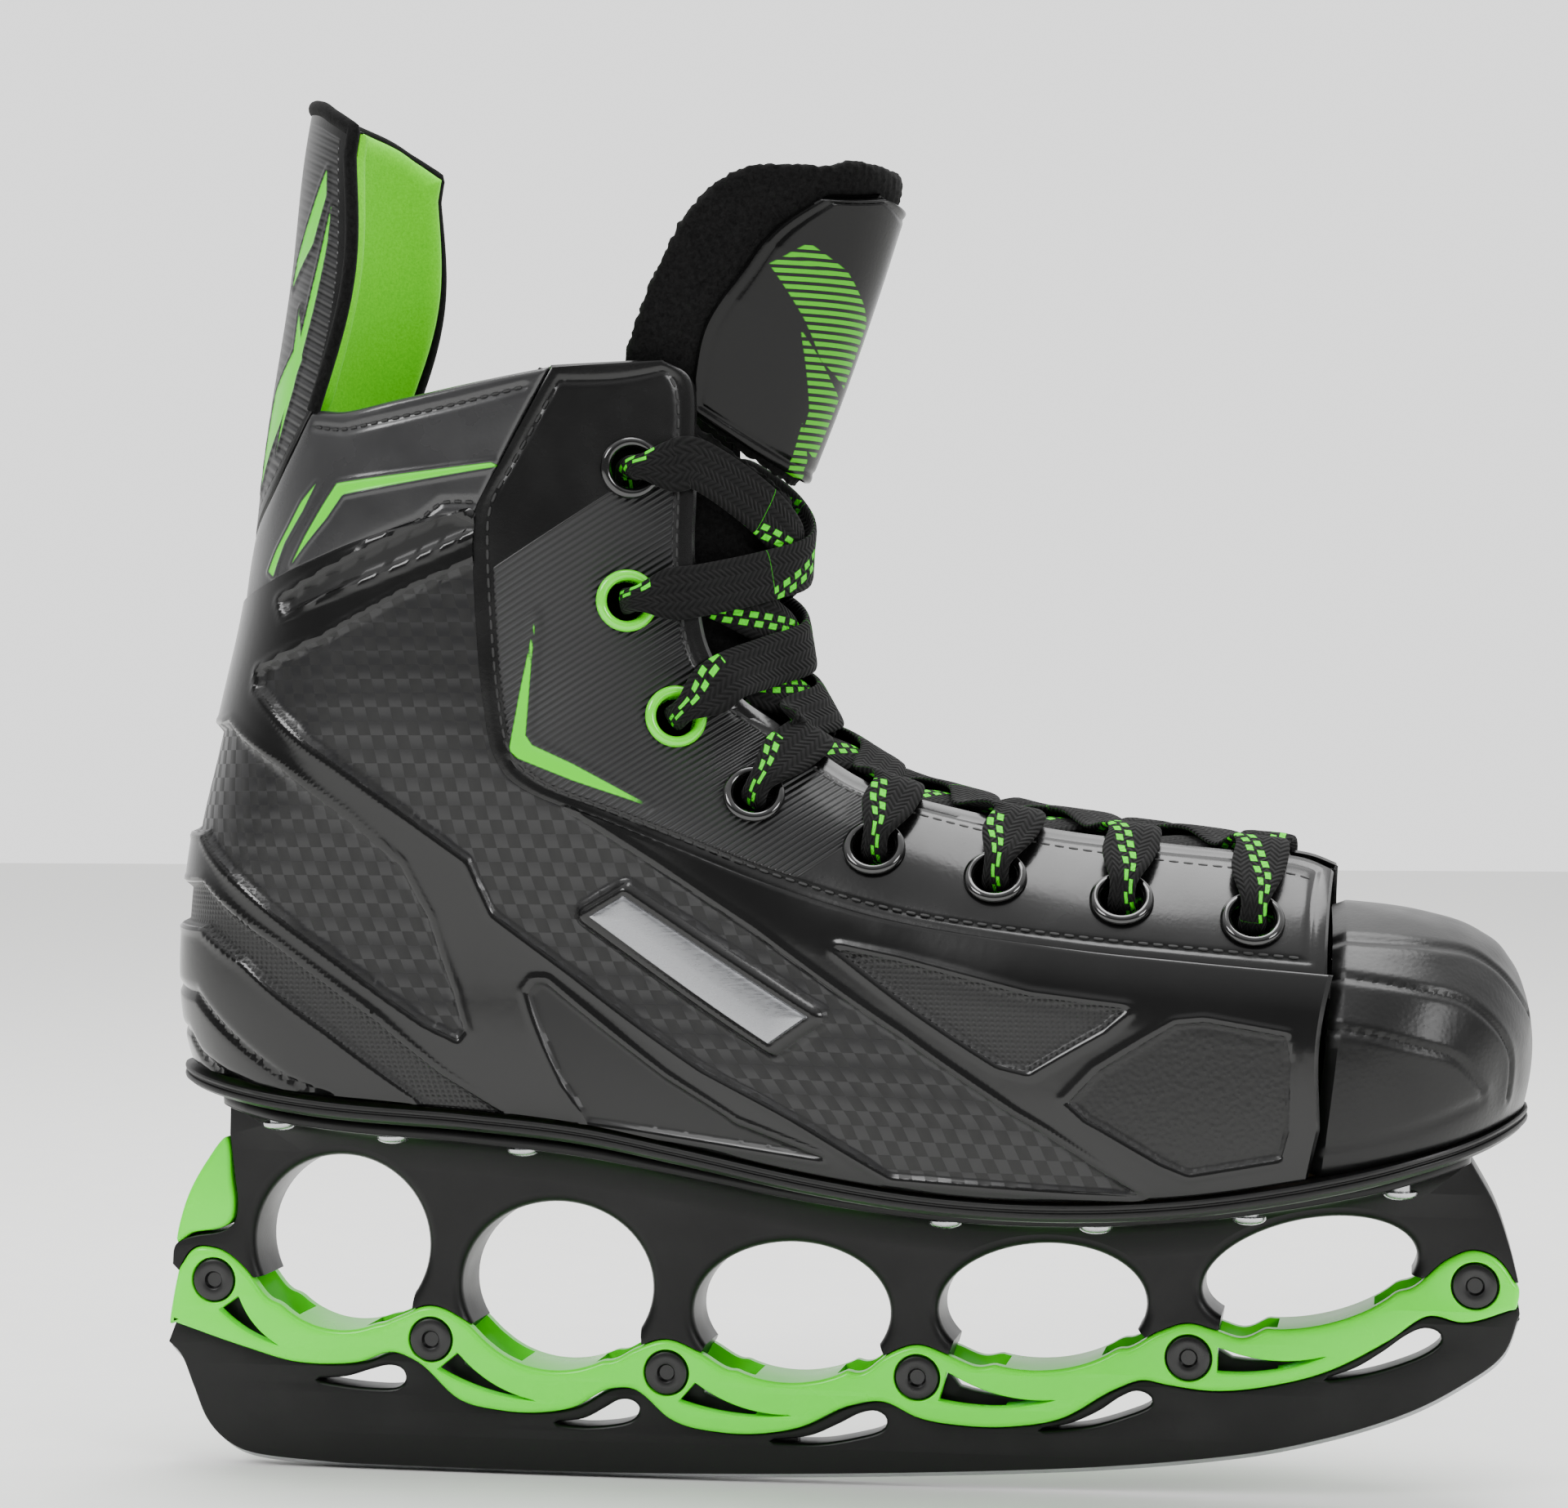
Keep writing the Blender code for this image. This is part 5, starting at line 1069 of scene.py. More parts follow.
@dataclass
class Guard:
    """The tendon guard: a ribbed shell with flashes, bound in felt, and the brushed pad inside it."""

    shell: bpy.types.Material
    felt: bpy.types.Material
    pad: bpy.types.Material
    proud: float = 0.4
    thick: float = 2.4
    pad_thick: float = 4.0
    bow: float = 4.0
    binding: float = 1.7
    top: tuple = ((-110.6, 287.0), (-104.0, 284.0), (-98.4, 280.6), (-93.4, 277.4))
    flashes: tuple = (((31.0, 270.0), (26.0, 261.5), (20.5, 252.8), (19.0, 247.0), (28.2, 255.0), (31.8, 264.5)),
                      ((25.8, 242.0), (26.5, 233.2), (18.8, 225.5), (16.0, 205.0), (25.2, 218.2), (30.8, 231.2)),
                      ((34.0, 262.2), (33.8, 254.2), (32.0, 241.0), (29.0, 224.8), (25.5, 213.0), (28.2, 233.0),
                       (30.5, 246.2)))

    def flat(self, inset: float, foot_rise: float, columns: int = 60, rows: int = 120) -> np.ndarray:
        """Unrolled points from the guard's foot to its top, bowed out between them by a sine."""
        foot = evenly(flattened([(x + 0.5, z + foot_rise) for x, z in GUARD_LINE]), columns)
        top = evenly(flattened(self.top), columns)
        foot[:, 0] *= 1 - inset / 60
        top[:, 0] *= 1 - inset / 60
        top[:, 1] -= inset
        t = np.linspace(0, 1, rows)[None, :, None]
        flat = foot[:, None] * (1 - t) + top[:, None] * t
        flat[..., 0] += (flat[..., 0] / 40) * self.bow * np.sin(math.pi * np.clip(t[..., 0] * 1.1, 0, 1))
        return flat

    def build(self) -> None:
        """Makes the shell, its binding and the pad."""
        flat = self.flat(0.0, 0.6)
        grid = whole(lambda side: surface(flat, side))
        both = np.concatenate([flat[::-1], flat[1:]])
        if np.abs(surface(flat, -1)[::-1][5, 5] - grid[5, 5]).max() > 1e-6:
            both = both[:, ::-1]
        inner = border_distance(grid)
        mark = np.min([distance_to(both, np.array(points)) for points in self.flashes], axis=0)
        outer = lifted(grid, self.proud + edge_drop(inner, 1.1) + raised_line(mark, 0.5, 0.5, 0.3))
        points, faces = walled(outer, self.thick)
        piece("guard_panel", points, [faces], self.shell, Ride("guard", ("tendon_guard",), "guard_shell"),
              fields=doubled(skin=skin_field(both), ribbed=3.4 - inner, flash=mark))
        middle = lifted(grid, self.proud - self.thick / 2 + 0.7)
        edge = self.rim(middle)
        turn = np.arange(14) * 2 * math.pi / 14
        section = np.column_stack([np.cos(turn) * self.binding, np.sin(turn) * (self.thick / 2 + 0.2)])
        line = evenly(edge, 260, smooth=False)
        out = line - middle.reshape(-1, 3).mean(0)
        points, faces = capped_tube(swept(line, out, section))
        piece("guard_binding", points, faces, self.felt, Ride("guard", (), "felt"), outward=True)
        lining = self.flat(0.4, 4.2)
        grid = whole(lambda side: surface(lining, side))
        inner = border_distance(grid)
        outer = lifted(grid, self.proud - self.thick - GAP)
        points, faces = walled(outer, self.pad_thick * (0.35 + 0.65 * roundoff(inner / 5)))
        made = new_object("guard_lining", points, [faces], self.pad)
        dressed(made, Ride("guard", ("guard_pad",), "lining_cloth"))

    def rim(self, middle: np.ndarray) -> np.ndarray:
        """The border of the guard without its foot, from one end of the foot up, over the top and down."""
        foot_first = middle[0, 0, 2] < middle[0, -1, 2]
        rows = middle if foot_first else middle[:, ::-1]
        return np.concatenate([rows[0], rows[1:-1, -1], rows[-1, ::-1]])


@dataclass
class Inside:
    """The brushed lining round the heel and the thin black counter that backs the shell's and collar's seams."""

    cloth: bpy.types.Material
    counter: bpy.types.Material
    counter_depth: float = 2.45
    counter_thick: float = 0.35
    counter_below: float = 3.0
    top: tuple = ((-122.9, 190.6), (-117.4, 195.4), (-110.4, 204.0), (-104.2, 213.0), (-99.6, 217.4),
                  (-93.9, 217.6), (-81.9, 219.8), (-64.8, 223.4), (-54.0, 225.4), (-49.0, 219.0),
                  (-47.6, 207.0), (-49.0, 190.0), (-48.4, 172.0), (-43.0, 156.0), (-32.0, 145.0),
                  (-16.0, 135.0), (4.0, 127.4), (30.0, 119.0), (60.0, 113.4), (95.0, 108.6))

    def build(self) -> None:
        """Makes the lining and the counter: each is the boot's surface, sunk by a depth, as a sheet of a thickness.
        """
        low = [(x, z + 4.4) for x, z in SOLE_LINE]
        low[0] = (float(back_line(90)), 90.6)
        low[-1] = (95.0, low[-1][1])
        lowered = [(x, z - self.counter_below) for x, z in self.top]
        for name, top, depth, thick, finish, ride in (
                ("boot_lining", self.top, LINING_DEPTH, LINING_THICK, self.cloth,
                 Ride(replaces=("lining",), slot="lining_cloth")),
                ("heel_counter", lowered, self.counter_depth, self.counter_thick, self.counter, Ride(slot="shell"))):
            flat = between(low, top, 200, 60)
            layers = [whole(lambda side: standing(flat, side, -lift)[0]) for lift in (depth, depth + thick)]
            points, faces = paired(*layers)
            piece(name, points, [faces], finish, ride, outward=True)


@dataclass
class ToeCap:
    """The moulded cap over the toes: nested half rings that shrink towards its crown, with creases round it."""

    finish: bpy.types.Material
    wall: float = 2.2
    crown: float = 120.4
    around: int = 220
    rows: int = 90
    creases: tuple = (((-90.0, 113.8), (-59.5, 112.6), (-35.5, 109.8), (-11.5, 98.6)),
                      ((-90.0, 107.0), (-68.0, 104.6), (-50.0, 101.5), (-33.0, 92.9), (-30.0, 83.2)),
                      ((-90.0, 97.5), (-73.0, 94.7), (-56.5, 91.4), (-44.5, 85.0)))
    facet: tuple = ((-43.5, 83.1), (-70.0, 77.4), (-90.0, 74.5))

    front = staticmethod(hermite([(70, 136.6), (76, 139.8), (83, 141.8), (94.7, 142.7), (102, 141.4),
                                  (108.6, 138.6), (113.5, 134.0), (117.6, 124.3), (119.5, 114.5), (120.4, 105.8)]))

    def build(self) -> None:
        """Makes the cap: x and y are powers of a cosine and a sine, scaled by the front line and a crown."""
        around = np.linspace(-math.pi / 2, math.pi / 2, self.around)[:, None]
        rise = np.sin(np.linspace(0, math.pi / 2, self.rows))[None]
        z = np.full((self.around, self.rows), 90.0)
        for _ in range(8):
            x = toe_line(z) + GAP + (self.front(z) - toe_line(z)) * np.abs(np.cos(around)) ** 0.85
            z = sole_top(x) + (self.crown - sole_top(x)) * rise
        crown = roundoff((self.crown - z) / 30) ** 0.9 * welt(x, z)
        y = TOE_HALF * crown * np.sign(around) * np.abs(np.sin(around)) ** 0.85
        y[:, -1], x[:, -1] = 0.0, toe_line(self.crown) + GAP
        grid = np.dstack([x, y, z])
        hem = np.array([-2.6, 0.0, 0.0])
        grid[0], grid[-1] = grid[1] * (1, 0.984, 1) + hem, grid[-2] * (1, 0.984, 1) + hem
        flat = np.stack([-np.abs(np.degrees(np.broadcast_to(around, z.shape))) * 0.7, z], -1)
        height = np.zeros(z.shape)
        for crease in self.creases:
            line = evenly(crease, 40) * (0.7, 1.0)
            distance = distance_to(flat, line, closed=False)
            height += 0.45 * np.exp(-((distance / 2.6) ** 2)) - 0.75 * np.exp(-((distance / 0.75) ** 2))
        facet = distance_to(flat, evenly(self.facet, 30) * (0.7, 1.0), closed=False)
        height -= 0.5 * np.exp(-((facet / 1.2) ** 2))
        if normals(grid)[self.around // 2, 8, 0] < 0:
            grid, height = grid[:, ::-1], height[:, ::-1]
        rim = edge_drop(border_distance(grid, rows=(True, True), columns=(False, False)), 1.0)
        points, faces = walled(lifted(grid, height * smoothstep(0, 4, self.crown - grid[..., 2]) + rim), self.wall)
        piece("toe_shell", points, [faces], self.finish, Ride(replaces=("toe_cap",), slot="toe_plastic"), weld=True)


def puffed(obj: bpy.types.Object, cap: float, voxel: float = 0.0045, pressure: float = 4.0) -> None:
    """Blows a pad up as cloth over twenty frames, and holds each point within a cap of where it started.

    Args:
        obj: a closed mesh, which is remeshed and smoothed by one subdivision.
        cap: the furthest a point may move, in millimetres.
        voxel: the remesh's size in metres.
        pressure: the cloth's inner pressure.
    """
    scene = bpy.context.scene
    remesh = obj.modifiers.new("remesh", "REMESH")
    remesh.mode, remesh.voxel_size, remesh.use_smooth_shade = "VOXEL", voxel, True
    apply_modifiers(obj)
    start = vertex_array(obj.data)
    cloth = obj.modifiers.new("cloth", "CLOTH")
    cloth.settings.use_pressure, cloth.settings.uniform_pressure_force = True, pressure
    cloth.settings.effector_weights.gravity = 0.0
    for frame in range(1, 21):
        scene.frame_set(frame)
    graph = bpy.context.evaluated_depsgraph_get()
    moved = vertex_array(obj.evaluated_get(graph).to_mesh())
    obj.evaluated_get(graph).to_mesh_clear()
    obj.modifiers.clear()
    scene.frame_set(1)
    step = moved - start
    size = np.linalg.norm(step, axis=1, keepdims=True)
    step *= np.minimum(1.0, cap * MM / np.maximum(size, 1e-9))
    obj.data.vertices.foreach_set("co", (start + step).astype(np.float32).ravel())
    smooth = obj.modifiers.new("smooth", "SUBSURF")
    smooth.levels = smooth.render_levels = 1
    apply_modifiers(obj)
    obj.data.shade_smooth()


def apply_modifiers(obj: bpy.types.Object) -> None:
    """Replaces an object's mesh by what its modifiers make of it."""
    bpy.context.view_layer.update()
    made = bpy.data.meshes.new_from_object(obj.evaluated_get(bpy.context.evaluated_depsgraph_get()))
    obj.modifiers.clear()
    obj.data = made


def vertex_array(mesh: bpy.types.Mesh) -> np.ndarray:
    """A mesh's points as an (n, 3) array in metres."""
    flat = np.empty(len(mesh.vertices) * 3, np.float32)
    mesh.vertices.foreach_get("co", flat)
    return flat.reshape(-1, 3).astype(float)


@dataclass
class Tongue:
    """The felt tongue: a lower pad under the laces, an upper pad above its fold, and the printed face."""

    felt: bpy.types.Material
    face: bpy.types.Material
    pad: float = 6.0
    face_thick: float = 1.4
    wrap: float = math.radians(66)
    low_front: tuple = ((-7.2, 204.4), (-9.4, 192.0), (-9.4, 172.0), (-4.6, 158.0), (4.0, 148.6), (18.0, 140.8),
                        (38.0, 135.2), (66.0, 131.0), (88.0, 127.8), (100.6, 124.4))
    low_edge: tuple = ((-41.0, 228.0), (-47.6, 212.0), (-50.6, 194.0), (-49.4, 172.0), (-40.0, 150.0),
                       (-20.0, 132.6), (10.0, 120.6), (42.0, 114.0), (72.0, 110.0), (99.0, 107.4))
    low_half: tuple = (26.0, 26.4, 26.4, 27.0, 28.4, 30.4, 32.6, 33.4, 33.0, 31.4)
    high_front: tuple = ((-7.0, 204.8), (1.0, 225.0), (8.4, 246.0), (12.6, 259.0), (15.4, 268.0), (14.2, 272.2))
    high_edge: tuple = ((-40.8, 228.4), (-35.4, 242.5), (-30.1, 252.4), (-23.3, 262.2), (-14.8, 268.3),
                        (-3.0, 271.6))
    high_half: tuple = (26.0, 29.0, 32.0, 33.0, 31.6, 29.0)
    reach = staticmethod(hermite([(0.0, 49.0), (0.105, 50.3), (0.275, 52.0), (0.485, 49.5), (0.685, 46.2),
                                  (0.79, 42.0), (0.9, 36.0)]))
    hatches: tuple = (((0.545, -44.6), (0.655, -38.0), (0.63, -23.1), (0.565, -9.9), (0.52, -2.5), (0.325, -3.0),
                       (0.365, -20.6), (0.45, -31.0)),
                      ((0.415, -30.5), (0.325, -13.2), (0.29, -4.1), (0.10, -5.0), (0.13, -17.0), (0.22, -18.1)),
                      ((0.18, -19.0), (0.09, -10.0), (0.02, -8.0), (0.02, -17.0)))

    def arch(self, front: Points, edge: Points, half: Sequence[float], share: np.ndarray,
             turn: np.ndarray) -> np.ndarray:
        """An arched sheet: each row is an arc of an ellipse from one side edge over the front line.

        Args:
            front: the front line, as (x, z).
            edge: the side edges, as (x, z).
            half: the half width along them.
            share: how far along the rows are, from 0 to 1.
            turn: the columns' angles from the middle.

        Returns:
            The grid, facing forwards.
        """
        fine = 1201
        at = share * (fine - 1)
        line = [np.column_stack([np.interp(at, np.arange(fine), c) for c in evenly(p, fine).T])
                for p in (front, edge)]
        width = np.interp(share, np.linspace(0, 1, len(half)), half)
        depth = (1 - np.cos(turn)) / (1 - math.cos(self.wrap))
        plane = line[0][:, None] + (line[1] - line[0])[:, None] * depth[None, :, None]
        grid = np.dstack([plane[..., 0], width[:, None] * np.sin(turn)[None], plane[..., 1]])
        return grid

    def build(self) -> None:
        """Makes both pads as swollen felt and lays the face on the upper one."""
        turn = np.linspace(-1, 1, 90) * self.wrap
        for name, lines, rows, body, node in (
                ("tongue_pad_lower", (self.low_front, self.low_edge, self.low_half), 180, "boot", "tongue_lower"),
                ("tongue_pad_upper", (self.high_front, self.high_edge, self.high_half), 90, "tongue",
                 "tongue_upper")):
            share = np.linspace(0, 1, rows)
            closing = 0.42 * smoothstep(0.8, 1.0, share) ** 2 if body == "tongue" else np.zeros(rows)
            grid = np.concatenate([self.arch(*lines, share[i:i + 1], turn * (1 - closing[i])) for i in range(rows)])
            if normals(grid)[:, 45, 0].mean() < 0:
                grid = grid[:, ::-1]
            inner = border_distance(grid)
            outer = lifted(grid, edge_drop(inner, 2.2) - 0.4)
            points, faces = walled(outer, np.maximum(self.pad - 0.8 + 2 * edge_drop(inner, 2.2), 0.6))
            made = new_object(name, points, [faces], self.felt)
            puffed(made, cap=0.7, voxel=0.0016)
            self.roughen(made)
            dressed(made, Ride(body, (node,), "felt"))
        self.cover()

    def roughen(self, obj: bpy.types.Object) -> None:
        """Ruffles a felt surface by three crossed sines of a few millimetres, a fifth of a millimetre high."""
        place = vertex_array(obj.data) / MM
        ruffle = (np.sin(place[:, 0] * 2.9 + place[:, 1] * 1.7) + np.sin(place[:, 1] * 3.7 - place[:, 2] * 2.1)
                  + np.sin(place[:, 2] * 3.3 + place[:, 0] * 2.3))
        out = np.empty(len(obj.data.vertices) * 3, np.float32)
        obj.data.vertices.foreach_get("normal", out)
        place += out.reshape(-1, 3) * (ruffle * 0.09)[:, None]
        obj.data.vertices.foreach_set("co", (place * MM).astype(np.float32).ravel())

    def cover(self) -> None:
        """The printed face: the middle of the upper pad's front, from its fold to near its top, and its seam."""
        share = np.linspace(0.03, 0.875, 200)
        turn = np.linspace(-1, 1, 180)
        lines = (self.high_front, self.high_edge, self.high_half)
        wide = self.reach(share) * np.sqrt(np.clip((0.9 - share) / 0.1, 0, 1))
        grid = np.concatenate([self.arch(*lines, share[i:i + 1], np.radians(turn * wide[i]))
                               for i in range(len(share))])
        place = np.stack(np.broadcast_arrays(share[:, None], turn[None] * wide[:, None]), -1)
        if normals(grid)[:, 90, 0].mean() < 0:
            grid, place = grid[:, ::-1], place[:, ::-1]
        scale = np.array([70.0, 0.5])
        mark = np.min([distance_to(np.stack([place[..., 0], -np.abs(place[..., 1])], -1) * scale,
                                   np.array(shape) * scale) for shape in self.hatches], axis=0)
        inner = border_distance(grid)
        outer = lifted(grid, GAP + self.face_thick + edge_drop(inner, 1.0)
                       - 0.3 * np.exp(-(((inner - 2.4) / 0.6) ** 2)))
        points, faces = walled(outer, self.face_thick + 0.5)
        piece("tongue_print", points, [faces], self.face, Ride("tongue", ("tongue_face",), "tongue_skin"),
              fields=doubled(skin=grid, flash=mark))


@dataclass
class Lace:
    """One flat lace, laced criss-cross: out of each eyelet, over the tongue and under the other facing."""

    finish: bpy.types.Material
    tongue: Tongue
    width: float = 10.5
    thickness: float = 1.6
    bore: tuple = (5.4, 2.4)
    over: float = 5.0
    under: float = 2.6
    tail: float = 14.0
    reach: float = 17.0
    tracer: float = 58.0

    def tongue_frame(self, r: float, y: float, lift: float) -> tuple[np.ndarray, np.ndarray]:
        """A point above the tongue at a distance y from its middle, a share r down the front line."""
        front, edge = evenly(self.tongue.low_front, 60), evenly(self.tongue.low_edge, 60)
        at = np.clip(r, 0, 1) * 59
        i = min(int(at), 58)
        middle, side = (line[i] + (line[i + 1] - line[i]) * (at - i) for line in (front, edge))
        half = float(np.interp(r, np.linspace(0, 1, len(self.tongue.low_half)), self.tongue.low_half))
        turn = math.asin(np.clip(y / half, -1, 1))
        inward = (side - middle) / (1 - math.cos(self.tongue.wrap))
        point = middle + inward * (1 - math.cos(turn))
        along = front[i + 1] - front[i]
        along = np.array([along[0], 0.0, along[1]]) / np.hypot(*along)
        across = np.array([inward[0] * math.sin(turn), half * math.cos(turn), inward[1] * math.sin(turn)])
        normal = np.cross(along, across)
        normal /= np.linalg.norm(normal)
        return np.array([point[0], y, point[1]]) + normal * lift, along

    def share_of(self, i: int) -> float:
        """How far down the tongue's front line an eyelet sits."""
        line = evenly(self.tongue.low_front, 60)
        return float(np.argmin(np.hypot(*(line - EYELETS[i]).T))) / 59

    def facing_frame(self, i: int, side: int, toward: float, lift: float) -> tuple[np.ndarray, np.ndarray]:
        """A point above the facing between an eyelet and the throat, and the throat's direction."""
        line = evenly(THROAT, 120)
        near = int(np.argmin(np.hypot(*(line - EYELETS[i]).T)))
        px, pz = np.array(EYELETS[i]) + (line[near] - EYELETS[i]) * toward
        point, _ = surface_point(px, pz, side, lift)
        along = line[min(near + 1, 119)] - line[max(near - 1, 0)]
        return point, np.array([along[0], 0.0, along[1]]) / np.hypot(*along)

    def through_eyelet(self, i: int, side: int, outward: bool = True) -> list[tuple]:
        """Stations from under the throat's edge, out through an eyelet's bore and back over the edge."""
        wide, under = (self.width, self.thickness), (self.width * 0.8, self.thickness)
        places = ((1.04, -4.3, under), (0.6, -4.6, under), (0.14, -4.8, self.bore), (0.0, -1.0, self.bore),
                  (0.14, 3.3, self.bore), (0.56, 3.2, wide), (1.0, 2.2, wide))
        run = [(*self.facing_frame(i, side, toward, lift), size) for toward, lift, size in places]
        return run if outward else run[::-1]

    def crossing(self, upper: int, side: int, lift: float) -> list[tuple]:
        """Stations over the tongue from beside one eyelet to the far edge beside the next one up."""
        start, end = self.share_of(upper + 1), self.share_of(upper)
        return [(*self.tongue_frame(start + (end - start) * (0.5 - y / 2), side * y * self.reach, lift),
                 (self.width, self.thickness)) for y in (0.6, 0.0, -0.6)]

    def run(self, side: int) -> list[tuple]:
        """From the middle of the bottom bar up through one eyelet of each pair, and down inside the top."""
        last = len(EYELETS) - 1
        lift = self.under
        stations = [(*self.tongue_frame(self.share_of(last), side * 12.0, lift), (self.width * 0.8, self.thickness))]
        for i in range(last, 0, -1):
            stations += self.through_eyelet(i, side)
            stations += self.crossing(i - 1, side, self.over if side < 0 else self.under)
            side = -side
        mouth, along = self.facing_frame(0, side, 0.0, -1.0)
        tucked, _ = self.facing_frame(0, side, 0.0, -4.9)
        across = np.cross(mouth - tucked, along) / np.linalg.norm(mouth - tucked)
        ends = [(mouth, (along + across) / math.sqrt(2), self.bore), (tucked + along, across, self.bore),
                (tucked + along * 7.0, across, self.bore), (tucked + along * self.tail, across, self.bore)]
        return stations + self.through_eyelet(0, side, outward=False)[:3] + ends

    def build(self) -> None:
        """Carries a rounded flat section along the route. The tracers' path is a zigzag over both faces."""
        lowest = self.share_of(len(EYELETS) - 1)
        middle = (*self.tongue_frame(lowest, 0.0, self.under + 0.4), (self.width * 0.8, self.thickness))
        stations = self.run(-1)[::-1] + [middle] + self.run(1)
        steps = 9
        centre = through([s[0] for s in stations], steps)
        across = through([s[1] for s in stations], steps)
        size = through([s[2] for s in stations], steps)
        turn = np.linspace(0, 2 * math.pi, 40, endpoint=False)
        wide = np.sign(np.cos(turn)) * np.abs(np.cos(turn)) ** 0.55 / 2
        tall = np.sign(np.sin(turn)) * np.abs(np.sin(turn)) ** 0.8 / 2
        section = np.stack([size[:, :1] * wide, size[:, 1:] * tall * (1.16 - 0.3 * wide**2)], -1)
        points, faces = capped_tube(swept(centre, across, section))
        length = np.concatenate([[0], np.cumsum(np.linalg.norm(np.diff(centre, axis=0), axis=1))])
        beat = (length / self.tracer) % 1.0
        zigzag = np.where(beat < 0.5, beat * 4 - 1, 3 - beat * 4) * self.width * 0.42
        faced = np.where(beat < 0.5, 1.0, -1.0)
        v = np.broadcast_to(wide * self.width, (len(centre), 40))
        away = v - zigzag[:, None] + np.where(faced[:, None] * tall[None] >= 0, 0.0, 40.0)
        skin = np.stack([np.broadcast_to(length[:, None], v.shape), v, away], -1).reshape(-1, 3)
        fields = {"skin": np.vstack([skin, [(0.0, 0.0, 40.0), (0.0, 0.0, 40.0)]])}
        piece("laces", points, faces, self.finish, Ride(replaces=("lace",), slot="lace_cotton"), fields=fields,
              outward=True)


# ------------------------------------------------------------------------------------------- under the boot
BOLTS = [(-131.3, 38.5), (-83.7, 27.2), (-33.2, 21.7), (19.3, 22.3), (74.7, 27.9), (131.7, 43.9)]
WINDOWS = [(-103.4, 47.0, 19.0, 18.4, 0.0), (-56.8, 39.0, 20.4, 17.5, 2.0), (-7.1, 34.8, 20.6, 14.4, 2.0),
           (44.9, 37.3, 21.3, 12.8, 5.0), (98.9, 45.6, 21.8, 10.6, 13.0)]
SADDLES = [(-113.2, -98.5), (-64.7, -48.8), (-14.9, 2.3), (37.3, 56.9), (92.5, 111.7)]
SLOTS = [(-31.0, -79.0, -43.3, 19.7), (-24.5, -77.0, -28.3, 25.8), (-17.0, -66.0, -16.8, 27.7),
         (12.0, -46.0, -7.6, 28.7), (22.0, -26.0, 2.3, 27.6)]
PROFILE = [(-143.0, 23.2), (-140.0, 20.0), (-137.4, 13.7), (-134.4, 6.8), (-129.8, 2.2), (-123.4, -0.2),
           (-110.0, -1.3), (-96.0, -1.7), (-50.0, -1.7), (-3.0, -0.4), (48.2, 2.4), (81.6, 6.0), (101.4, 10.2),
           (117.8, 15.8), (129.1, 21.9), (137.2, 28.2), (140.6, 36.6)]
BAND_LOW = [(-141.2, 29.6), (-124.2, 24.3), (-113.5, 21.6), (-106.3, 21.3), (-99.1, 22.0), (-92.0, 24.2),
            (-86.7, 22.3), (-77.8, 14.8), (-69.0, 12.7), (-60.2, 12.5), (-53.2, 13.8), (-45.0, 18.0),
            (-40.2, 18.0), (-32.4, 12.0), (-22.1, 9.6), (-13.5, 9.6), (-4.9, 11.3), (5.3, 16.0), (12.2, 17.0),
            (19.3, 14.0), (29.0, 12.6), (39.1, 12.8), (49.0, 14.8), (59.8, 21.0), (65.0, 23.0), (70.6, 22.2),
            (78.8, 21.3), (91.9, 22.8), (103.2, 26.2), (114.6, 32.4), (122.6, 37.6), (129.0, 36.5), (140.4, 39.8)]
BAND_HIGH = [(140.4, 43.2), (137.6, 47.8), (132.2, 50.9), (126.0, 48.8), (119.3, 43.2), (111.7, 42.2),
             (100.0, 37.4), (92.0, 35.2), (85.6, 32.2), (80.0, 33.6), (74.7, 34.8), (68.4, 32.8), (61.8, 29.4),
             (56.9, 30.4), (46.6, 26.8), (36.8, 25.8), (31.8, 24.8), (26.1, 26.8), (19.3, 28.9), (12.9, 26.6),
             (7.8, 23.0), (2.2, 23.8), (-6.5, 22.6), (-15.0, 23.2), (-19.6, 22.6), (-26.2, 26.0), (-33.2, 28.5),
             (-40.0, 26.4), (-45.0, 23.9), (-48.8, 24.0), (-57.0, 23.6), (-65.0, 25.2), (-71.0, 26.4),
             (-76.2, 31.0), (-83.7, 34.2), (-91.0, 31.7), (-95.0, 30.2), (-98.5, 30.5), (-106.0, 30.4),
             (-113.2, 33.6), (-119.4, 35.0), (-124.4, 41.0), (-131.3, 45.3), (-137.4, 43.4), (-140.0, 38.5)]
TEARDROPS = [
    [(-110.0, 17.2), (-103.6, 18.0), (-98.4, 19.6), (-94.6, 20.6), (-91.8, 20.2),
     (-90.6, 18.6), (-91.2, 16.8), (-94.0, 15.8), (-102.0, 16.0)],
    [(-58.0, 9.7), (-52.0, 10.7), (-47.6, 13.0), (-44.4, 14.8), (-41.6, 14.8),
     (-40.0, 13.2), (-41.4, 10.9), (-45.4, 9.7), (-52.0, 9.1)],
    [(-12.0, 7.4), (-4.0, 8.6), (2.0, 11.2), (6.6, 13.6), (10.0, 14.2),
     (12.2, 12.8), (11.6, 10.6), (7.4, 9.0), (-2.0, 7.2)],
    [(44.0, 11.5), (50.4, 13.0), (56.0, 15.6), (60.4, 18.6), (63.8, 20.0),
     (66.6, 19.0), (66.6, 17.2), (62.4, 15.2), (54.0, 12.6)],
    [(102.0, 23.6), (108.0, 26.0), (113.4, 29.4), (118.0, 32.8), (121.6, 34.4),
     (124.6, 33.6), (124.6, 31.4), (120.0, 28.4), (111.0, 25.2)]]
CLIP = [(-128.4, 68.9), (-127.4, 60.5), (-126.8, 55.3), (-127.4, 51.4), (-130.2, 49.4), (-136.0, 48.4),
        (-139.6, 46.6), (-137.4, 55.6), (-133.2, 63.4)]
BOLT_HEAD, BOLT_SHANK = 4.5, 2.5
SLOT_START = 6.4                # from a bolt to where its slot begins
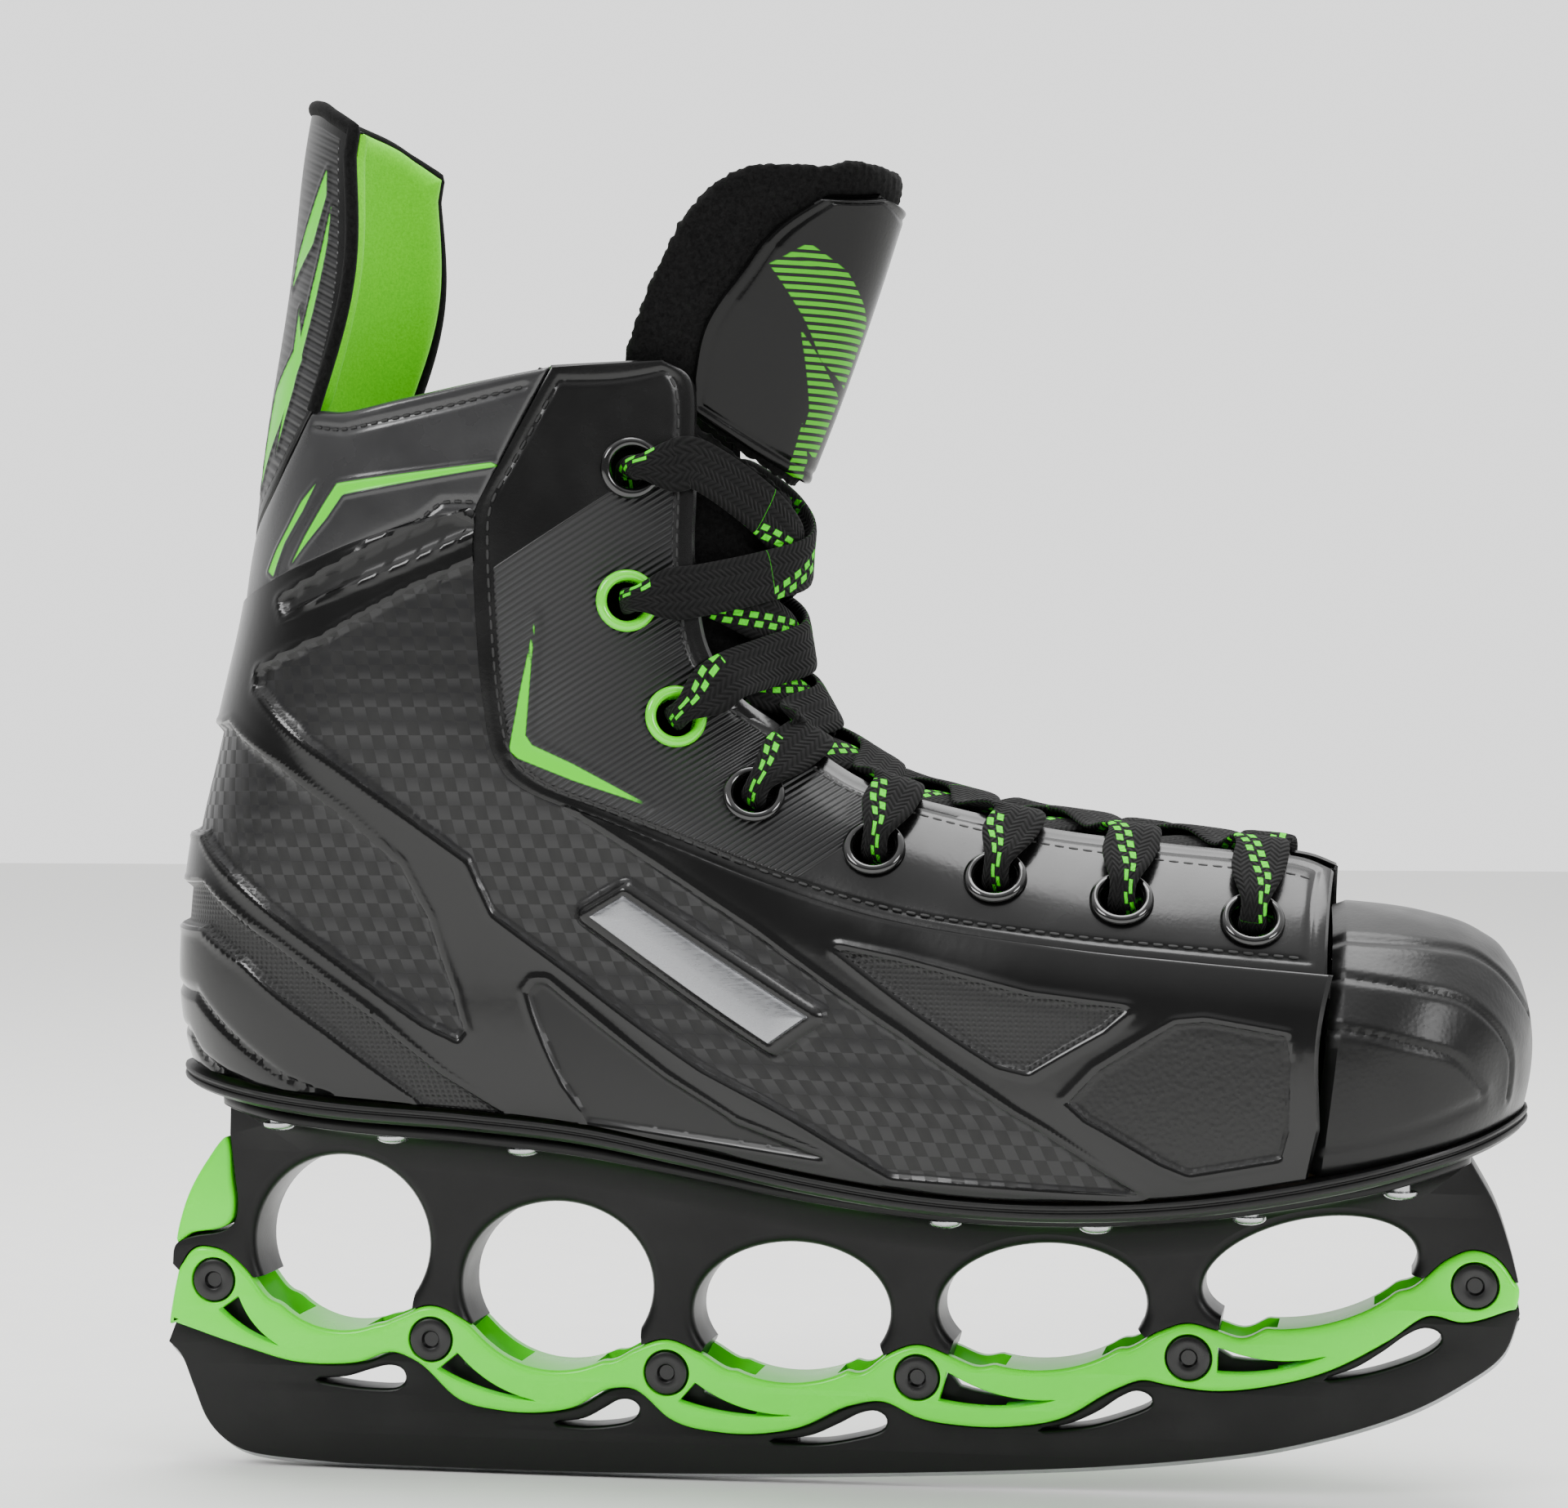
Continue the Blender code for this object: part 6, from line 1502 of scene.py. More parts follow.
LUG, LUG_HALF = 5.0, 2.0        # a lug's radius and half its thickness
RIB_DEPTH, FRONT_RIB_DEPTH = 9.0, 4.0
FORK_HALF, BAND_HALF = 5.6, 9.0
SHARP = 0.0001                  # the edge radius of a cutter
RIVETS_X = [-113.0, -88.5, -60.8, 26.7, 57.0, 87.4, 117.0]

band_low = hermite(BAND_LOW)
band_high = hermite(BAND_HIGH[::-1])


def sole_under(x: np.ndarray) -> np.ndarray:
    """Height of the sole's underside."""
    return sole_top(x) - GAP - SOLE_THICK


def ring(cx: float, cz: float, rx: float, rz: float, tilt: float = 0.0, steps: int = 96) -> np.ndarray:
    """An ellipse in the side view: half lengths along two axes, turned by a tilt in degrees."""
    a = np.arange(steps) * 2 * math.pi / steps
    c, s = math.cos(math.radians(tilt)), math.sin(math.radians(tilt))
    x, z = rx * np.cos(a), rz * np.sin(a)
    return np.column_stack([cx + x * c - z * s, cz + x * s + z * c])


def closed_curve(points: Points, count: int) -> np.ndarray:
    """A smooth closed curve through points, in equal steps."""
    ends = [*points[-3:], *points, *points[:3]]
    fine = through(ends, 12)[36:-24]
    length = np.concatenate([[0], np.cumsum(np.linalg.norm(np.diff(fine, axis=0), axis=1))])
    at = np.arange(count) * length[-1] / count
    return np.column_stack([np.interp(at, length, column) for column in fine.T])


def turned_in(outline: np.ndarray, hole: bool) -> np.ndarray:
    """Unit directions from an outline's corners into the material."""
    step = np.roll(outline, -1, axis=0) - np.roll(outline, 1, axis=0)
    twice = (outline[:, 0] * np.roll(outline[:, 1], -1) - outline[:, 1] * np.roll(outline[:, 0], -1)).sum()
    way = (1 if twice > 0 else -1) * (-1 if hole else 1)
    inward = np.column_stack([-step[:, 1], step[:, 0]]) * way
    return inward / np.maximum(np.linalg.norm(inward, axis=1, keepdims=True), 1e-9)


def plate(loops: Sequence[np.ndarray], radii: Sequence[float], half: float,
          steps: int = 4) -> tuple[np.ndarray, list[np.ndarray]]:
    """A plate across the skate with rounded edges: each outline is carried over a quarter circle to both faces.

    Args:
        loops: the outer outline and its holes, in the side view.
        radii: the edge radius of each loop.
        half: half the plate's thickness.
        steps: steps in a quarter circle.

    Returns:
        The points and the faces.
    """
    rows, faces, start = [], [], 0
    tops, bottoms = [], []
    for k, (loop, radius) in enumerate(zip(loops, radii)):
        inward = turned_in(loop, k > 0)
        turn = np.linspace(0, math.pi / 2, steps + 1)
        inset = np.concatenate([radius * (1 - np.cos(turn))[::-1], radius * (1 - np.cos(turn))])
        depth = half - radius * (1 - np.sin(turn))
        depth = np.concatenate([-depth[::-1], depth])
        flat = loop[None] + inward[None] * inset[:, None, None]
        grid = np.dstack([flat[..., 0], np.broadcast_to(depth[:, None], flat.shape[:2]), flat[..., 1]])
        rows.append(grid.reshape(-1, 3))
        faces.append(grid_faces(*grid.shape[:2], round_columns=True) + start)
        count = grid.shape[1]
        bottoms.append(start + np.arange(count))
        tops.append(start + (grid.shape[0] - 1) * count + np.arange(count))
        start += grid.shape[0] * count
    points = np.concatenate(rows)
    for rim in (bottoms, tops):
        index = np.concatenate(rim)
        filled = tessellate_polygon([[Vector((*points[i, [0, 2]], 0.0)) for i in loop] for loop in rim])
        faces.append(index[np.array(filled)])
    return points, faces


def slab(low: tuple, high: tuple) -> tuple[np.ndarray, list[np.ndarray]]:
    """A box between two corners."""
    corners = np.array([(x, y, z) for x in (low[0], high[0]) for y in (low[1], high[1]) for z in (low[2], high[2])])
    return corners, [np.array([(0, 1, 3, 2), (4, 6, 7, 5), (0, 4, 5, 1), (2, 3, 7, 6), (0, 2, 6, 4), (1, 5, 7, 3)])]


def about_bolt(i: int, angle: float, reach: float) -> np.ndarray:
    """A point at an angle in degrees and a distance from a bolt."""
    turn = math.radians(angle)
    return np.array(BOLTS[i]) + reach * np.array([math.cos(turn), math.sin(turn)])


def slot_edges(i: int, count: int = 26) -> list[np.ndarray]:
    """The upper and lower edges of a slot beside a bolt, as parabolas that sag towards the toe."""
    high, low, end, reach = SLOTS[i]
    tip = about_bolt(i, end, reach)
    edges = []
    for angle, sag in ((high, 0.13), (low, 0.10)):
        start = about_bolt(i, angle, SLOT_START)
        along = tip - start
        bend = (start + tip) / 2 + sag * reach * np.array([along[1], -along[0]]) / np.hypot(*along)
        t = np.linspace(0, 1, count)[:, None]
        edges.append((1 - t) ** 2 * start + 2 * t * (1 - t) * bend + t**2 * tip)
    return edges


def rib_outline(i: int, grow: float = 0.0) -> np.ndarray:
    """The lug round a bolt and the rib that runs on from it behind the slot."""
    x, z = BOLTS[i]
    reach = LUG + grow
    a = np.radians(np.linspace(180, 15 if i < len(SLOTS) else 0, 20))
    lug = np.column_stack([x + reach * np.cos(a), z + reach * np.sin(a)])
    if i == len(SLOTS):
        front = np.array([(x + reach, float(band_low(x)) - FRONT_RIB_DEPTH)])
    else:
        high, low = slot_edges(i)
        line = (0.45 * high + 0.55 * low)[3:] + (0, grow)
        corner = (line[-1, 0] + grow, float(band_low(x)) - RIB_DEPTH)
        front = np.vstack([line, line[-1:] + (grow, -grow), [corner]])
    return np.vstack([lug, front, [(x - reach, front[-1, 1])]])


def band_outline(grow: float = 0.0, windows: bool = False) -> np.ndarray:
    """The stabiliser's outline: two smooth edges, the upper one kept below the windows, moved out by a clearance."""
    x = np.linspace(-141.2, 140.4, 460)
    low = np.column_stack([x, band_low(x) - grow])
    x = np.linspace(140.4, -140.0, 460)
    high = band_high(x) + grow
    if windows:
        for (cx, cz, rx, rz, tilt), (rear, fore) in zip(WINDOWS, SADDLES):
            edge = ring(cx, cz, rx - 0.02, rz, tilt, 400)
            edge = edge[edge[:, 1] < cz + np.tan(math.radians(tilt)) * (edge[:, 0] - cx)]
            edge = edge[np.argsort(edge[:, 0])]
            under = np.interp(x, edge[:, 0], edge[:, 1], left=1e3, right=1e3)
            high = np.where((x > rear) & (x < fore), under, np.minimum(high, under))
    high = np.column_stack([x, high])
    low[0, 0] -= grow
    low[-1, 0] += grow
    high[0, 0] += grow
    high[-1, 0] -= grow
    return np.vstack([low, high])


@dataclass
class Holder:
    """The black nylon holder: a flange that flares from a web with five windows, and six forked legs."""

    finish: bpy.types.Material
    leg_half: float = 8.6
    flange_half: float = 27.0
    round: float = 2.4

    def outline(self) -> np.ndarray:
        """The side view: the rear edge in front of the clip, six feet, the front edge and the top."""
        rear = [(-127.8, 69.6), (-126.7, 60.5), (-126.1, 55.3), (-126.9, 50.7), (-130.2, 48.7), (-136.0, 47.7),
                (-139.9, 45.7), (-140.6, 41.0)]
        parts = [evenly(rear, 60)[:-1]]
        for i, (x, z) in enumerate(BOLTS):
            a = np.radians(np.linspace(180 if i else 195, 360, 24))
            parts.append(np.column_stack([x + 5.0 * np.cos(a), z + 5.0 * np.sin(a)]))
            if i < len(WINDOWS):
                cx, cz, rx, rz, tilt = WINDOWS[i]
                arc = np.radians(np.linspace(205, 335, 20))
                c, s = math.cos(math.radians(tilt)), math.sin(math.radians(tilt))
                px, pz = (rx - 1) * np.cos(arc), (rz - 1) * np.sin(arc)
                parts.append(np.column_stack([cx + px * c - pz * s, cz + px * s + pz * c]))
        parts.append(evenly([(140.2, 44.8), (138.4, 52.0), (135.6, 60.2), (131.0, 68.6)], 40))
        xs = np.linspace(129.5, -127.6, 90)
        parts.append(np.column_stack([xs, sole_under(xs) - GAP - 1.25]))
        return np.vstack(parts)

    def flange(self) -> tuple[np.ndarray, list[np.ndarray]]:
        """A section that flares by a smooth curve from the web to the flange, carried under the sole's curve."""
        half = np.array([(self.leg_half - 0.5, -15.0), (self.leg_half + 0.2, -10.5), (10.4, -7.0), (12.4, -4.7),
                         (15.0, -3.3), (18.0, -2.7), (self.flange_half - 1.2, -2.5), (self.flange_half - 0.3, -2.1),
                         (self.flange_half, -1.3), (self.flange_half - 0.3, -0.4), (self.flange_half - 1.2, 0.0)])
        curve = through(half, 4)
        section = np.vstack([curve * (-1, 1), curve[::-1]])
        t = np.linspace(-1, 1, 150)
        x = 1.5 + 129.3 * np.sin(t * math.pi / 2)
        narrow = 1 - 0.3 * (smoothstep(112, 131, x) + smoothstep(108, 128, -x))
        narrow *= 0.6 + 0.4 * roundoff((129.3 - np.abs(x - 1.5)) / 9)
        grid = np.dstack([np.broadcast_to(x[:, None], (150, len(section))), section[None, :, 0] * narrow[:, None],
                          (sole_under(x) - GAP)[:, None] + section[None, :, 1]])
        return capped_tube(grid)

    def bell(self, window: tuple) -> tuple[np.ndarray, list[np.ndarray]]:
        """The cutter of a window: an elliptic tube that widens over a quarter circle to each face of the web."""
        turn = np.linspace(0, math.pi / 2, 7)
        grow, depth = self.round * (1 - np.cos(turn)), self.leg_half - self.round * (1 - np.sin(turn))
        grow = np.concatenate([[self.round], grow[::-1], grow, [self.round]])
        depth = np.concatenate([[-20.0], -depth[::-1], depth, [20.0]])
        cx, cz, rx, rz, tilt = window
        flat = np.stack([ring(cx, cz, rx + g, rz + g, tilt) for g in grow])
        return capped_tube(np.dstack([flat[..., 0], np.broadcast_to(depth[:, None], flat.shape[:2]), flat[..., 1]]))

    def build(self) -> None:
        """Makes the web with rounded windows, adds the flange and cuts the seats of the stabiliser and the lugs."""
        points, faces = plate([self.outline()], [0.35], self.leg_half, 3)
        web = new_object("runner_holder", points, faces, self.finish, weld=True, outward=True)
        points, faces = self.flange()
        cut(web, new_object("flare", points, faces, self.finish, outward=True), "UNION")
        cheeks = []
        for side in (-1, 1):
            points, faces = plate([band_outline(GAP)], [SHARP], 20.0, 1)
            cheeks.append((points + (0.0, side * (20.0 + FORK_HALF), 0.0), faces))
        gaps = [slab((low - GAP, -40.0, -5.0), (high + GAP, 40.0, WINDOWS[i][1]))
                for i, (low, high) in enumerate(SADDLES)]
        forks = [plate([rib_outline(i, 2 * GAP)], [SHARP], LUG_HALF + GAP, 1) for i in range(len(BOLTS))]
        bells = [self.bell(window) for window in WINDOWS]
        cut_groups(web, (bells, cheeks, gaps, forks), self.finish)
        dressed(web, Ride(replaces=("holder",), slot="holder_nylon"))


@dataclass
class Stabiliser:
    """The green band that wraps the holder's legs: two cheeks, a saddle under each window and curved slots."""

    finish: bpy.types.Material

    def build(self) -> None:
        """Makes the band with its slots and bolt holes and cuts the pockets for the legs and the ribs."""
        slots = []
        for i in range(len(SLOTS)):
            high, low = slot_edges(i)
            slots.append(np.vstack([high[:-1], low[::-1]]))
        holes = [ring(x, z, BOLT_HEAD + GAP, BOLT_HEAD + GAP, 0, 56) for x, z in BOLTS]
        outline = closed_curve(band_outline(windows=True)[::2], 900)
        points, faces = plate([outline, *slots, *holes], [1.1] + [0.45] * len(slots) + [0.35] * len(holes), BAND_HALF)
        band = new_object("stabiliser_band", points, faces, self.finish, weld=True, outward=True)
        ends = [-148.0, *[x for pair in SADDLES for x in pair], 146.0]
        reach = FORK_HALF + GAP
        pockets = [slab((low, -reach, -5.0), (high, reach, 70.0)) for low, high in zip(ends[0::2], ends[1::2])]
        ribs = [plate([rib_outline(i, 2 * GAP)], [SHARP], LUG_HALF + GAP, 1) for i in range(len(BOLTS))]
        cut_groups(band, (pockets, ribs), self.finish)
        dressed(band, Ride(replaces=("stabiliser",), slot="green_nylon"))


@dataclass
class Runner:
    """The replaceable runner: a steel edge in a black body with teardrop openings, held by six bolts."""

    steel: bpy.types.Material
    body: bpy.types.Material
    bolt: bpy.types.Material
    steel_half: float = 1.45
    body_half: float = 4.2
    shows: float = 1.2

    def build(self) -> None:
        """Makes the steel, the body round it and the bolts."""
        low = through(PROFILE, 12)
        low[:, 1] = np.maximum(low[:, 1], -1.7)
        high = through([(x, z + 7.0) for x, z in PROFILE[3:-3]], 12)[::-1]
        points, faces = plate([np.vstack([low, high])], [0.12], self.steel_half, 2)
        piece("steel_runner", points, faces, self.steel, Ride(replaces=("runner_steel",), slot="blade_steel"),
              weld=True, outward=True)
        low = through([(x, z + self.shows) for x, z in PROFILE], 12)
        x = np.linspace(140.4, -141.2, 420)
        high = np.column_stack([x, band_low(x) - 2 * GAP])
        drops = [closed_curve(drop, 60) for drop in TEARDROPS]
        body = plate([np.vstack([low, high]), *drops], [0.5] + [0.9] * len(drops), self.body_half)
        lugs = [plate([rib_outline(i)], [0.2], LUG_HALF, 2) for i in range(len(BOLTS))]
        points, faces = merged([body, *lugs])
        piece("runner_body", points, faces, self.body, Ride(replaces=("runner_carrier",), slot="holder_nylon"),
              weld=True, outward=True)
        for i, (x, z) in enumerate(BOLTS):
            self.bolt_at(i + 1, x, z)

    def bolt_at(self, number: int, x: float, z: float) -> None:
        """A bolt across the holder with a crowned head and a shallow socket in each cheek."""
        head = [(0.0, 8.1), (1.5, 8.1), (1.9, 8.9), (2.3, 9.05), (3.9, 9.0), (4.3, 8.85), (BOLT_HEAD, 8.4),
                (BOLT_HEAD, FORK_HALF + GAP), (BOLT_SHANK, FORK_HALF + GAP)]
        profile = np.array(head + [(r, -h) for r, h in head[::-1]])
        points, faces = turned(profile, np.array([x, 0.0, z]), np.array([0.0, -1.0, 0.0]), 48, closed=False)
        piece(f"bolt_{number}", points, faces, self.bolt,
              Ride(replaces=(f"runner_bolt_{number}",), slot="bolt_black"), weld=True, outward=True)


@dataclass
class Hardware:
    """Small parts: rivets under the flange, rolled eyelets in two colours and the green clip at the heel."""

    rivet: bpy.types.Material
    black: bpy.types.Material
    green: bpy.types.Material
    clip: bpy.types.Material
    rivet_y: float = 20.0
    head: float = 3.4
    rim: float = 6.3
    bore: float = 3.9

    def build(self) -> None:
        """Makes all of them."""
        for number, (x, side) in enumerate(((x, side) for x in RIVETS_X for _, side in SIDES), 1):
            self.rivet_at(number, x, side)
        for name, side in SIDES:
            for i in range(len(EYELETS)):
                self.eyelet_at(name, side, i)
        points, faces = plate([closed_curve(CLIP, 160)], [1.0], BAND_HALF, 4)
        piece("clip", points, faces, self.clip, Ride(replaces=("heel_clip",), slot="green_nylon"),
              weld=True, outward=True)

    def rivet_at(self, number: int, x: float, side: int) -> None:
        """A rivet with a domed head under the flange, a shank and a flat head on the lasting board."""
        lean = abs(float(sole_under(x + 1) - sole_under(x - 1))) / 2 * self.head
        under, over = -2 * GAP - 2.5 - lean, SOLE_THICK + 2 * GAP + 2.0 + lean
        dome = [(self.head * math.sin(a), under - 0.4 - 1.3 * math.cos(a)) for a in np.linspace(1.35, 0, 8)]
        profile = np.array([(0.0, over + 0.9), (self.head - 0.7, over + 0.9), (self.head - 0.4, over + 0.6),
                            (self.head - 0.4, over), (2.0, over), (2.0, under), (self.head, under),
                            (self.head, under - 0.4), *dome])
        profile[-1, 0] = 0.0
        place = np.array([x, side * self.rivet_y, float(sole_under(x))])
        points, faces = turned(profile, place, np.array([0.0, 0.0, 1.0]), 32, closed=False)
        piece(f"sole_rivet_{number:02d}", points, faces, self.rivet,
              Ride(replaces=(f"rivet_{number:02d}",), slot="rivet_steel"), weld=True, outward=True)

    def eyelet_at(self, name: str, side: int, i: int) -> None:
        """A rolled eyelet: its rim is half a torus on the facing, its barrel goes through it."""
        x, z = EYELETS[i]
        centre, normal = surface_point(x, z, side)
        mid, thick = (self.rim + self.bore + 0.2) / 2, (self.rim - self.bore - 0.2) / 2
        roll = [(mid - thick * math.cos(a), 0.6 + 1.05 * math.sin(a)) for a in np.linspace(0.0, math.pi, 14)]
        profile = np.array([*roll, (4.8, 0.6), (4.8, -PANEL - 0.6), (self.bore, -PANEL - 0.6)])
        points, faces = turned(profile, centre, normal, 56)
        finish, slot = (self.green, "eyelet_green") if i in GREEN_EYELETS else (self.black, "eyelet_black")
        piece(f"eye_{name}_{i + 1}", points, faces, finish, Ride(replaces=(f"eyelet_{name}_{i + 1}",), slot=slot),
              outward=True)


@dataclass
class Bottom:
    """Outsole with two lip beads, the lasting board and the footbed."""

    sole: bpy.types.Material
    board: bpy.types.Material
    foam: bpy.types.Material
    toe: float = 139.6
    toe_round: float = 44.0

    def level(self, inset: float, height: float, shrink: float, count: int = 200) -> np.ndarray:
        """One closed line round the plan outline: its half width is scaled by two quarter circles at the ends."""
        heel, toe = float(back_line(85)) + inset, self.toe - inset
        x = (heel + toe) / 2 - (toe - heel) / 2 * np.cos(np.linspace(0.03, math.pi - 0.03, count))
        ends = roundoff((x - heel) / HEEL_ROUND) * roundoff((toe - x) / self.toe_round) ** 0.85
        half = (low_width(x) * WELT_SHARE - inset) * ends * shrink
        z = sole_top(x) - GAP + height
        return np.vstack([np.column_stack([x, -half, z]), np.column_stack([x, half, z])[::-1]])

    def layer(self, name: str, levels: Sequence, finish: bpy.types.Material, ride: Ride) -> None:
        """A solid through levels of (inset, height, share of the width)."""
        grid = np.stack([self.level(*level) for level in levels])
        faces = grid_faces(*grid.shape[:2], round_columns=True)
        piece(name, grid.reshape(-1, 3), [faces], finish, ride, weld=True, outward=True)

    def build(self) -> None:
        """Makes the three layers."""
        out = -2.6
        beads = [(out + 0.6, 0.0), (out + 0.12, -0.15), (out, -0.55), (out + 0.1, -1.0), (out + 0.5, -1.25),
                 (out + 0.5, -1.5), (out + 0.1, -1.75), (out, -2.2), (out + 0.12, -2.7), (out + 0.7, -2.95),
                 (out + 1.0, -3.3), (out + 2.0, -3.6)]
        levels = [(out + 0.6, 0.0, 0.0), (out + 0.6, 0.0, 0.5), *[(i, h, 1.0) for i, h in beads],
                  (out + 2.0, -3.6, 0.5), (out + 2.0, -3.6, 0.0)]
        self.layer("sole_plate", levels, self.sole, Ride(replaces=("outsole",), slot="sole"))
        for name, node, inset, top, thick, finish, slot in (
                ("board_inside", "lasting_board", 4.4, GAP + 2.0, 2.0, self.board, "board"),
                ("insole", "footbed", 10.0, GAP + 2.0 + 2.9 + 4.0, 4.0, self.foam, "foam")):
            rim = [(inset + 0.6, top), (inset + 0.15, top - 0.2), (inset, top - 0.7), (inset, top - thick + 0.5),
                   (inset + 0.5, top - thick)]
            levels = [(rim[0][0], top, 0.0), (rim[0][0], top, 0.5), *[(i, h, 1.0) for i, h in rim],
                      (rim[-1][0], top - thick, 0.5), (rim[-1][0], top - thick, 0.0)]
            self.layer(name, levels, finish, Ride(replaces=(node,), slot=slot))


# ------------------------------------------------------------------------------------------- studio
class Lamp(Enum):
    """The soft lights of the studio by where they stand."""

    KEY = "key"
    FILL = "fill"
    TOP = "top"


@dataclass
class Studio:
    """A pale floor, a white surround, three soft area lights and a level camera at the lateral side."""

    floor_finish: bpy.types.Material
    target: tuple = (-0.0099, 0.0, 0.1518)
    distance: float = 0.75
    turn: float = 10.0
    width: float = 0.3274
    front: float = 0.3
    back: float = 1.3
    above: float = 1.1
    seen: float = 1.75
    lamps: dict = field(default_factory=lambda: {
        Lamp.KEY: ((-0.9, -1.3, 1.2), 0.6, 18.0), Lamp.FILL: ((1.3, -0.9, 0.8), 0.5, 11.0),
        Lamp.TOP: ((0.1, 0.1, 1.6), 0.9, 24.0)})

    def build(self) -> None:
        """Makes the floor, the light and the camera."""
        side = 4.0
        corners = np.array([(-side, -side), (side, -side), (side, side), (-side, side)]) / MM
        points = np.column_stack([corners, np.full(4, -DATUM)])
        floor = new_object("floor", points, [np.array([(0, 1, 2, 3)])], self.floor_finish)
        self.surround()
        for lamp, (place, size, power) in self.lamps.items():
            data = bpy.data.lights.new(lamp.value, "AREA")
            data.shape, data.size, data.energy = "SQUARE", size, power
            obj = bpy.data.objects.new(lamp.value, data)
            obj.location = place
            obj.rotation_euler = (Vector(self.target) - Vector(place)).to_track_quat("-Z", "Y").to_euler()
            bpy.context.scene.collection.objects.link(obj)
        self.camera()

    def surround(self) -> None:
        """A white surround, seen evenly, that lights less from the camera's side than from behind and above."""
        world = bpy.data.worlds.new("surround")
        world.use_nodes = True
        tree = world.node_tree
        way = add(tree, "SeparateXYZ", {0: add(tree, "TexCoord").node.outputs["Generated"]}).node
        behind = add(tree, "MapRange", {0: way.outputs[1], 1: -0.35, 2: 0.6, 3: self.front, 4: self.back})
        above = add(tree, "MapRange", {0: way.outputs[2], 1: 0.35, 2: 0.9, 3: 0.0, 4: self.above})
        light = add(tree, "Math", {0: behind, 1: above}, operation="ADD")
        seen = add(tree, "LightPath").node.outputs["Is Camera Ray"]
        glow = tree.nodes["Background"]
        glow.inputs["Color"].default_value = (1.0, 1.0, 1.0, 1.0)
        tree.links.new(chosen(tree, seen, light, self.seen), glow.inputs["Strength"])
        bpy.context.scene.world = world

    def camera(self) -> None:
        """A camera whose frame is a given width at the skate's middle plane."""
        angle = math.radians(self.turn)
        data = bpy.data.cameras.new("camera")
        data.sensor_width, data.sensor_fit = 36.0, "HORIZONTAL"
        data.lens = 36.0 * self.distance / self.width
        data.dof.use_dof = False
        obj = bpy.data.objects.new("camera", data)
        away = Vector((math.sin(angle), -math.cos(angle), 0.0)) * self.distance
        obj.location = Vector(self.target) + away
        obj.rotation_euler = (-away).to_track_quat("-Z", "Y").to_euler()
        bpy.context.scene.collection.objects.link(obj)
        bpy.context.scene.camera = obj


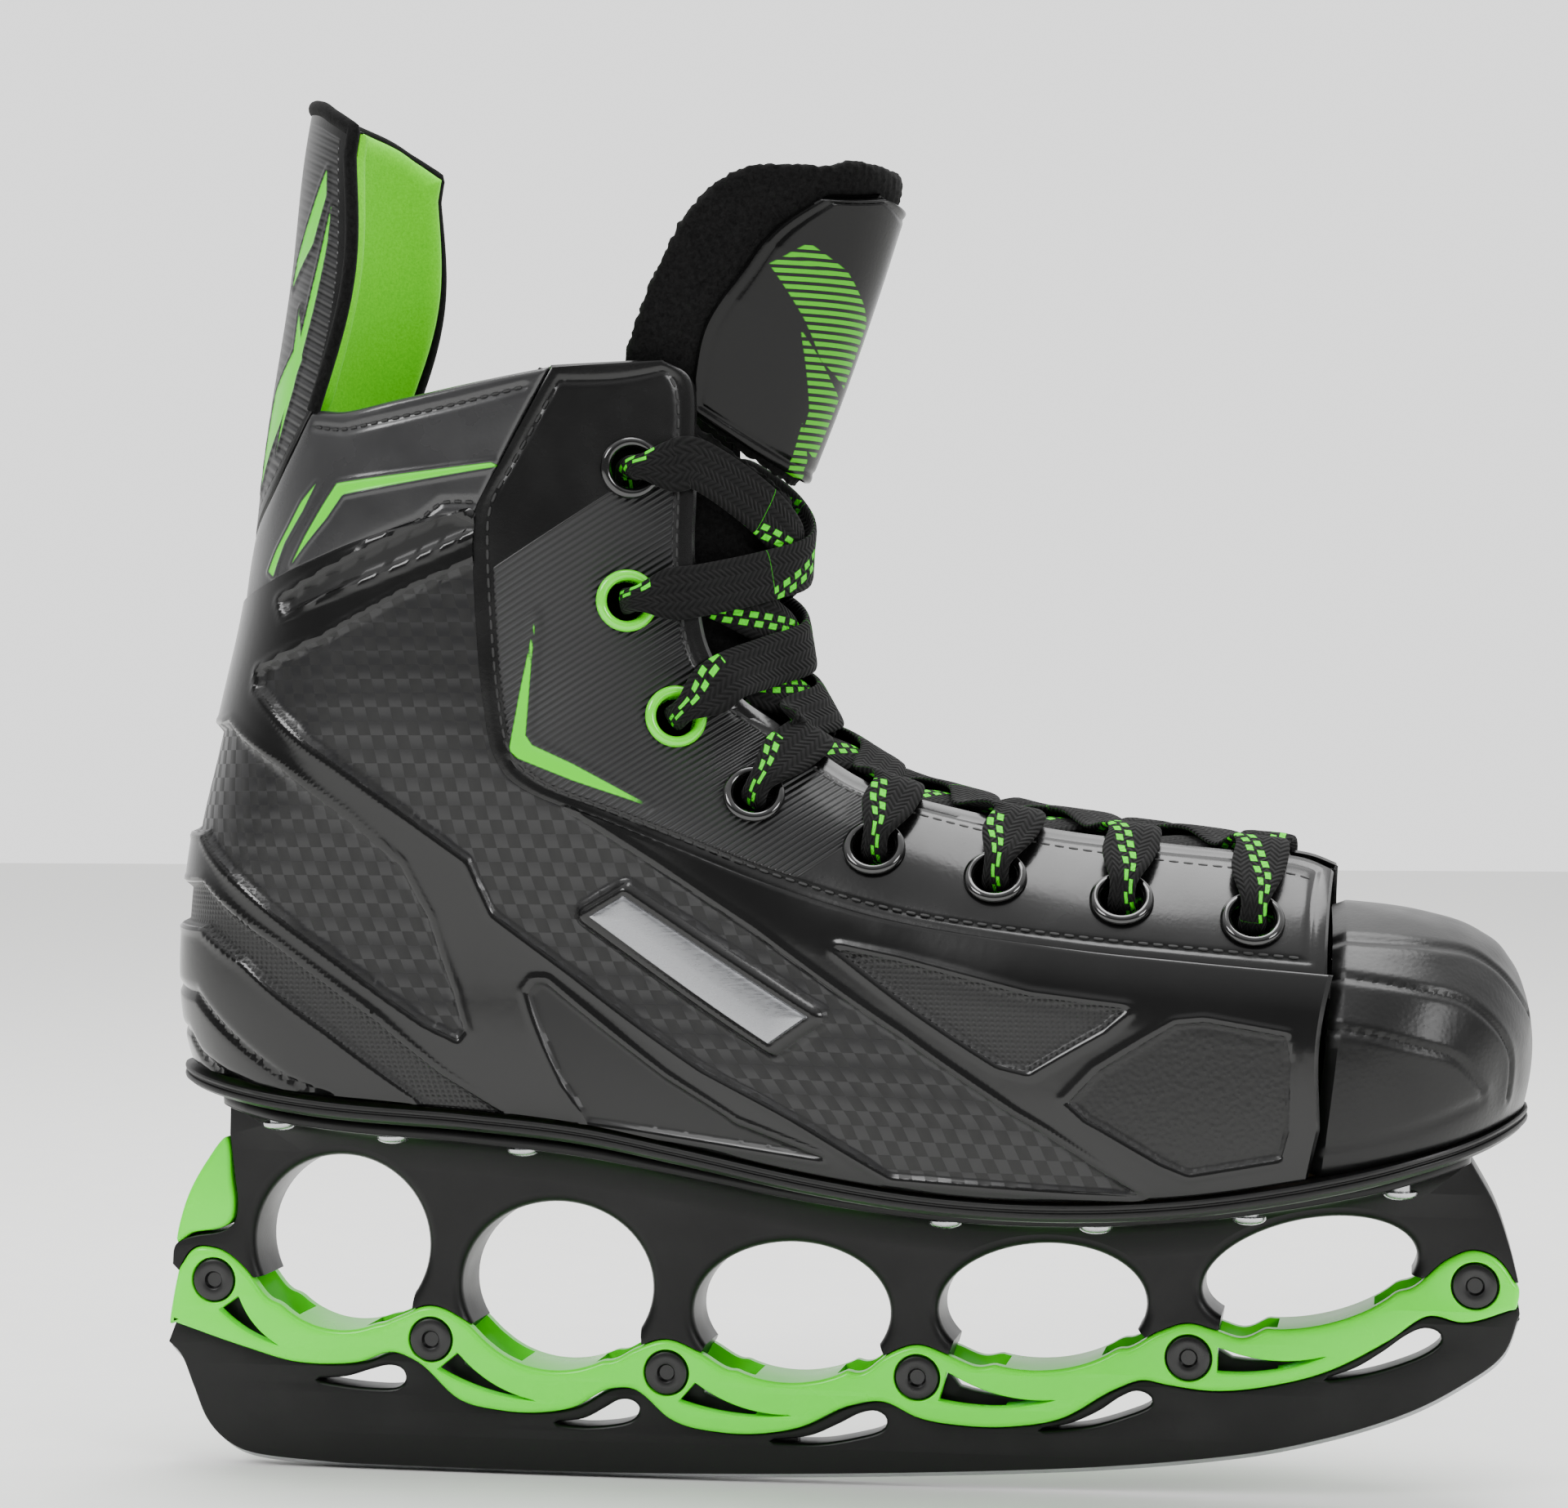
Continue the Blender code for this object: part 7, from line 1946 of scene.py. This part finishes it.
def main() -> None:
    """Builds every sub-assembly."""
    logging.basicConfig(level=logging.INFO, format="%(message)s")
    # Injection-moulded boot shell, glossy black with satin inlays
    shell = MouldedShell("shell_gloss_black", "#0e0e0e", roughness=0.17, spread=0.04, ior=1.42, coat=0.1,
                         coat_roughness=0.05).build()
    # Patent synthetic leather, embossed, on the lace facings
    facing = RibbedPatent("facing_patent_black", "#0d0d0d", roughness=0.24, ior=1.4, coat=0.1).build()
    # Grey-black patent on the padded collar
    collar = RibbedPatent("collar_patent_grey", "#2e2e2f", roughness=0.26, coat=0.15).build()
    # Ribbed thermoformed shell on the tendon guard
    guard = RibbedPatent("guard_ribbed_black", "#111111", roughness=0.3, ior=1.4, pitch=1.9, rise=-28.0).build()
    # Needled felt, soft and fibrous
    felt = Felt("felt_black", "#040404", second="#161616", roughness=0.95, spread=0.03, ior=1.15, sheen=0.04).build()
    # Brushed microfibre, bright green, its nap catches the light at the edges
    lining = Felt("lining_microfibre_green", "#58c400", second="#70dc00", roughness=0.9, spread=0.05, ior=1.2,
                  sheen=0.08, fibre=0.6, relief=0.015).build()
    # Screen-printed patent on the tongue
    printed = Hatched("tongue_print_black", "#0a0a0a", roughness=0.2, ior=1.3).build()
    # Bonded nylon sewing thread
    thread = Finish("thread_black", "#232323", roughness=0.55, grain=0.2, relief=0.02).build()
    # Textured satin toe cap, its fine moulded grain breaks the light up
    toe = Cells("toe_satin_black", "#0f0f0f", roughness=0.34, ior=1.38, grain=0.9, relief=0.035).build()
    # Glass-filled nylon, a faint haze of fibres at the surface
    nylon = Finish("holder_nylon_black", "#0a0a0a", second="#101010", roughness=0.36, ior=1.33, grain=0.5).build()
    # Bright green nylon, moulded glossy
    green = Finish("nylon_green", "#48ee00", second="#52f800", roughness=0.3, spread=0.04, ior=1.4, grain=0.8,
                   relief=0.01, coat=0.15).build()
    # Ground stainless steel, scratched along the runner
    steel = Brushed("steel_ground", "#b9babc", second="#8f9092", metallic=1.0, roughness=0.28, grain=0.25,
                    relief=0.004).build()
    # Nameplate of brushed aluminium
    plate_metal = Brushed("badge_brushed_silver", "#9c9da0", second="#8a8b8e", metallic=0.9, roughness=0.3,
                          grain=0.3, relief=0.004).build()
    # Zinc-plated rivet heads
    zinc = Brushed("rivet_zinc", "#c9cacb", second="#9c9d9f", metallic=1.0, roughness=0.26, grain=0.4,
                   relief=0.004, stretch=(1.0, 1.0, 1.0)).build()
    # Black-oxide bolt heads
    oxide = Finish("bolt_black_oxide", "#0a0a0a", roughness=0.3, grain=0.4, relief=0.006).build()
    # Enamelled brass eyelets
    enamel = Finish("eyelet_black_enamel", "#0b0b0b", roughness=0.12, spread=0.03, coat=0.6, coat_roughness=0.05,
                    grain=0.6, relief=0.004).build()
    enamel_green = Finish("eyelet_green_enamel", "#4fdc00", second="#5cf000", roughness=0.16, spread=0.03, coat=0.5,
                          coat_roughness=0.06, grain=0.6, relief=0.004).build()
    # Dense rubbery outsole
    rubber = Finish("outsole_black", "#0d0d0d", roughness=0.42, ior=1.42, grain=0.5, relief=0.02).build()
    # Pressed fibre board and closed-cell foam inside the boot
    board = Felt("board_fibre", "#6d5a41", second="#7d6a50", roughness=0.85, fibre=1.2, relief=0.006).build()
    board_black = Finish("counter_black", "#0c0c0c", roughness=0.7).build()
    foam = Cells("foam_black", "#202020", roughness=0.85, grain=0.7, relief=0.08).build()
    # Flat-braided polyester lace
    braid = Braid("lace_braid_black", "#0a0a0a", roughness=0.82, spread=0.06, ior=1.25, sheen=0.03).build()
    # Pale paper sweep
    paper = Finish("floor_paper", "#f4f4f2", second="#efefed", roughness=0.8, grain=1.0, relief=0.02,
                   mottle=0.01).build()
    Holder(nylon).build()
    Stabiliser(green).build()
    Runner(steel, nylon, oxide).build()
    Hardware(zinc, enamel, enamel_green, green).build()
    Bottom(rubber, board, foam).build()
    Quarters(shell, plate_metal).build()
    Facings(facing, thread).build()
    Collar(collar, thread).build()
    Guard(guard, felt, lining).build()
    Inside(lining, board_black).build()
    ToeCap(toe).build()
    tongue = Tongue(felt, printed)
    tongue.build()
    Lace(braid, tongue).build()
    Studio(paper).build()


if __name__ == "__main__":
    main()
